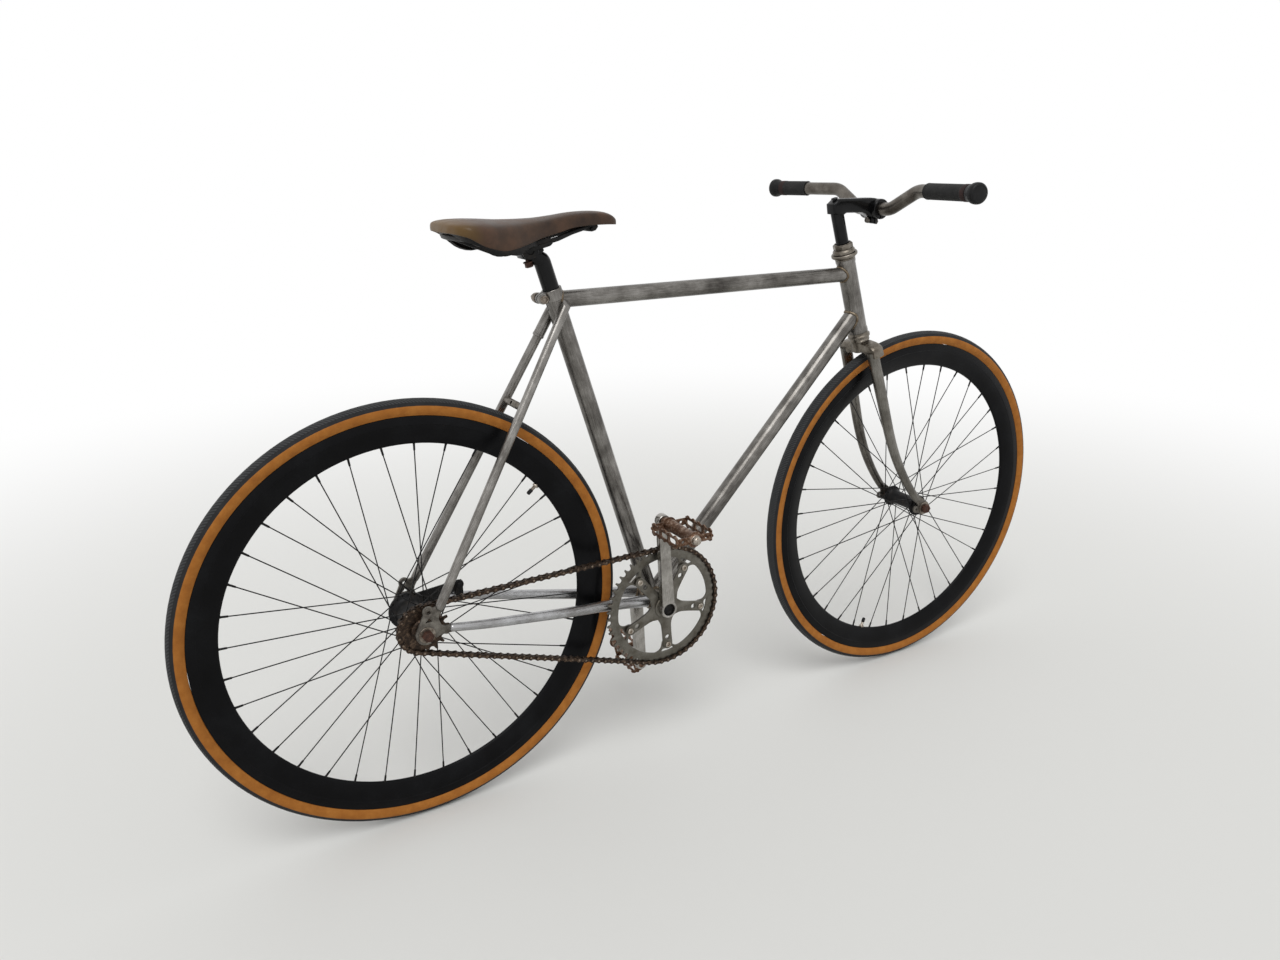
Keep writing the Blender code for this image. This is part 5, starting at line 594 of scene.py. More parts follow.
# Bicycle chain left dry: dark oily brown with rust at 1 mm
CHAIN = worn_metal(
    "dry_chain_steel", ("14100c", "30241b", "6a5747"), metallic=0.7, roughness=(0.60, 0.36),
    grain_mm=0.9, patch_mm=5.0, bump_mm=0.2,
)
# The chain's pin ends, rubbed bright
RUBBED_STEEL = worn_metal(
    "rubbed_rivet_steel", ("3a2c22", "6f6053", "a79a8c"), metallic=0.9, roughness=(0.30, 0.45),
    grain_mm=0.8, patch_mm=3.0, bump_mm=0.1,
)
# Ground steel of valves, chainring bolts and dust caps: pale, worn to a shine
BRIGHT = worn_metal(
    "ground_steel", ("5d4a3c", "a0978c", "cfcac2"), metallic=1.0, roughness=(0.20, 0.35),
    grain_mm=0.8, patch_mm=4.0, bump_mm=0.1,
)
# Machined steel under old grease: dark grey with brown in the corners
OILED = worn_metal(
    "oiled_steel", ("2b2621", "55504a", "8a857e"), metallic=1.0, roughness=(0.25, 0.45),
    grain_mm=0.9, patch_mm=7.0, bump_mm=0.1,
)
# Pressed steel pedals that lost their plating: orange-brown rust, rubbed bright where the shoe stands
PEDAL_STEEL = worn_metal(
    "rubbed_rusty_steel", ("2a1a12", "5d412e", "a39182"), metallic=0.75, roughness=(0.60, 0.32),
    grain_mm=1.0, patch_mm=6.0, bump_mm=0.2,
)
# Forged aluminium, painted gloss black: deep black with sharp lights and fine wear
GLOSS = worn_metal(
    "gloss_black_paint", ("060607", "0a0a0b", "121213"), metallic=0.1, roughness=(0.14, 0.26),
    grain_mm=2.0, patch_mm=14.0, bump_mm=0.05, shine=0.20,
)
# Moulded black plastic, satin, greyed by handling
PLASTIC = worn_metal(
    "moulded_black_plastic", ("0a0a0b", "111112", "1c1c1d"), metallic=0.0, roughness=(0.36, 0.52),
    grain_mm=0.7, patch_mm=9.0, bump_mm=0.08, shine=0.20,
)
# Grips: black rubber greyed by handling, and a dark red-brown band at the outer end
GRIP_RUBBER = rubber("grip_rubber", ("121212", "1b1b1b", "2a2928"), 1.1, 0.3)
GRIP_BAND = rubber("grip_end_band", ("160e0d", "261614", "3a2320"), 1.1, 0.2)
# Tyres beside the tread: a smooth black shoulder, and caramel brown rubber over the casing's cords
BAND_RUBBER = rubber("black_sidewall_rubber", ("121213", "1a1a1b", "242425"), 2.0, 0.1)
TAN_WALL = rubber("tan_sidewall_rubber", ("8a5218", "9a5f1f", "a96d2b"), 0.8, 0.1)


# Wheels

def tyre(wheel, axle):
    """A road tyre: file tread over the crown, a smooth black shoulder and a tan sidewall."""
    half_height = 0.01345
    half_width = 0.01375
    centre = WHEEL_RADIUS - half_height - 0.00002

    def at(degrees, inset=0.0):
        a = math.radians(degrees)
        return centre + (half_height - inset) * math.cos(a), (half_width - inset) * math.sin(a)

    side = [at(a) for a in (0, 12, 24, 36, 47)] + [at(a, 0.0003) for a in (48.5, 50, 60, 69.5)]
    side += [at(a, 0.0001) for a in (72, 84, 96, 108, 120, 130)] + [at(134, -0.0002), at(137.7)]
    inner = [at(a, 0.0022) for a in (131, 90, 45, 0, -45, -90, -131)]
    piece = lathe(wheel + "_road_tyre", flipped(side[1:]) + side + inner, axle, ACROSS, WHEEL_STEPS)
    coat(piece, file_tread(wheel + "_tread_rubber_painted_groove_shade", axle), BAND_RUBBER, TAN_WALL)
    tread_edge = at(48)[0]
    wall_edge = at(71)[0]
    for face in piece.data.polygons:
        radius = (face.center - axle).xz.length
        face.material_index = 0 if radius > tread_edge else 1 if radius > wall_edge else 2
    hang(piece, "tyre_rubber", wheel + "_wheel", wheel + "_tyre")


def rim(wheel, axle):
    """A deep V rim with flat brake tracks and a rounded nose."""
    side = shifted([
        (-0.0005, -0.0006), (-0.0002, -0.0002), (-0.0007, 0.0), (-0.0128, 0.0), (-0.0133, -0.0004),
        (-0.0165, -0.0006), (-0.0240, -0.0020), (-0.0320, -0.0042), (-0.0385, -0.0064),
    ], RIM_RADIUS, RIM_HALF)
    side += shifted([(0.0014, 0.0026), (0.0003, 0.0013)], RIM_FOOT)
    bed = shifted([(-0.0058, -0.0086), (-0.0075, 0.0), (-0.0058, 0.0086)], RIM_RADIUS)
    outline = side + [(RIM_FOOT, 0)] + flipped(side) + bed
    piece = lathe(wheel + "_deep_rim", outline, axle, ACROSS, WHEEL_STEPS)
    finish(piece, ANODISED, "black_alloy", wheel + "_wheel", wheel + "_rim")


def wheel_turn(axle, angle):
    """The place that turns a piece round a wheel's axle by an angle."""
    return Matrix.Translation(axle) @ Matrix.Rotation(-angle, 4, "Y") @ Matrix.Translation(-axle)


def lacing(wheel, axle, flange_radius, flanges):
    """36 spokes crossed three times, each with a bent head in its flange and a nipple in the rim."""
    foot = [
        (0.0, -0.0020), (0.0022, -0.0020), (0.0021, 0.0), (0.0017, 0.0014), (0.0016, 0.0100),
        (0.0012, 0.0112), (0.0, 0.0112),
    ]
    one_nipple = lathe(wheel + "_nipple", foot, (0, 0, 0), (0, 0, 1), 10)
    spokes = []
    nipples = []
    for kind in range(4):
        pulls_back = 1 if kind // 2 else -1
        rim_angle = 2 * math.pi * (kind + 0.5) / SPOKES
        hub_angle = rim_angle + pulls_back * 3 * 2 * math.pi / (SPOKES / 2)
        flange = flanges[0] if kind % 2 else flanges[1]
        hub_point = outward(hub_angle) * flange_radius
        hub_end = hub_point + ACROSS * (flange + 0.0018 * pulls_back)
        rim_point = outward(rim_angle) * RIM_FOOT
        run = (rim_point - hub_end).normalized()
        head = [hub_point + ACROSS * (flange + y * pulls_back) for y in (-0.0036, -0.0030, -0.0024, 0.0008)]
        path = head + [hub_end + run * 0.0012, hub_end + run * 0.004, rim_point - run * 0.008]
        radii = [0.0014, 0.0018, 0.0010, 0.0010, 0.0010, 0.0009, 0.0009]
        one = wire("%s_spoke_%d" % (wheel, kind), [p + axle for p in path], radii, 8)
        seat = copied(one_nipple, "seat", along(axle + rim_point, -run))
        for turn in range(SPOKES // 4):
            place = wheel_turn(axle, turn * 8 * math.pi / SPOKES)
            spokes.append(copied(one, "spoke", place))
            nipples.append(copied(seat, "nipple", place))
        discard(one, seat)
    discard(one_nipple)
    finish(joined(wheel + "_spokes", spokes), SPOKE_STEEL, "black_steel", wheel + "_wheel")
    finish(joined(wheel + "_nipples", nipples), SPOKE_STEEL, "black_alloy", wheel + "_wheel")


def laced_hub(wheel, axle, outline, flange_radius, flanges):
    """A turned hub shell with 18 spoke holes through each flange, and its spokes."""
    piece = lathe(wheel + "_hub_shell", outline, axle, ACROSS, 72)
    cutters = []
    for shift, flange in zip((1, 0), flanges):
        for hole in range(SPOKES // 2):
            angle = 2 * math.pi * (2 * hole + shift + 0.5) / SPOKES
            at = axle + outward(angle) * flange_radius + ACROSS * flange
            cutters.append(bar("hole", at - ACROSS * 0.006, at + ACROSS * 0.006, 0.00135, 10, 0.0003))
    drilled(piece, cutters)
    finish(piece, BLACK_STEEL, "black_alloy", wheel + "_wheel", wheel + "_hub")
    lacing(wheel, axle, flange_radius, flanges)


def front_hub():
    """A slim hub that flares to its two flanges."""
    flange, hole_circle = 0.0345, 0.0179
    side = [(0.0130, 0.0), (0.0131, 0.0170), (0.0138, 0.0235), (0.0160, 0.0290)] + shifted([
        (0.0190, -0.0026), (0.0198, -0.0022), (0.0203, -0.0012), (0.0203, 0.0012), (0.0198, 0.0022),
        (0.0172, 0.0024), (0.0150, 0.0034), (0.0132, 0.0058),
    ], up=flange) + [(0.0120, 0.0405)]
    outline = flipped(side[1:]) + side + [(0.0056, 0.0405), (0.0056, -0.0405)]
    laced_hub("front", FRONT_AXLE, outline, hole_circle, (-flange, flange))


def rear_hub():
    """The coaster hub's thick shell, larger at the brake's side."""
    right, left, hole_circle = -0.0275, 0.0320, 0.0279
    outline = [(0.0170, -0.0340), (0.0236, -0.0340), (0.0240, -0.0336)] + shifted([
        (0.0262, -0.0030), (0.0290, -0.0026), (0.0302, -0.0018), (0.0304, 0.0), (0.0302, 0.0018),
        (0.0290, 0.0025), (0.0250, 0.0036), (0.0220, 0.0062), (0.0207, 0.0100), (0.0205, 0.0180),
    ], up=right) + shifted([
        (0.0205, -0.0180), (0.0207, -0.0100), (0.0220, -0.0062), (0.0250, -0.0036), (0.0290, -0.0025),
        (0.0302, -0.0018), (0.0304, 0.0), (0.0302, 0.0018), (0.0290, 0.0026), (0.0266, 0.0040),
    ], up=left) + [(0.0260, 0.0395), (0.0252, 0.0405), (0.0196, 0.0430), (0.0170, 0.0430)]
    laced_hub("rear", REAR_AXLE, outline, hole_circle, (right, left))


def valve(wheel, axle, degrees):
    """A threaded valve stem through the rim, with its locknut and dust cap."""
    out = outward(math.radians(degrees))
    foot = axle + out * (RIM_FOOT + 0.004)
    pitch = 0.0010
    stem = [(0.0, 0.0040), (0.0029, 0.0040)]
    for turn in range(12):
        stem += [(0.0029, -turn * pitch), (0.0026, -(turn + 0.5) * pitch)]
    stem += [(0.0026, -0.0150), (0.0022, -0.0160), (0.0, -0.0160)]
    finish(lathe(wheel + "_valve_stem", stem, foot, out, 16), BRIGHT, "plated_steel", wheel + "_wheel")
    nut = bar(wheel + "_valve_locknut", foot - out * 0.0042, foot - out * 0.0072, 0.0050, 12, 0.0004)
    finish(nut, BRIGHT, "plated_steel", wheel + "_wheel")
    cap = [
        (0.0, -0.0140), (0.0031, -0.0140), (0.0033, -0.0150), (0.0032, -0.0215), (0.0024, -0.0232),
        (0.0, -0.0236),
    ]
    finish(lathe(wheel + "_valve_cap", cap, foot, out, 16), PLASTIC, "black_plastic", wheel + "_wheel")


for make in (tyre, rim):
    make("front", FRONT_AXLE)
    make("rear", REAR_AXLE)
front_hub()
rear_hub()
valve("front", FRONT_AXLE, 250)
valve("rear", REAR_AXLE, 40)


# Frame

CHAINSTAY_BEND = (
    # Share of the way from the dropout to the shell, distance from the middle plane, and sag
    (0.00, 0.0605, 0.0000), (0.15, 0.0585, 0.0000), (0.33, 0.0500, 0.0010), (0.58, 0.0375, 0.0030),
    (0.71, 0.0292, 0.0025), (0.80, 0.0262, 0.0015), (1.00, 0.0225, 0.0000),
)
CHAINSTAY_END = REAR_AXLE + Vector((0.0396, 0, 0.0010))
SEATSTAY_TOP = CLUSTER + Vector((0.0100, 0, -0.0060))
SEATSTAY_END = REAR_AXLE + Vector((0.0225, 0, 0.0380))
SEATSTAY_TOP_Y = 0.0195
DROPOUT_Y = 0.0600
SEATSTAY_Y = DROPOUT_Y + 0.0003
EYELET = Vector((0.0050, 0.0345))
TONGUE_LENGTH = 0.0120  # how far a dropout's tongue reaches into its stay


def joint_line(axis_point, axis, axis_radius, origin, direction, radius, count=48):
    """The closed line where a tube from origin along direction meets the round tube about the axis."""
    direction = direction.normalized()
    side = direction.cross(axis).normalized()
    lift = side.cross(direction)
    flat = direction - axis * direction.dot(axis)
    line = []
    for i in range(count):
        angle = 2 * math.pi * i / count
        start = origin + (side * math.cos(angle) + lift * math.sin(angle)) * radius
        away = start - axis_point
        away = away - axis * away.dot(axis)
        a, b, c = flat.dot(flat), 2 * away.dot(flat), away.dot(away) - axis_radius**2
        travel = (-b - math.sqrt(max(b * b - 4 * a * c, 0.0))) / (2 * a)
        line.append(start + direction * travel)
    return line


def fillet(name, line, radius):
    """A brazed fillet along a joint: a bead that swells and thins a little, as it was laid."""
    radii = [radius * (1 + 0.09 * math.sin(i * 2.4) + 0.06 * math.sin(i * 5.1)) for i in range(len(line))]
    finish(wire(name, line, radii, 10, closed=True), FLUX_STEEL, "raw_steel", "frame")


def mitred(piece, centre, axis, radius):
    """Cuts a tube's end off where it meets the wall of the round tube about the axis."""
    reach = axis * 0.060
    return drilled(piece, [bar("mitre", centre - reach, centre + reach, radius - WALL_BITE, 64)])


def head_tube():
    """The head tube, flared at both ends where the cups are pressed in."""
    lower = shifted([
        (0.0005, 0.0), (0.0010, 0.0005), (0.0010, 0.0055), (0.0005, 0.0068), (0.0, 0.0080),
    ], HEAD_RADIUS)
    upper = [(r, HEAD_LENGTH - h) for r, h in reversed(lower)]
    bore = 0.0148
    outline = lower + upper + [(bore, HEAD_LENGTH), (bore, 0)]
    piece = lathe("steel_head_tube", outline, HEAD_BOTTOM, UP, 64)
    finish(piece, UPRIGHT_STEEL, "raw_steel", "frame", "head_tube")


def main_tubes():
    """The top tube and the down tube, mitred at both ends, and the fillets round their joints."""
    top = bar("steel_top_tube", CLUSTER, HEAD, TOP_RADIUS, 64, 0.001)
    mitred(top, HEAD, UP, HEAD_RADIUS)
    mitred(top, CLUSTER, UP, SEAT_RADIUS)
    finish(top, LEVEL_STEEL, "raw_steel", "frame", "top_tube")
    down = bar("steel_down_tube", BRACKET, DOWN_TUBE_TOP, DOWN_RADIUS, 64, 0.001)
    mitred(down, DOWN_TUBE_TOP, UP, HEAD_RADIUS)
    mitred(down, BRACKET, ACROSS, SHELL_RADIUS)
    finish(down, SLOPING_STEEL, "raw_steel", "frame", "down_tube")
    middle = (BRACKET + DOWN_TUBE_TOP) / 2
    run = DOWN_TUBE_TOP - BRACKET
    head, seat, shell = (HEAD, UP, HEAD_RADIUS), (CLUSTER, UP, SEAT_RADIUS), (BRACKET, ACROSS, SHELL_RADIUS)
    for name, wall, start, way, radius, bead in (
        ("fillet_top_head", head, CLUSTER + FORWARD * 0.1, FORWARD, TOP_RADIUS, 0.0024),
        ("fillet_down_head", head, middle, run, DOWN_RADIUS, 0.0026),
        ("fillet_top_seat", seat, HEAD - FORWARD * 0.1, -FORWARD, TOP_RADIUS, 0.0024),
        ("fillet_down_shell", shell, middle, -run, DOWN_RADIUS, 0.0026),
        ("fillet_seat_shell", shell, (BRACKET + CLUSTER) / 2, -UP, SEAT_RADIUS, 0.0026),
    ):
        fillet(name, joint_line(*wall, start, way, radius), bead)


def seat_tube():
    """The seat tube with its collar, whose two ears are slit behind and drawn together by a bolt."""
    end = (SEAT_TUBE_TOP - BRACKET).length
    collar, foot, bore = end - 0.0170, 0.010, 0.0131
    outline = [(SEAT_RADIUS, foot), (SEAT_RADIUS, collar - 0.0002)]
    outline += shifted([(0.0154, 0.0), (0.0157, 0.0004)], up=collar)
    outline += shifted([(0.0157, -0.0006), (0.0152, 0.0), (bore, 0.0)], up=end)
    piece = lathe("steel_seat_tube", outline + [(bore, foot)], BRACKET, SEAT_TUBE_TOP - BRACKET, 64)
    ear = SEAT_TUBE_TOP - UP * 0.0085 + BACK * 0.0195
    half = 0.0085
    lift, back = UP.xz, BACK.xz
    outline = []
    for step in range(9):
        angle = math.radians(-90 + 22.5 * step)
        outline.append((lift * math.sin(angle) + back * math.cos(angle)) * 0.0075)
    outline += [lift * 0.0082 - back * 0.0060, -lift * 0.0082 - back * 0.0060]
    ears = flat_plate("collar_ears", [outline], 2 * half, side_place(ear), 0.0012)
    modified(piece, "BOOLEAN", operation="UNION", object=ears)
    discard(ears)
    drilled(piece, [block("slit", along(SEAT_TUBE_TOP + BACK * 0.030, UP), (0.034, 0.0025, 0.060))])
    mitred(piece, BRACKET, ACROSS, SHELL_RADIUS)
    finish(piece, UPRIGHT_STEEL, "raw_steel", "frame", "seat_tube")
    stack = shifted([
        (0.0, 0.0), (0.0076, 0.0), (0.0082, 0.0008), (0.0082, 0.0034), (0.0074, 0.0040), (0.0074, 0.0048),
        (0.0079, 0.0054), (0.0079, 0.0082), (0.0070, 0.0090), (0.0070, 0.0098), (0.0074, 0.0104),
        (0.0070, 0.0130), (0.0056, 0.0142), (0.0048, 0.0150), (0.0044, 0.0176), (0.0032, 0.0190),
        (0.0030, 0.0236), (0.0, 0.0240),
    ], up=half)
    bolt = [
        lathe("stack", stack, ear, ACROSS, 28),
        bar("bolt", ear - ACROSS * 0.0100, ear + ACROSS * 0.0100, 0.0030, 16),
        bar("bolt_head", ear - ACROSS * (half + 0.0052), ear - ACROSS * half, 0.0062, 28, 0.0008, 0.0020),
    ]
    finish(joined("seat_collar_bolt", bolt), STAINED, "rusty_steel", "frame", "seat_binder_bolt")


def bracket_shell():
    """The turned shell that holds the cranks' bearings."""
    side = shifted([(-0.0028, 0.0), (-0.0007, 0.0), (0.0, -0.0007)], SHELL_RADIUS, SHELL_HALF)[::-1]
    piece = lathe("steel_bracket_shell", flipped(side) + side, BRACKET, ACROSS, 64)
    finish(piece, TURNED_STEEL, "raw_steel", "frame", "bottom_bracket_shell")


def chainstay(word, side):
    """A round tapered stay, domed where it holds the dropout, that bends in beside the tyre."""
    end = BRACKET + Vector((-0.0050, 0, 0.0030))
    points = []
    for share, y, sag in CHAINSTAY_BEND:
        points.append(CHAINSTAY_END.lerp(end, share) + Vector((0, side * y, -sag * 0.5)))
    path = smooth_path(points, 8)
    total = len(path) - 1
    radii = [0.0063 + 0.0029 * min(i / total / 0.7, 1) for i in range(total + 1)]
    radii[-6:] = [0.0094, 0.0097, 0.0100, 0.0102, 0.0103, 0.0103]
    run = (path[1] - path[0]).normalized()
    dome = [path[0] - run * d for d in (0.0052, 0.0047, 0.0034, 0.0016)]
    piece = wire("steel_chainstay_" + word, dome + path, [0.0016, 0.0034, 0.0052, 0.0061] + radii, 28)
    mitred(piece, BRACKET, ACROSS, SHELL_RADIUS)
    finish(piece, CHAINSTAY_STEEL, "raw_steel", "frame", "chainstay_" + word)
    inward = (path[-1] - path[-9]).normalized()
    line = joint_line(BRACKET, ACROSS, SHELL_RADIUS, path[-1] - inward * 0.06, inward, radii[-1])
    fillet("steel_chainstay_%s_fillet" % word, line, 0.0022)


def seatstay(word, side):
    """A straight stay with a domed foot and a slanting cap against the seat tube. The left one
    wears a sleeve below its cap."""
    low = SEATSTAY_END + ACROSS * side * SEATSTAY_Y
    high = SEATSTAY_TOP + ACROSS * side * SEATSTAY_TOP_Y
    run = (high - low).normalized()
    path = [low + run * d for d in (-0.0048, -0.0044, -0.0030, -0.0012, 0.0030, 0.016)]
    radii = [0.0014, 0.0034, 0.0052, 0.0062, 0.0066, 0.0070]
    if side > 0:
        path += [high - run * d for d in (0.0600, 0.0585, 0.0580, 0.0550, 0.0545, 0.0150, 0.0080)]
        radii += [0.0070, 0.0078, 0.0090, 0.0090, 0.0086, 0.0086, 0.0074]
    piece = wire("steel_seatstay_" + word, path + [high + run * 0.01], radii + [0.0070], 28)
    normal = Vector((run.x, side * 0.75, run.z)).normalized()
    edit_all(piece)
    bpy.ops.mesh.bisect(plane_co=high + normal * 0.0015, plane_no=normal, use_fill=True, clear_outer=True)
    bpy.ops.mesh.bevel(offset=0.0010, segments=3, affect="EDGES")
    finish(settled(piece), SEATSTAY_STEEL_PAINTED_HIGHLIGHT, "raw_steel", "frame", "seatstay_" + word)


def bridge():
    """The bridge between the seatstays with the hole of a brake or mudguard bolt."""
    low = SEATSTAY_END + ACROSS * SEATSTAY_Y
    high = SEATSTAY_TOP + ACROSS * SEATSTAY_TOP_Y
    low_radius = (SEATSTAY_END - REAR_AXLE).length
    high_radius = (SEATSTAY_TOP - REAR_AXLE).length
    end = low.lerp(high, (WHEEL_RADIUS + 0.0188 - low_radius) / (high_radius - low_radius))
    piece = bar("steel_brake_bridge", (end.x, -end.y, end.z), end, 0.0058)
    centre = Vector((end.x, 0, end.z))
    normal = Vector((end.z - REAR_AXLE.z, 0, REAR_AXLE.x - end.x)).normalized()
    drilled(piece, [bar("bridge_hole", centre - normal * 0.02, centre + normal * 0.02, 0.0031, 24)])
    finish(piece, TURNED_STEEL, "raw_steel", "frame", "brake_bridge")


def dropout(word, side):
    """A cast dropout: two tongues in the stays, an eyelet, a window and a slot for the axle."""
    half, ring, slot, slot_angle = 0.0048, 0.0165, 0.0051, -50.0
    first = (CHAINSTAY_END - REAR_AXLE).xz
    tip = first + (BRACKET - REAR_AXLE).xz.normalized() * TONGUE_LENGTH
    foot = (SEATSTAY_END - REAR_AXLE).xz
    up = (SEATSTAY_TOP - SEATSTAY_END).xz.normalized()
    right = Vector((up.y, -up.x))
    stay_tip = foot + up * TONGUE_LENGTH
    outline = [
        tip + Vector((0, -half)), tip + Vector((0, half)), first + Vector((-0.0120, 0.0060)),
        first + Vector((-0.0165, 0.0085)), foot - up * 0.0165 + right * (half + 0.0012),
        foot - up * 0.0110 + right * half, stay_tip + right * half, stay_tip - right * half,
        foot - right * half,
    ]
    outline += arc(EYELET, 0.0085, 35, 200, 16)
    outline += arc((0, 0), ring, 150, slot_angle + 341, 28)
    outline += arc((0, 0), slot, slot_angle + 270, slot_angle + 90, 16)
    mouth = math.radians(slot_angle)
    lip = outward(mouth).xz * (ring - 0.0010) + outward(mouth + math.pi / 2).xz * slot
    outline += [lip, first + Vector((-0.0180, -half - 0.0010))]
    window = []
    for corner, centre in enumerate([(0.0005, 0.0198), (0.0080, 0.0202), (0.0050, 0.0236)]):
        window += arc(centre, 0.0011, 200 + corner * 120, 320 + corner * 120, 5)
    name = "cast_dropout_" + word
    loops = [outline, window, circle(0.0028, 20, EYELET)]
    plate = flat_plate(name, loops, 0.0050, side_place(REAR_AXLE + ACROSS * side * DROPOUT_Y), 0.0009)
    eyelet = REAR_AXLE + Vector((EYELET.x, side * (DROPOUT_Y + 0.0020), EYELET.y))
    boss = [
        (0.0028, 0.0), (0.0073, 0.0), (0.0073, 0.0015), (0.0068, 0.0020), (0.0034, 0.0020),
        (0.0028, 0.0015),
    ]
    piece = joined(name, [plate, lathe("boss", boss, eyelet, ACROSS * side, 28)])
    finish(piece, CAST_STEEL, "raw_steel", "frame", "dropout_" + word)


def thread(radius, start, end, pitch=0.0010):
    """The outline of a thread between two heights on an axle of this radius."""
    turns = max(1, round(abs(end - start) / pitch))
    step = (end - start) / turns
    outline = []
    for turn in range(turns):
        outline += [(radius, start + step * turn), (radius - 0.0005, start + step * (turn + 0.5))]
    return outline + [(radius, end)]


def axle_nuts(end_name, axle, face, bore, body):
    """On both ends of an axle, a chamfered hexagon nut with a countersunk bore, on its washer."""
    height, washer, thick = 0.0080, 0.0125, 0.0016
    collar = shifted([(0.0, -0.0002), (0.0022, -0.0002), (0.0014, 0.0006), (0.0, 0.0004)], bore, height)
    rim_line = shifted([(-0.0003, 0.0), (0.0, 0.0003), (0.0, 0.0013), (-0.0004, 0.0016)], washer)
    for word, side in SIDES:
        out = ACROSS * side
        start = axle + out * face
        base = start + out * thick
        nut = bar("nut", base, base + out * height, 0.0087, 6, 0.0007)
        drilled(nut, [bar("bore", base - out * 0.01, base + out * (height + 0.01), bore, 24)])
        ring = lathe("collar", collar, base, out, 24)
        disc = lathe("washer", [(bore, 0)] + rim_line + [(bore, thick)], start, out, 32)
        pieces = [coat(nut, RUSTED), coat(ring, RUSTED), coat(disc, STAINED)]
        piece = joined("%s_nut_%s" % (end_name, word), pieces)
        hang(piece, "rusty_steel", body, "%s_axle_nut_%s" % (end_name, word))


def rear_axle():
    """The rear axle with its locknuts and nuts."""
    radius, locknut, half = 0.0048, 0.0570, 0.0735
    end = half - 0.0006
    outline = [(0.0, -half), (radius - 0.0006, -half)] + thread(radius, -end, -locknut)
    outline += [(0.0085, -locknut), (0.0085, -locknut + 0.0060), (radius, -locknut + 0.0060)]
    outline += [(radius, 0.0533), (0.0085, 0.0533), (0.0085, locknut)] + thread(radius, locknut, end)
    outline += [(radius - 0.0006, half), (0, half)]
    piece = lathe("threaded_rear_axle", outline, REAR_AXLE, ACROSS, 24)
    finish(piece, RUSTED, "rusty_steel", "frame", "rear_axle")
    axle_nuts("rear", REAR_AXLE, 0.0628, radius, "frame")


def brake_arm():
    """The coaster brake's arm with its cone, and the strap that holds it to the chainstay."""
    end = Vector((0.0894, 0.0146))
    tilt = math.degrees(math.atan2(end.y, end.x))
    outline = arc((0, 0), 0.0150, tilt + 80, tilt + 280, 24) + arc(end, 0.0085, tilt - 85, tilt + 85, 16)
    loops = [outline, circle(0.0051, 24), circle(0.0033, 20, end)]
    arm = flat_plate("arm", loops, 0.0030, side_place(REAR_AXLE + ACROSS * 0.0515), 0.0006)
    cone = [
        (0.0051, 0.0370), (0.0158, 0.0370), (0.0158, 0.0455), (0.0152, 0.0462), (0.0122, 0.0480),
        (0.0120, 0.0515), (0.0051, 0.0515),
    ]
    piece = joined("coaster_brake_arm", [arm, lathe("brake_cone", cone, REAR_AXLE, ACROSS)])
    finish(piece, BLACK_STEEL, "black_steel", "frame", "brake_arm")
    strap = copied(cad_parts["brake_arm_clip"], "chainstay_strap", Matrix())
    strap.parent = None
    edit_all(strap)
    bpy.ops.mesh.remove_doubles(threshold=1e-5)
    bpy.ops.mesh.dissolve_limited(angle_limit=math.radians(1.0))
    modified(
        strap, "BEVEL", width=0.0003, segments=2, limit_method="ANGLE", angle_limit=math.radians(38),
        use_clamp_overlap=True,
    )
    bpy.ops.object.shade_smooth_by_angle(angle=math.radians(32))
    finish(strap, BLACK_STEEL, "plated_steel", "frame", "brake_arm_clip")


def headset_cups():
    """The two turned cups that are pressed into the head tube."""
    lower = [
        (0.0137, -0.0098), (0.0192, -0.0098), (0.0198, -0.0092), (0.0198, -0.0060), (0.0193, -0.0054),
        (0.0176, -0.0046), (0.0172, -0.0040), (0.0172, -0.0003), (0.0142, -0.0003), (0.0142, 0.0100),
        (0.0137, 0.0100),
    ]
    upper = [
        (0.0137, -0.0100), (0.0142, -0.0100), (0.0142, 0.0003), (0.0178, 0.0003), (0.0178, 0.0016),
        (0.0196, 0.0034), (0.0220, 0.0048), (0.0228, 0.0060), (0.0228, 0.0086), (0.0224, 0.0096),
        (0.0216, 0.0103), (0.0137, 0.0103),
    ]
    for word, outline, origin in (("lower", lower, HEAD_BOTTOM), ("upper", upper, HEAD_TOP)):
        piece = lathe("turned_%s_cup" % word, outline, origin, UP, 64)
        finish(piece, TURNED_STEEL, "raw_steel", "frame", word + "_headset_cup")


def bracket_cup(word, side):
    """A cup screwed into the bracket shell, with eight notches in its flange for the spanner."""
    flange, start, out = 0.0195 if side < 0 else 0.0190, SHELL_HALF + 0.0003, ACROSS * side
    outline = shifted([(0.0090, 0.0026), (0.0100, 0.0030), (0.0125, 0.0030), (0.0132, 0.0026)], up=start)
    outline += shifted([(-0.0012, 0.0026), (0.0, 0.0018), (0.0, 0.0)], flange, start)
    outline += shifted([(0.0167, 0.0), (0.0167, -0.0130), (0.0090, -0.0130)], up=start)
    piece = lathe("bracket_cup_" + word, outline, BRACKET, out)
    cutters = []
    for notch in range(8):
        at = BRACKET + outward(math.pi / 4 * notch) * (flange + 0.0008)
        cutters.append(bar("notch", at + out * (start - 0.0006), at + out * 0.05, 0.0024, 12))
    finish(drilled(piece, cutters), PLATED, "plated_steel", "frame", "bb_cup_" + word)


head_tube()
main_tubes()
seat_tube()
bracket_shell()
for make in (chainstay, seatstay):
    for word, side in SIDES:
        make(word, side)
bridge()
for word, side in SIDES:
    dropout(word, side)
rear_axle()
brake_arm()
headset_cups()
for word, side in SIDES:
    bracket_cup(word, side)


# Fork and front axle

RACE_SEAT = 0.0174
CROWN_DEPTH = 0.0270
BLADE_TOP = RACE_SEAT + CROWN_DEPTH + 0.0010
BLADE_FLATTENING = 0.80  # a blade's width over its depth


def steered(down, forward, y=0.0):
    """A point this far down the steering axis from the head tube's lower end, and forward of it."""
    return HEAD_BOTTOM - UP * down + AHEAD * forward + ACROSS * y


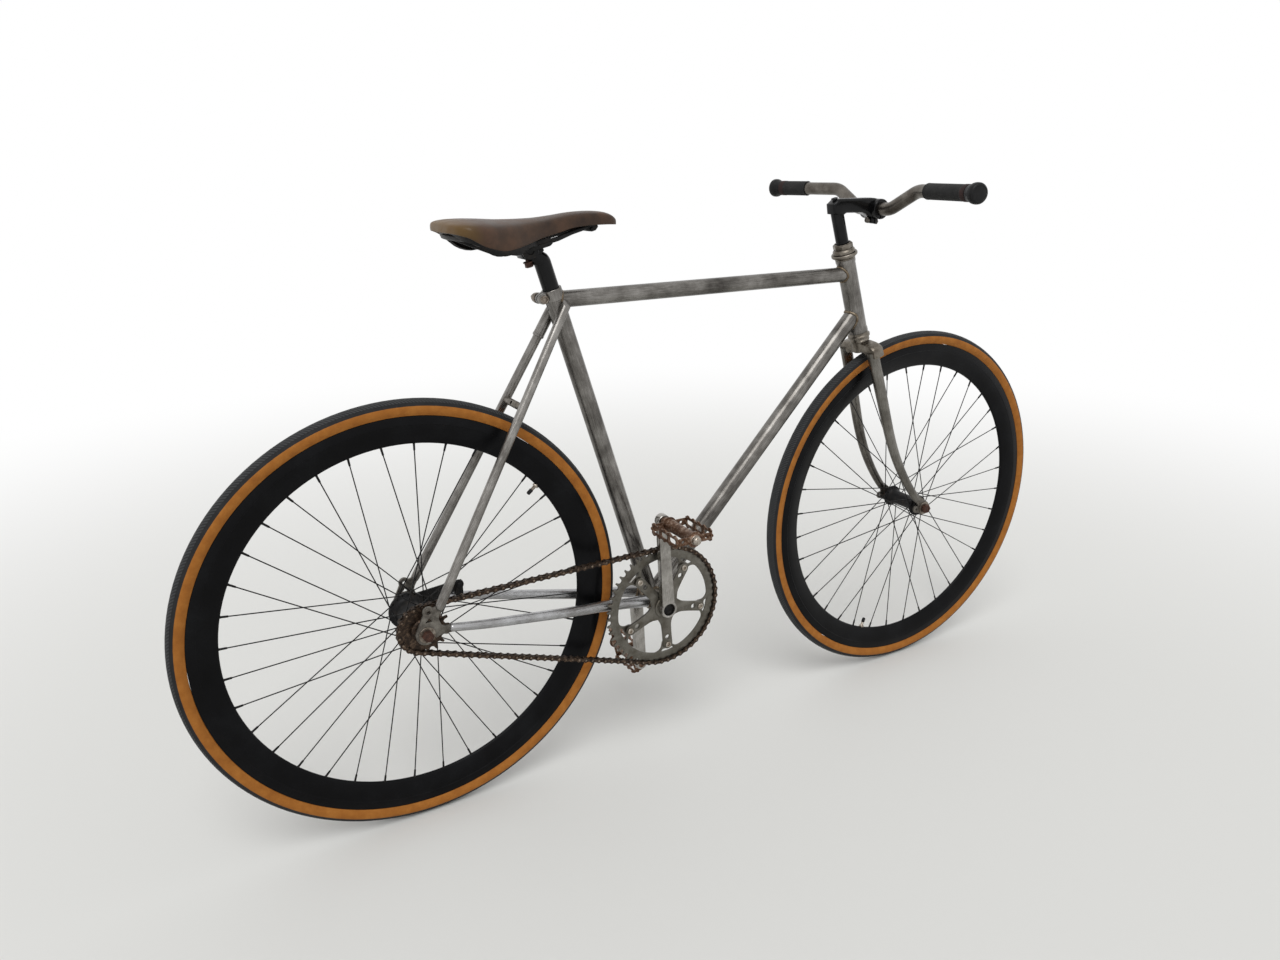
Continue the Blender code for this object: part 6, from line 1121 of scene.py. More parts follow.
def fork_crown():
    """A forged crown with sloping shoulders, ground bright, and the steerer inside the head tube."""
    side = shifted([
        (0.0165, -0.0006), (0.0220, -0.0012), (0.0310, -0.0024), (0.0390, -0.0048), (0.0440, -0.0078),
        (0.0464, -0.0106), (0.0470, -0.0140), (0.0470, -0.0262), (0.0462, -0.0270), (0.0245, -0.0270),
        (0.0222, -0.0256), (0.0200, -0.0215), (0.0150, -0.0200), (0.0090, -0.0195),
    ], up=-RACE_SEAT)
    outline = side + [(-x, y) for x, y in reversed(side)]
    crown = flat_plate("crown", [outline], 0.0250, axes_place(HEAD_BOTTOM, ACROSS, UP, -AHEAD), 0.0045)
    column = [
        (0.0, 0.0190), (0.0160, 0.0190), (0.0165, 0.0185), (0.0165, 0.0005), (0.0160, 0.0), (0.0, 0.0),
    ]
    column = lathe("column", column, steered(RACE_SEAT + 0.0190, 0), UP)
    steerer = bar("steerer", steered(RACE_SEAT - 0.005, 0), HEAD_TOP + UP * 0.0268, STEERER_RADIUS, 48)
    piece = joined("forged_fork_crown", [crown, column, steerer])
    finish(piece, TURNED_STEEL, "raw_steel", "fork", "fork_crown")


def blade_centre(share):
    """How far down, forward and across a blade's middle line is at a share of its length."""
    curve = max(0.0, (share - 0.40) / 0.60) ** 2.2
    forward = -0.0050 + (RAKE + 0.0050) * curve
    return BLADE_TOP + (AXLE_DEPTH - BLADE_TOP) * share, forward, 0.0360 + 0.0140 * share


def fork_blade(word, side):
    """A raked oval blade, domed over the tip plate that holds the axle."""
    name = "steel_fork_blade_" + word
    path = []
    radii = []
    for share in [-0.035, 0.0, 0.2] + [0.40 + 0.53 * i / 14 for i in range(15)]:
        down, forward, y = blade_centre(share)
        path.append(steered(down, forward, side * y / BLADE_FLATTENING))
        radii.append(0.0118 - 0.0046 * max(share, 0) ** 1.2)
    run = (path[-1] - path[-2]).normalized()
    path += [path[-1] + run * d for d in (0.0022, 0.0040, 0.0052)]
    blade = wire(name, path, radii + [0.0064, 0.0046, 0.0020], 32)
    blade.data.transform(Matrix.Diagonal((1, BLADE_FLATTENING, 1, 1)))
    finish(blade, BLADE_STEEL, "raw_steel", "fork", "fork_blade_" + word)

    ring, slot, mouth = 0.0140, 0.0048, -75.0
    down, forward, _ = blade_centre(0.82)
    up = (steered(down, forward) - FRONT_AXLE).xz.normalized()
    across = Vector((-up.y, up.x))
    tip = up * 0.0350
    eyelet = (-0.0190, 0.0)
    outline = [tip - across * 0.0055, tip + across * 0.0055]
    outline += [up * 0.0200 + across * 0.0066, up * 0.0126 + across * 0.0085]
    outline += arc(eyelet, 0.0070, 75, 265, 16)
    outline += arc((0, 0), ring, 215, mouth + 340, 16)
    outline += arc((0, 0), slot, mouth + 270, mouth + 90, 16)
    opening = math.radians(mouth)
    outline += [outward(opening).xz * (ring - 0.0010) + outward(opening + math.pi / 2).xz * slot]
    outline += arc((0, 0), ring, mouth + 30, 70, 16)
    place = side_place(FRONT_AXLE + ACROSS * side * 0.0504)
    plate = flat_plate(name + "_tip", [outline, circle(0.0026, 20, eyelet)], 0.0042, place, 0.0007)
    finish(plate, CAST_STEEL, "raw_steel", "fork")


def front_axle():
    """The threaded front axle with its cones, and its nuts and washers."""
    radius, outer, end = 0.0045, 0.0480, 0.0620
    half = [(radius, outer - 0.0070), (0.0080, outer - 0.0062), (0.0088, outer - 0.0045), (0.0088, outer)]
    half += thread(radius, outer + 0.0002, end - 0.0006) + [(radius - 0.0006, end), (0, end)]
    piece = lathe("threaded_front_axle", flipped(half) + half, FRONT_AXLE, ACROSS, 24)
    finish(piece, RUSTED, "rusty_steel", "fork", "front_axle")
    axle_nuts("front", FRONT_AXLE, 0.0528, radius, "fork")


def steering_races():
    """The headset's turning parts: crown race, top race with its flats, and the locknut."""
    crown = [
        (0.0130, -0.0171), (0.0172, -0.0171), (0.0178, -0.0166), (0.0178, -0.0146), (0.0172, -0.0138),
        (0.0158, -0.0122), (0.0155, -0.0106), (0.0130, -0.0106),
    ]
    piece = lathe("turned_crown_race", crown, HEAD_BOTTOM, UP, 64)
    finish(piece, TURNED_STEEL, "raw_steel", "fork", "crown_race")
    race = [
        (0.0130, 0.0), (0.0186, 0.0), (0.0192, 0.0006), (0.0192, 0.0040), (0.0188, 0.0048),
        (0.0172, 0.0066), (0.0168, 0.0075), (0.0130, 0.0075),
    ]
    piece = lathe("turned_top_race", race, HEAD_TOP + UP * 0.0108, UP, 64)
    finish(piece, TURNED_STEEL, "raw_steel", "fork", "headset_top_race")
    start = HEAD_TOP + UP * 0.0186
    nut = bar("locknut", start, start + UP * 0.0080, 0.0172, 8, 0.0008)
    collar = bar("locknut_collar", start + UP * 0.0070, start + UP * 0.0092, 0.0150, 48, 0.0006)
    for piece in (nut, collar):
        drilled(piece, [bar("bore", start - UP * 0.01, start + UP * 0.02, 0.0130, 48)])
    finish(joined("headset_top_nut", [nut, collar]), TURNED_STEEL, "raw_steel", "fork", "headset_locknut")


fork_crown()
for word, side in SIDES:
    fork_blade(word, side)
front_axle()
steering_races()


# Chain, chainring, cranks and pedals

PITCH = 0.0127
LINKS = 102
CHAIN_LINE = 0.0420
RING_TEETH = 52
COG_TEETH = 18
RING_PITCH = PITCH / 2 / math.sin(math.pi / RING_TEETH)
COG_PITCH = PITCH / 2 / math.sin(math.pi / COG_TEETH)
TO_BRACKET = (BRACKET - REAR_AXLE).normalized()
ABOVE_RUN = Vector((-TO_BRACKET.z, 0, TO_BRACKET.x))
REACH = (BRACKET - REAR_AXLE).length
RUN_LEAN = math.asin((RING_PITCH - COG_PITCH) / REACH)
UPPER_NORMAL = ABOVE_RUN * math.cos(RUN_LEAN) - TO_BRACKET * math.sin(RUN_LEAN)
LOWER_NORMAL = -ABOVE_RUN * math.cos(RUN_LEAN) - TO_BRACKET * math.sin(RUN_LEAN)
UPPER_ANGLE = math.atan2(UPPER_NORMAL.z, UPPER_NORMAL.x)
LOWER_ANGLE = math.atan2(LOWER_NORMAL.z, LOWER_NORMAL.x)
RING_STEP = 2 * math.pi / RING_TEETH
COG_STEP = 2 * math.pi / COG_TEETH
ON_RING = (math.pi + 2 * RUN_LEAN) / RING_STEP
ON_COG = (math.pi - 2 * RUN_LEAN) / COG_STEP
STRAIGHT = math.sqrt(REACH**2 - (RING_PITCH - COG_PITCH) ** 2) / PITCH
CRANK_TILT = math.radians(94.7)
CRANK_LENGTH = 0.165
BOLT_CIRCLE = 0.0735
ARMS = [CRANK_TILT + 2 * math.pi / 5 * (arm + 0.5) for arm in range(5)]


def chain_place(links):
    """The point of the chain's loop this many links on from the ring's upper tangent point."""
    if links <= ON_RING:
        return BRACKET + outward(UPPER_ANGLE - links * RING_STEP) * RING_PITCH
    links -= ON_RING
    if links <= STRAIGHT:
        start, end = BRACKET + LOWER_NORMAL * RING_PITCH, REAR_AXLE + LOWER_NORMAL * COG_PITCH
        return start.lerp(end, links / STRAIGHT)
    links -= STRAIGHT
    if links <= ON_COG:
        return REAR_AXLE + outward(LOWER_ANGLE - links * COG_STEP) * COG_PITCH
    links -= ON_COG
    start, end = REAR_AXLE + UPPER_NORMAL * COG_PITCH, BRACKET + UPPER_NORMAL * RING_PITCH
    return start.lerp(end, links / STRAIGHT)


def link(name, near, far):
    """A pair of waisted plates one pitch long, near and far from the chain's middle."""
    plate_end, waist = 0.0042, 0.0026
    outline = arc((0, 0), plate_end, 48, 312, 9) + [(PITCH / 2, -waist)]
    outline += arc((PITCH, 0), plate_end, -132, 132, 9) + [(PITCH / 2, waist)]
    pieces = []
    for side in (-1, 1):
        place = side_place((0, side * (near + far) / 2, 0))
        pieces.append(flat_plate("plate", [outline], far - near, place))
    return joined(name, pieces)


def chain():
    """102 links in turn, inner ones with their rollers and outer ones, round the ring and the cog."""
    inner = [link("inner_link", 0.0021, 0.0032)]
    for x in (0, PITCH):
        inner.append(bar("roller", (x, -0.0020, 0), (x, 0.0020, 0), 0.0039, 10, 0.0003))
    inner = joined("inner_link", inner)
    outer = link("outer_link", 0.0033, 0.0043)
    pin = bar("pin", (0, -0.0049, 0), (0, 0.0049, 0), 0.0018, 10, 0.0004)
    pins = [chain_place((0.5 + i) % LINKS) for i in range(LINKS)]
    plates = []
    rivets = []
    for i, here in enumerate(pins):
        run = (pins[(i + 1) % LINKS] - here).normalized()
        place = axes_place(here - ACROSS * CHAIN_LINE, run, ACROSS, run.cross(ACROSS))
        plates.append(copied(inner if i % 2 else outer, "link", place))
        rivets.append(copied(pin, "rivet", place))
    discard(inner, outer, pin)
    finish(joined("roller_chain", plates), CHAIN, "chain_steel", "frame", "chain")
    finish(joined("chain_rivets", rivets), RUBBED_STEEL, "chain_steel", "frame")


def sprocket(teeth, radius, first):
    """A toothed outline whose gaps hold a roller each, the first of them at the angle first."""
    tooth = shifted([
        (-0.0041, 0.0), (-0.0036, 0.0020), (-0.0020, 0.0036), (0.0006, 0.0043), (0.0030, 0.00505),
        (0.0036, 0.00565),
    ], radius)
    gap = flipped(tooth) + tooth[1:]
    return [point for turn in range(teeth) for point in around(gap, first + 2 * math.pi / teeth * turn)]


def chainring():
    """The toothed ring with its five bolt tabs, which flare into the ring, and their slots."""
    inner, tab, flare = 0.0875, 0.0095, 0.0125
    y = tab + flare
    x = math.sqrt((inner - flare) ** 2 - y**2)
    reach = math.degrees(math.atan2(y, x))
    side = arc((BOLT_CIRCLE, 0), tab, 180, 112, 6) + arc((x, y), flare, 292, 360 + reach - 5, 8)
    slot = arc((0, 0), inner + 0.0002, -8.5, 8.5, 10) + arc((0, 0), inner - 0.0046, 6.0, -6.0, 6)
    head = [
        (0.0, -0.0006), (0.0024, -0.0006), (0.0026, 0.0016), (0.0046, 0.0016), (0.0052, 0.0010),
        (0.0052, 0.0), (0.0040, 0.0), (0.0040, -0.0090), (0.0052, -0.0090), (0.0052, -0.0100),
        (0.0, -0.0100),
    ]
    opening = []
    slots = []
    for angle in ARMS:
        first = math.degrees(angle) + reach
        opening += around(flipped(side) + side[1:], angle)
        opening += arc((0, 0), inner, first + 1.5, first + 72 - 2 * reach - 1.5, 14)
        slots.append(around(slot, angle))
    outline = sprocket(RING_TEETH, RING_PITCH, UPPER_ANGLE - 0.5 * RING_STEP)
    place = side_place(BRACKET - ACROSS * CHAIN_LINE)
    piece = flat_plate("cast_chainring", [outline, opening] + slots, 0.0028, place, 0.0005)
    finish(piece, CAST, "cast_alloy", "cranks", "chainring")
    bolts = []
    for angle in ARMS:
        centre = BRACKET + outward(angle) * BOLT_CIRCLE - ACROSS * 0.0489
        bolts.append(lathe("bolt", head, centre, -ACROSS, 20))
    finish(joined("chainring_bolts", bolts), BRIGHT, "plated_steel", "cranks")


def crank(word, direction, side):
    """A forged arm that narrows from its boss and widens again round the pedal's thread."""
    z = ACROSS * side
    splay = math.atan2(0.0070, CRANK_LENGTH)
    length = CRANK_LENGTH / math.cos(splay)
    place = axes_place(BRACKET, direction, z.cross(direction), z)
    place = place @ Matrix.Translation((0, 0, 0.0562)) @ Matrix.Rotation(-splay, 4, "Y")
    flank = [
        (0.0085, 0.0122), (0.0280, 0.0116), (0.0800, 0.0106), (0.1380, 0.0098), (length - 0.0070, 0.0100),
    ]
    flank = smooth_path(flank, 5)[::-1]
    outline = arc((0, 0), 0.0135, 60, 300, 20) + flipped(flank)
    outline += arc((length, 0), 0.0112, -118, 118, 18) + flank
    arm = flat_plate("arm", [outline], 0.0132, place, 0.0022, rounds=3)
    boss = [
        (0.0110, 0.0412), (0.0140, 0.0410), (0.0148, 0.0418), (0.0148, 0.0622), (0.0142, 0.0634),
        (0.0134, 0.0637), (0.0118, 0.0636), (0.0109, 0.0630), (0.0109, 0.0560), (0.0060, 0.0560),
        (0.0060, 0.0412),
    ]
    eye = [
        (0.0073, -0.0064), (0.0104, -0.0064), (0.0110, -0.0058), (0.0110, 0.0058), (0.0104, 0.0064),
        (0.0086, 0.0064), (0.0073, 0.0056),
    ]
    at = place @ Vector((length, 0, 0))
    out = place.to_3x3() @ Vector((0, 0, 1))
    recess = bar("recess", BRACKET + z * 0.0560, BRACKET + z * 0.08, 0.0109)
    pedal_hole = bar("pedal_hole", at - out * 0.02, at + out * 0.02, 0.0073, 24)
    drilled(arm, [recess, pedal_hole])
    pieces = [arm, lathe("boss", boss, BRACKET, z), lathe("eye", eye, at, out, 36)]
    piece = joined("polished_crank_" + word, pieces)
    finish(piece, POLISHED, "polished_alloy", "cranks", "crank_" + word)


def spider():
    """Five flat arms that widen over the chainring's tabs, on a round hub."""
    side = [(0.0300, 0.0106), (0.0360, 0.0092), (0.0500, 0.0086), (0.0620, 0.0087), (0.0700, 0.0089)][::-1]
    tip = arc((BOLT_CIRCLE - 0.0008, 0), 0.0088, -80, 80, 11)
    outline = []
    holes = []
    for angle in ARMS:
        outline += around(flipped(side) + tip + side, angle)
        outline += around([(0.0258, 0)], angle + math.pi / 5)
        holes.append(around(circle(0.0043, 20, (0.0590, 0)), angle))
        holes.append(around(circle(0.0041, 20, (BOLT_CIRCLE, 0)), angle))
    plate = flat_plate("spider", [outline] + holes, 0.0050, side_place(BRACKET - ACROSS * 0.0462), 0.0009)
    hub = [
        (0.0090, 0.0400), (0.0192, 0.0400), (0.0200, 0.0408), (0.0200, 0.0500), (0.0186, 0.0514),
        (0.0150, 0.0520), (0.0090, 0.0520),
    ]
    piece = joined("cast_spider", [plate, lathe("hub", hub, BRACKET, -ACROSS)])
    finish(piece, CAST, "cast_alloy", "cranks")


def bracket_spindle():
    """The spindle with its square ends, and the dark nut and washer in each crank's recess."""
    square_end = 0.0580
    pieces = []
    for name, half, radius, sides in (("journal", 0.0368, 0.0085, 32), ("square", square_end, 0.0086, 4)):
        pieces.append(coat(bar(name, BRACKET - ACROSS * half, BRACKET + ACROSS * half, radius, sides), OILED))
    for side in (-1, 1):
        out = ACROSS * side
        start = BRACKET + out * square_end
        nut = bar("nut", start - out * 0.0008, start + out * 0.0012, 0.0080, 6, 0.0004, 0.0008)
        washer = bar("washer", start - out * 0.0018, start - out * 0.0004, 0.0107, 32, 0.0003)
        pieces += [coat(nut, BLACK_STEEL), coat(washer, BLACK_STEEL)]
    hang(joined("bracket_spindle", pieces), "plated_steel", "cranks", "bb_spindle")


def pedal_spindle(word, axle, side):
    """The threaded axle that holds a pedal in its crank, with the flats of its flange."""
    outline = [(0, 0.0560), (0.0064, 0.0560)] + thread(0.0070, 0.0564, 0.0716, 0.0013)
    outline += [
        (0.0070, 0.0724), (0.0082, 0.0725), (0.0085, 0.0729), (0.0085, 0.0768), (0.0080, 0.0772),
        (0.0050, 0.0772), (0.0050, 0.1600), (0.0, 0.1600),
    ]
    piece = lathe("threaded_pedal_axle_" + word, outline, axle, ACROSS * side, 24)
    finish(piece, PEDAL_STEEL, "rusty_steel", "cranks", "pedal_spindle_" + word)


def pedal(word, axle, side, tilt):
    """A two-sided cage pedal: a turned barrel with a domed cap, two end plates and two toothed
    cage plates with windows."""
    place = Matrix.Translation(axle) @ Matrix.Rotation(tilt, 4, "Y")
    name, body = "cage_pedal_" + word, word + "_pedal"
    reach, inner, outer, bulge = 0.0315, 0.0855, 0.1600, 0.0128
    barrel = [
        (0.0053, 0.0780), (0.0088, 0.0780), (0.0095, 0.0786), (0.0095, 0.0806), (0.0105, 0.0816),
        (0.0105, 0.0880), (0.0100, 0.0892), (0.0096, 0.1180), (0.0096, 0.1220), (0.0100, 0.1540),
        (0.0105, 0.1560), (0.0105, 0.1604), (0.0098, 0.1620), (0.0082, 0.1632), (0.0053, 0.1632),
    ]
    pieces = [lathe("barrel", barrel, axle, ACROSS * side, 36)]
    lean = math.degrees(math.acos(0.0060 / bulge))
    outline = [(reach, -0.0058), (reach, 0.0058), (0.0175, 0.0062)]
    outline += arc((0, 0), bulge, 90 - lean, 90 + lean, 11)
    outline += [(-0.0175, 0.0062), (-reach, 0.0058), (-reach, -0.0058), (-0.0175, -0.0062)]
    outline += arc((0, 0), bulge, 270 - lean, 270 + lean, 11) + [(0.0175, -0.0062)]
    loops = [outline, circle(0.0024, 12, (0.0215, 0)), circle(0.0024, 12, (-0.0215, 0))]
    for y in (inner, outer):
        pieces.append(flat_plate("end_plate", loops, 0.0018, place @ side_place((0, side * y, 0)), 0.0003))
    middle, half, teeth = (inner + outer) / 2, (outer - inner) / 2 + 0.0022, 5
    tooth = [
        (0.10, 0.0082), (0.22, 0.0088), (0.36, 0.0106), (0.50, 0.0110), (0.64, 0.0106), (0.78, 0.0088),
        (0.90, 0.0082),
    ]
    top = []
    for i in range(teeth):
        top += [(-half + 2 * half / teeth * (i + share), high) for share, high in tooth]
    loops = [top + [(-y, -z) for y, z in top]]
    for x in (-0.0245, 0.0, 0.0245):
        loops.append(arc((x + 0.0052, 0), 0.0040, 90, -90, 8) + arc((x - 0.0052, 0), 0.0040, 270, 90, 8))
    for x in (-reach, reach):
        upright = axes_place((x, side * middle, 0), (0, 1, 0), (0, 0, 1), (1, 0, 0))
        pieces.append(flat_plate("cage_plate", loops, 0.0022, place @ upright, 0.0006))
    for x in (-1, 1):
        for y in (inner, outer):
            end = place @ Vector((x * (reach - 0.0030), side * y, 0))
            out = place.to_3x3() @ Vector((x, 0, 0))
            pieces.append(bar("rivet", end, end + out * 0.0052, 0.0026, 12, 0.0008))
    finish(joined(name, pieces), PEDAL_STEEL, "rusty_steel", body, "pedal_" + word)
    cap = [
        (0.0, 0.1720), (0.0026, 0.1719), (0.0052, 0.1710), (0.0068, 0.1690), (0.0074, 0.1662),
        (0.0074, 0.1640), (0.0080, 0.1634), (0.0080, 0.1626), (0.0, 0.1626),
    ]
    finish(lathe(name + "_cap", cap, axle, ACROSS * side, 32), BRIGHT, "plated_steel", body)


def cog():
    """The cog, on the coaster brake's driver with its dust cap."""
    outline = sprocket(COG_TEETH, COG_PITCH, LOWER_ANGLE + (ON_RING + STRAIGHT - 0.5) * COG_STEP)
    place = side_place(REAR_AXLE - ACROSS * CHAIN_LINE)
    plate = flat_plate("cog_plate", [outline, circle(0.0140)], 0.0028, place, 0.0005)
    driver = [
        (0.0053, 0.0180), (0.0158, 0.0180), (0.0158, 0.0385), (0.0185, 0.0400), (0.0185, 0.0466),
        (0.0176, 0.0474), (0.0172, 0.0478), (0.0166, 0.0490), (0.0156, 0.0495), (0.0120, 0.0495),
        (0.0112, 0.0488), (0.0086, 0.0488), (0.0080, 0.0495), (0.0053, 0.0495),
    ]
    piece = joined("cog_and_driver", [plate, lathe("driver", driver, REAR_AXLE, -ACROSS)])
    finish(piece, CHAIN, "chain_steel", "driver", "drive_cog")


chain()
chainring()
spider()
bracket_spindle()
for word, side, turn, pedal_tilt in (("right", -1, 0, 0.0), ("left", 1, math.pi, math.radians(78.0))):
    arm_way = outward(CRANK_TILT + turn)
    crank(word, arm_way, side)
    pedal_spindle(word, BRACKET + arm_way * CRANK_LENGTH, side)
    pedal(word, BRACKET + arm_way * CRANK_LENGTH, side, pedal_tilt)
cog()


# Seatpost and saddle

POST_TOP = SEAT_TUBE_TOP + UP * 0.0520
CRADLE = Vector((POST_TOP.x - 0.0130, 0, CLUSTER.z + 0.0825))
RAIL_TILT = 0.21
RAIL_AHEAD = outward(RAIL_TILT)
RAIL_UP = outward(RAIL_TILT + math.pi / 2)
SADDLE_TOP = CLUSTER.z + 0.1220
SADDLE_LENGTH = 0.271
SADDLE_TAIL = CRADLE.x - 0.135
SADDLE_HALF = 0.074
SADDLE_DEPTH = 0.0445
SADDLE_STATIONS = (
    # Share of the length from the tail, half width, and the drops of top and skirt as shares
    (0.000, 0.500, 0.130, 0.380), (0.018, 0.770, 0.070, 0.415), (0.064, 0.955, 0.022, 0.510),
    (0.100, 0.985, 0.006, 0.640), (0.140, 1.000, 0.000, 0.775), (0.180, 0.970, 0.004, 0.870),
    (0.230, 0.900, 0.016, 0.955), (0.280, 0.830, 0.038, 0.975), (0.330, 0.750, 0.054, 0.945),
    (0.420, 0.585, 0.067, 0.840), (0.520, 0.435, 0.063, 0.682), (0.620, 0.345, 0.009, 0.560),
    (0.720, 0.292, -0.063, 0.420), (0.830, 0.270, -0.086, 0.375), (0.920, 0.252, -0.040, 0.373),
    (0.970, 0.205, 0.060, 0.385), (1.000, 0.120, 0.200, 0.395),
)
SADDLE_SECTION = (
    # Half width and drop to the skirt as shares, from the skirt's edge to the middle line
    (0.955, 1.00), (0.985, 0.92), (1.000, 0.60), (0.975, 0.36), (0.900, 0.195), (0.740, 0.095),
    (0.480, 0.035), (0.220, 0.006), (0.0, 0.0),
)
STATION_LINE = smooth_path(SADDLE_STATIONS, 4)
CANTLE = Vector((CRADLE.x - 0.1145, 0, SADDLE_TOP - 0.0237))


def saddle_row(share):
    """Half width, height of the top and height of the skirt's edge at a share of the length."""
    for here, ahead in zip(STATION_LINE, STATION_LINE[1:]):
        if ahead[0] >= share:
            part = (share - here[0]) / (ahead[0] - here[0])
            _, wide, top, skirt = here.lerp(ahead, part)
            return SADDLE_HALF * wide, SADDLE_TOP - SADDLE_DEPTH * top, SADDLE_TOP - SADDLE_DEPTH * skirt


def grid(name, columns, rows):
    """A flat grid two units wide, to be drawn over a form."""
    nothing_selected()
    bpy.ops.mesh.primitive_grid_add(x_subdivisions=columns, y_subdivisions=rows, size=2)
    return named(name)


def saddle_cover():
    """The leather top: a grid drawn over the stations, with a short wall at the tail, then
    thickened and smoothed."""
    rows, wall_rows = 44, 3
    half = len(SADDLE_SECTION) - 1
    piece = grid("leather_saddle_top", rows, 2 * half)
    for corner in piece.data.vertices:
        row = round((corner.co.x + 1) / 2 * rows)
        wall = max(wall_rows - row, 0) / wall_rows
        even = max(row - wall_rows, 0) / (rows - wall_rows)
        share = (1 - math.cos(math.pi * even)) / 2 * 0.55 + even * 0.45
        wide, top, skirt = saddle_row(min(max(share, 0.0), 1.0))
        place = round(corner.co.y * half)
        width, drop = SADDLE_SECTION[half - abs(place)]
        near_middle = 1 - abs(place) / half
        dish = 0.0010 * math.exp(-((share - 0.30) / 0.16) ** 2) * near_middle
        height = top + (skirt - top) * drop - dish
        bow = 0.0020 * math.sin(math.pi * wall * 0.6) * near_middle
        across = wide * width * (1 - 0.16 * wall)
        corner.co = (
            SADDLE_TAIL + SADDLE_LENGTH * share - bow,
            math.copysign(across, place) if place else 0.0,
            height + (skirt - 0.0006 * wall - height) * wall,
        )
    edit_all(piece)
    bpy.ops.mesh.normals_make_consistent(inside=False)
    bpy.ops.object.mode_set(mode="OBJECT")
    if sum(face.normal.z for face in piece.data.polygons) < 0:
        edit_all(piece)
        bpy.ops.mesh.flip_normals()
    modified(piece, "SOLIDIFY", thickness=0.0036, offset=-1.0)
    modified(piece, "SUBSURF", levels=2, render_levels=2)
    finish(settled(piece, angle=60), saddle_leather(), "leather", "seatpost", "saddle_cover")


def saddle_tray():
    """The black tray under the leather, whose rim hangs below the skirt in scallops."""
    piece = grid("saddle_tray", 48, 4)
    first, last = 0.035, 0.50
    insets = (0.0050, 0.0038, 0.0048, 0.0075, 0.0120)
    drops = (0.0055, 0.0005, -0.0022, -0.0030, -0.0020)
    for corner in piece.data.vertices:
        down = round((1 - corner.co.y) * 2)
        turn = corner.co.x * math.pi * 0.97
        side = math.sin(turn)
        share = first + (last - first) * (1 - math.cos(turn)) / 2
        wide, _, skirt = saddle_row(share)
        scallop = 0.0048 * abs(math.sin(4.0 * turn)) * (0.35 + 0.65 * abs(side)) if down > 2 else 0.0
        inset = insets[down]
        across = min(wide - inset, wide * abs(side) ** 0.35)
        corner.co = (
            SADDLE_TAIL + SADDLE_LENGTH * share + inset * 0.5,
            math.copysign(across, side),
            skirt + drops[down] - scallop,
        )
    modified(piece, "SOLIDIFY", thickness=0.0016, offset=0.0)
    finish(settled(piece, angle=50), BLACK_STEEL, "black_plastic", "seatpost")


def rails():
    """Two sprung rails in one bent wire, the wire across the tail and the bracket under the nose."""
    place = axes_place(CRADLE, RAIL_AHEAD, ACROSS, RAIL_UP)
    half = [
        CANTLE + ACROSS * 0.0400, Vector((CRADLE.x - 0.0850, 0.0330, SADDLE_TOP - 0.0360)),
        place @ Vector((-0.0520, 0.0210, 0)), place @ Vector((0.0330, 0.0210, 0)),
        Vector((CRADLE.x + 0.0600, 0.0120, SADDLE_TOP - 0.0250)),
        Vector((CRADLE.x + 0.1020, 0.0050, SADDLE_TOP - 0.0155)),
    ]
    path = rounded_path(half, 0.0200, 6)
    cantle = []
    for step in range(-8, 9):
        share = step / 8
        cantle.append(CANTLE + Vector((-0.0080 * (1 - share**2), 0.0445 * share, 0)))
    pieces = [wire("rail", path + across_mirrored(path), 0.0035, 16), wire("cantle", cantle, 0.0045, 16)]
    piece = joined("saddle_rails_and_cantle", pieces)
    finish(piece, BLACK_STEEL, "black_steel", "seatpost", "saddle_rails")
    nose = Vector((CRADLE.x + 0.0930, 0, SADDLE_TOP - 0.0215))
    outline = [
        (-0.0120, 0.0040), (0.0120, 0.0060), (0.0130, 0.0020), (0.0090, -0.0030), (0.0020, -0.0045),
        (-0.0060, -0.0035), (-0.0110, 0.0),
    ]
    bracket = flat_plate("nose_bracket", [outline], 0.0160, side_place(nose), 0.0015)
    at = nose + Vector((0.002, 0, -0.001))
    bolt = bar("nose_bolt", at - ACROSS * 0.0110, at + ACROSS * 0.0110, 0.0030, 16)
    finish(joined("saddle_nose_bracket", [bracket, bolt]), BLACK_STEEL, "black_steel", "seatpost")


def seatpost():
    """A black post whose head bends back under the clamp."""
    seat = CRADLE - RAIL_UP * 0.0100 - RAIL_AHEAD * 0.0060
    bend = rounded_path([POST_TOP - UP * 0.0600, POST_TOP - UP * 0.0090, seat], 0.0110, 8)
    path = [SEAT_TUBE_TOP - UP * 0.1400] + bend
    post = wire("post", path, [0.0127] * (len(path) - 3) + [0.0125, 0.0122, 0.0120], 48)
    head = [
        (-0.0230, 0.0040), (-0.0215, -0.0035), (-0.0150, -0.0070), (-0.0060, -0.0060), (0.0080, -0.0040),
        (0.0130, 0.0), (0.0125, 0.0045),
    ]
    place = axes_place(CRADLE - RAIL_UP * 0.0120, RAIL_AHEAD, RAIL_UP, -ACROSS)
    head = flat_plate("head", [head], 0.0250, place, 0.0025, rounds=2)
    finish(joined("black_seatpost", [post, head]), GLOSS, "black_alloy", "seatpost", "seatpost")


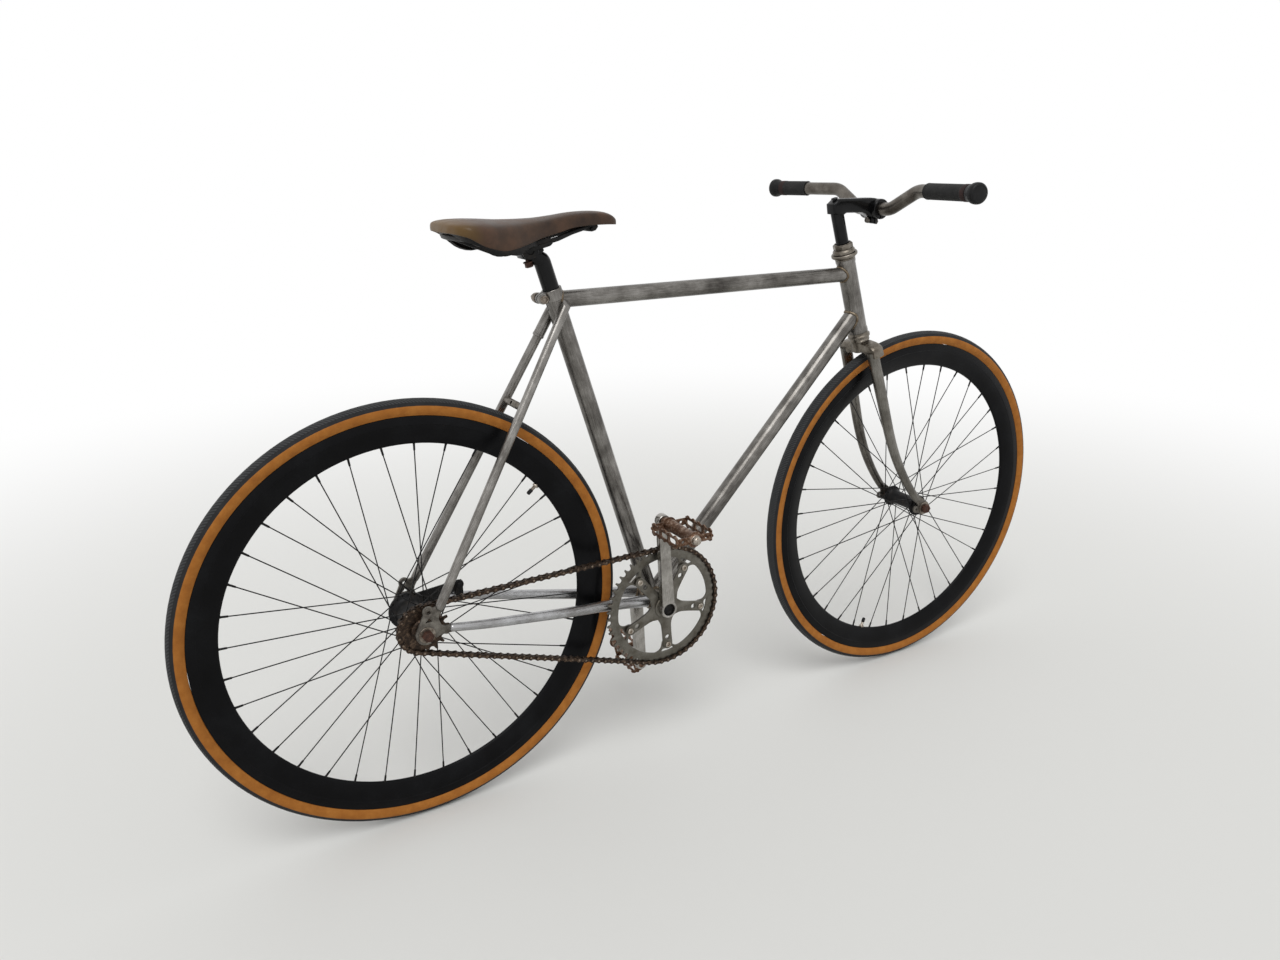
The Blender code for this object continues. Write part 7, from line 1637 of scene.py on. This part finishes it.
def saddle_clamp():
    """The clamp's two jaws with their ribbed ends, and the bolt that draws them together."""
    place = axes_place(CRADLE, RAIL_AHEAD, RAIL_UP, -ACROSS)
    lower = [
        (-0.0235, 0.0), (-0.0220, -0.0050), (-0.0170, -0.0066), (0.0180, -0.0062), (0.0225, -0.0040),
        (0.0235, 0.0),
    ]
    upper = [
        (0.0235, 0.0004), (0.0215, 0.0046), (0.0150, 0.0064), (-0.0150, 0.0064), (-0.0215, 0.0046),
        (-0.0235, 0.0004),
    ]
    pieces = [flat_plate("jaw", [jaw], 0.0510, place, 0.0012) for jaw in (lower, upper)]
    disc = [
        (0.0, 0.0), (0.0118, 0.0), (0.0126, 0.0008), (0.0126, 0.0040), (0.0118, 0.0048), (0.0060, 0.0048),
        (0.0050, 0.0036), (0.0, 0.0036),
    ]
    for side in (-1, 1):
        outer = CRADLE - RAIL_AHEAD * 0.0100 - RAIL_UP * 0.0060 + ACROSS * side * 0.0125
        pieces.append(lathe("ribbed_end", disc, outer, ACROSS * side, 36))
    piece = joined("saddle_clamp_jaws", pieces)
    finish(piece, BLACK_STEEL, "black_steel", "seatpost", "saddle_clamp")
    at = CRADLE - RAIL_AHEAD * 0.0110
    bolt = [
        bar("bolt", at - RAIL_UP * 0.0280, at + RAIL_UP * 0.0105, 0.0035, 20),
        bar("nut", at + RAIL_UP * 0.0068, at + RAIL_UP * 0.0115, 0.0065, 6, 0.0006),
        bar("head", at - RAIL_UP * 0.0310, at - RAIL_UP * 0.0240, 0.0062, 6, 0.0006, 0.0010),
        bar("washer", at - RAIL_UP * 0.0240, at - RAIL_UP * 0.0226, 0.0078, 24, 0.0004),
    ]
    finish(joined("rusty_clamp_bolt", bolt), RUSTED, "rusty_steel", "seatpost", "saddle_clamp_bolt")


saddle_cover()
saddle_tray()
rails()
seatpost()
saddle_clamp()


# Stem, handlebar and grips

BAR_CENTRE = HEAD_TOP + Vector((0.059905, 0, 0.081788))  # the middle of the stem's clamp
BAR_RADIUS = 0.0111
BAR_BEND = 0.0990  # how far from the middle the bar's outer parts begin
BAR_END = 0.2500
QUILL_RADIUS = 0.0111
QUILL_DEPTH = 0.0750
CLAMP_LEAN = math.radians(9.8)
CLAMP_DOWN = Vector((-math.sin(CLAMP_LEAN), 0, -math.cos(CLAMP_LEAN)))
CLAMP_ACROSS = Vector((CLAMP_DOWN.z, 0, -CLAMP_DOWN.x))


def on_quill(above_bar):
    """The point of the quill's axis this far above the bar's height."""
    return HEAD_TOP + UP * ((BAR_CENTRE.z + above_bar - HEAD_TOP.z) / UP.z)


def stem():
    """A forged quill stem, painted gloss black: quill, level extension, split clamp and lug."""
    quill_top = on_quill(0.0135)
    quill = bar("quill", HEAD_TOP - UP * QUILL_DEPTH, quill_top, QUILL_RADIUS, 48, 0.0010)
    back = quill_top.x - BAR_CENTRE.x - 0.01277  # where the extension ends, behind the quill
    outline = [(0.0020, 0.0168), (-0.0060, 0.0186), (-0.0160, 0.0194)] + shifted([
        (0.0160, 0.0195), (0.0110, 0.0178), (0.0012, 0.0105), (0.0040, -0.0060), (0.0250, -0.0090),
        (0.0290, -0.0062), (0.0330, -0.0045),
    ], back) + [(-0.0340, -0.0052), (-0.0240, -0.0082), (-0.0120, -0.0140), (0.0020, -0.0168)]
    extension = flat_plate("extension", [outline], 0.0232, side_place(BAR_CENTRE), 0.0048, rounds=3)
    side = [(0.0114, 0.0200), (0.0158, 0.0200), (0.0170, 0.0190), (0.0173, 0.0170)][::-1]
    barrel = lathe("barrel", flipped(side) + side, BAR_CENTRE, ACROSS)
    ear = [
        (-0.0075, -0.0120), (-0.0075, -0.0215), (-0.0050, -0.0250), (0.0050, -0.0250), (0.0075, -0.0215),
        (0.0075, -0.0120),
    ]
    place = axes_place(BAR_CENTRE, CLAMP_ACROSS, -CLAMP_DOWN, CLAMP_ACROSS.cross(-CLAMP_DOWN))
    lug = flat_plate("lug", [ear], 0.0150, place, 0.0016, rounds=2)
    slit = block("slit", place @ Matrix.Translation((0, -0.0200, 0)), (0.0024, 0.0300, 0.0600))
    bore = bar("bore", BAR_CENTRE - ACROSS * 0.04, BAR_CENTRE + ACROSS * 0.04, 0.0114, 48)
    for shape in (extension, lug):
        for cutter in (bore, slit):
            drilled(shape, [copied(cutter, "cut", Matrix())])
    drilled(barrel, [slit])
    discard(bore)
    piece = joined("gloss_black_stem", [quill, extension, barrel, lug])
    finish(piece, GLOSS, "black_alloy", "stem", "stem")


def stem_bolts():
    """The clamp's bolt across its lug, and the expander's bolt down through the quill."""
    at = BAR_CENTRE + CLAMP_DOWN * 0.0205
    across = CLAMP_ACROSS
    bolt = [
        bar("bolt", at - across * 0.0110, at + across * 0.0120, 0.0030, 20),
        bar("head", at + across * 0.0078, at + across * 0.0125, 0.0052, 32, 0.0006, 0.0015),
        bar("nut", at - across * 0.0115, at - across * 0.0078, 0.0052, 6, 0.0006),
    ]
    finish(joined("stem_clamp_bolt", bolt), OILED, "black_steel", "stem", "stem_binder_bolt")
    surface = on_quill(0.0195)
    foot = HEAD_TOP - UP * (QUILL_DEPTH + 0.0003)
    expander = [
        bar("wedge", foot - UP * 0.0300, foot, QUILL_RADIUS, 32, 0.0012),
        bar("shaft", foot - UP * 0.01, surface + UP * 0.0008, 0.0040, 24),
        bar("socket_head", surface - UP * 0.0004, surface + UP * 0.0010, 0.0058, 32, 0.0004, 0.0006),
    ]
    finish(joined("stem_expander", expander), BLACK_STEEL, "black_steel", "stem", "stem_expander_bolt")


def along_bar(y):
    """The point of the bar's straight outer part at the distance y from the middle plane."""
    share = (abs(y) - BAR_BEND) / (BAR_END - BAR_BEND)
    return BAR_CENTRE + Vector((0.0040 - 0.0290 * share, y, 0.0315))


def handlebar():
    """A low riser bar of bare steel: level in the clamp, then up, out and back to its ends."""
    half = [BAR_CENTRE, BAR_CENTRE + ACROSS * 0.0400, along_bar(BAR_BEND), along_bar(BAR_END)]
    left = rounded_path(half, 0.0420, 10)[1:]
    piece = wire("brushed_riser_bar", across_mirrored(left) + left, BAR_RADIUS, 40)
    finish(piece, BAR_STEEL, "raw_steel", "stem", "handlebar")


def grip(word, side, start_y):
    """A thin rubber grip with rolled ends and ribs round it, a smooth end band and a mushroom cap."""
    start, end = along_bar(side * start_y), along_bar(side * 0.2320)
    length = (end - start).length
    rib = 0.0040
    outline = [(0.0114, 0.0), (0.0128, 0.0), (0.0133, 0.0005), (0.0133, 0.0022), (0.0129, 0.0028)]
    for ring in range(int((length - 0.0180) / rib)):
        outline += shifted([
            (0.0129, 0.0), (0.0131, 0.0008), (0.0131, 0.0032), (0.0129, 0.0040),
        ], up=rib * (ring + 1))
    outline += shifted([
        (0.0129, -0.0125), (0.0133, -0.0120), (0.0135, -0.0100), (0.0135, -0.0020), (0.0132, 0.0),
        (0.0114, 0.0),
    ], up=length)
    piece = lathe("rubber_grip_" + word, outline, start, end - start)
    coat(piece, GRIP_RUBBER, GRIP_BAND)
    out = (end - start).normalized()
    for face in piece.data.polygons:
        face.material_index = 1 if (face.center - start).dot(out) > length - 0.0110 else 0
    hang(piece, "grip_rubber", "stem", "grip_" + word)
    cap = [
        (0.0, 0.0180), (0.0114, 0.0180), (0.0114, 0.0), (0.0126, 0.0), (0.0130, 0.0006), (0.0134, 0.0030),
        (0.0140, 0.0062), (0.0150, 0.0090), (0.0160, 0.0110), (0.0164, 0.0130), (0.0165, 0.0165),
        (0.0163, 0.0190), (0.0158, 0.0204), (0.0148, 0.0219), (0.0132, 0.0229), (0.0122, 0.0231),
        (0.0116, 0.0227), (0.0080, 0.0232), (0.0040, 0.0236), (0.0, 0.0237),
    ]
    piece = lathe("mushroom_cap_" + word, cap, along_bar(side * 0.2324), out)
    finish(piece, PLASTIC, "black_plastic", "stem", "bar_cap_" + word)


stem()
stem_bolts()
handlebar()
grip("right", -1, 0.1270)
grip("left", 1, 0.1705)


# Floor, light and camera

def seen_rays(tree):
    """One for rays from the camera, a mirror or glass, and nought for those that light the object."""
    rays = add(tree, "ShaderNodeLightPath").outputs
    seen = add(tree, "ShaderNodeMath", {
        0: rays["Is Camera Ray"], 1: rays["Is Glossy Ray"],
    }, operation="ADD")
    return add(tree, "ShaderNodeMath", {
        0: seen, 1: rays["Is Transmission Ray"],
    }, operation="ADD", use_clamp=True)


def studio():
    """A pale floor that fades into the white round it, and an even white sky."""
    nothing_selected()
    bpy.ops.mesh.primitive_plane_add(size=60.0, location=(0, 0, -0.0005))
    floor = named("floor")
    material, tree, shader, place = new_material("pale_floor")
    feed(tree, shader, {"Base Color": linear("dededb"), "Roughness": 0.6})
    far = add(tree, "ShaderNodeVectorMath", {0: place}, operation="LENGTH").outputs["Value"]
    fade = add(tree, "ShaderNodeMapRange", {
        "Value": far, "From Min": 0.9, "From Max": 3.4,
    }, interpolation_type="SMOOTHSTEP")
    share = add(tree, "ShaderNodeMath", {0: seen_rays(tree), 1: fade}, operation="MULTIPLY")
    white = add(tree, "ShaderNodeEmission", {"Color": (1, 1, 1, 1), "Strength": 1.0})
    mixed = add(tree, "ShaderNodeMixShader", {0: share, 1: shader, 2: white})
    feed(tree, tree.nodes["Material Output"], {"Surface": mixed})
    coat(floor, material)

    world = bpy.data.worlds.new("studio")
    bpy.context.scene.world = world
    world.use_nodes = True
    tree = world.node_tree
    strength = add(tree, "ShaderNodeMapRange", {"Value": seen_rays(tree), "To Min": 0.62, "To Max": 1.0})
    feed(tree, tree.nodes["Background"], {"Color": (1, 1, 1, 1), "Strength": strength})


def soft_sun(name, away, strength, width):
    """A broad soft light that shines from the direction away."""
    nothing_selected()
    bpy.ops.object.light_add(type="SUN", location=Vector(away) * 3)
    light = bpy.context.object
    light.name = name
    light.data.energy = strength
    light.data.angle = math.radians(width)
    light.rotation_euler = (-Vector(away)).to_track_quat("-Z", "Y").to_euler()


def camera():
    """The photograph's view, solved from the wheels and the tubes."""
    view = Vector((0.46736, 0.82495, -0.31786))
    up = Vector((0.16828, 0.26996, 0.94805))
    eye = (-0.84544, -1.3038, 0.9933)
    right = view.cross(up).normalized()
    data = bpy.data.cameras.new("camera")
    data.sensor_width = 36.0
    data.lens = 26.77
    holder = bpy.data.objects.new("camera", data)
    bpy.context.scene.collection.objects.link(holder)
    holder.matrix_world = axes_place(eye, right, right.cross(view), -view)
    bpy.context.scene.camera = holder


studio()
soft_sun("ceiling_light", (-0.35, -0.55, 1.0), 1.35, 38.0)
camera()
bpy.context.scene.view_settings.view_transform = "Standard"
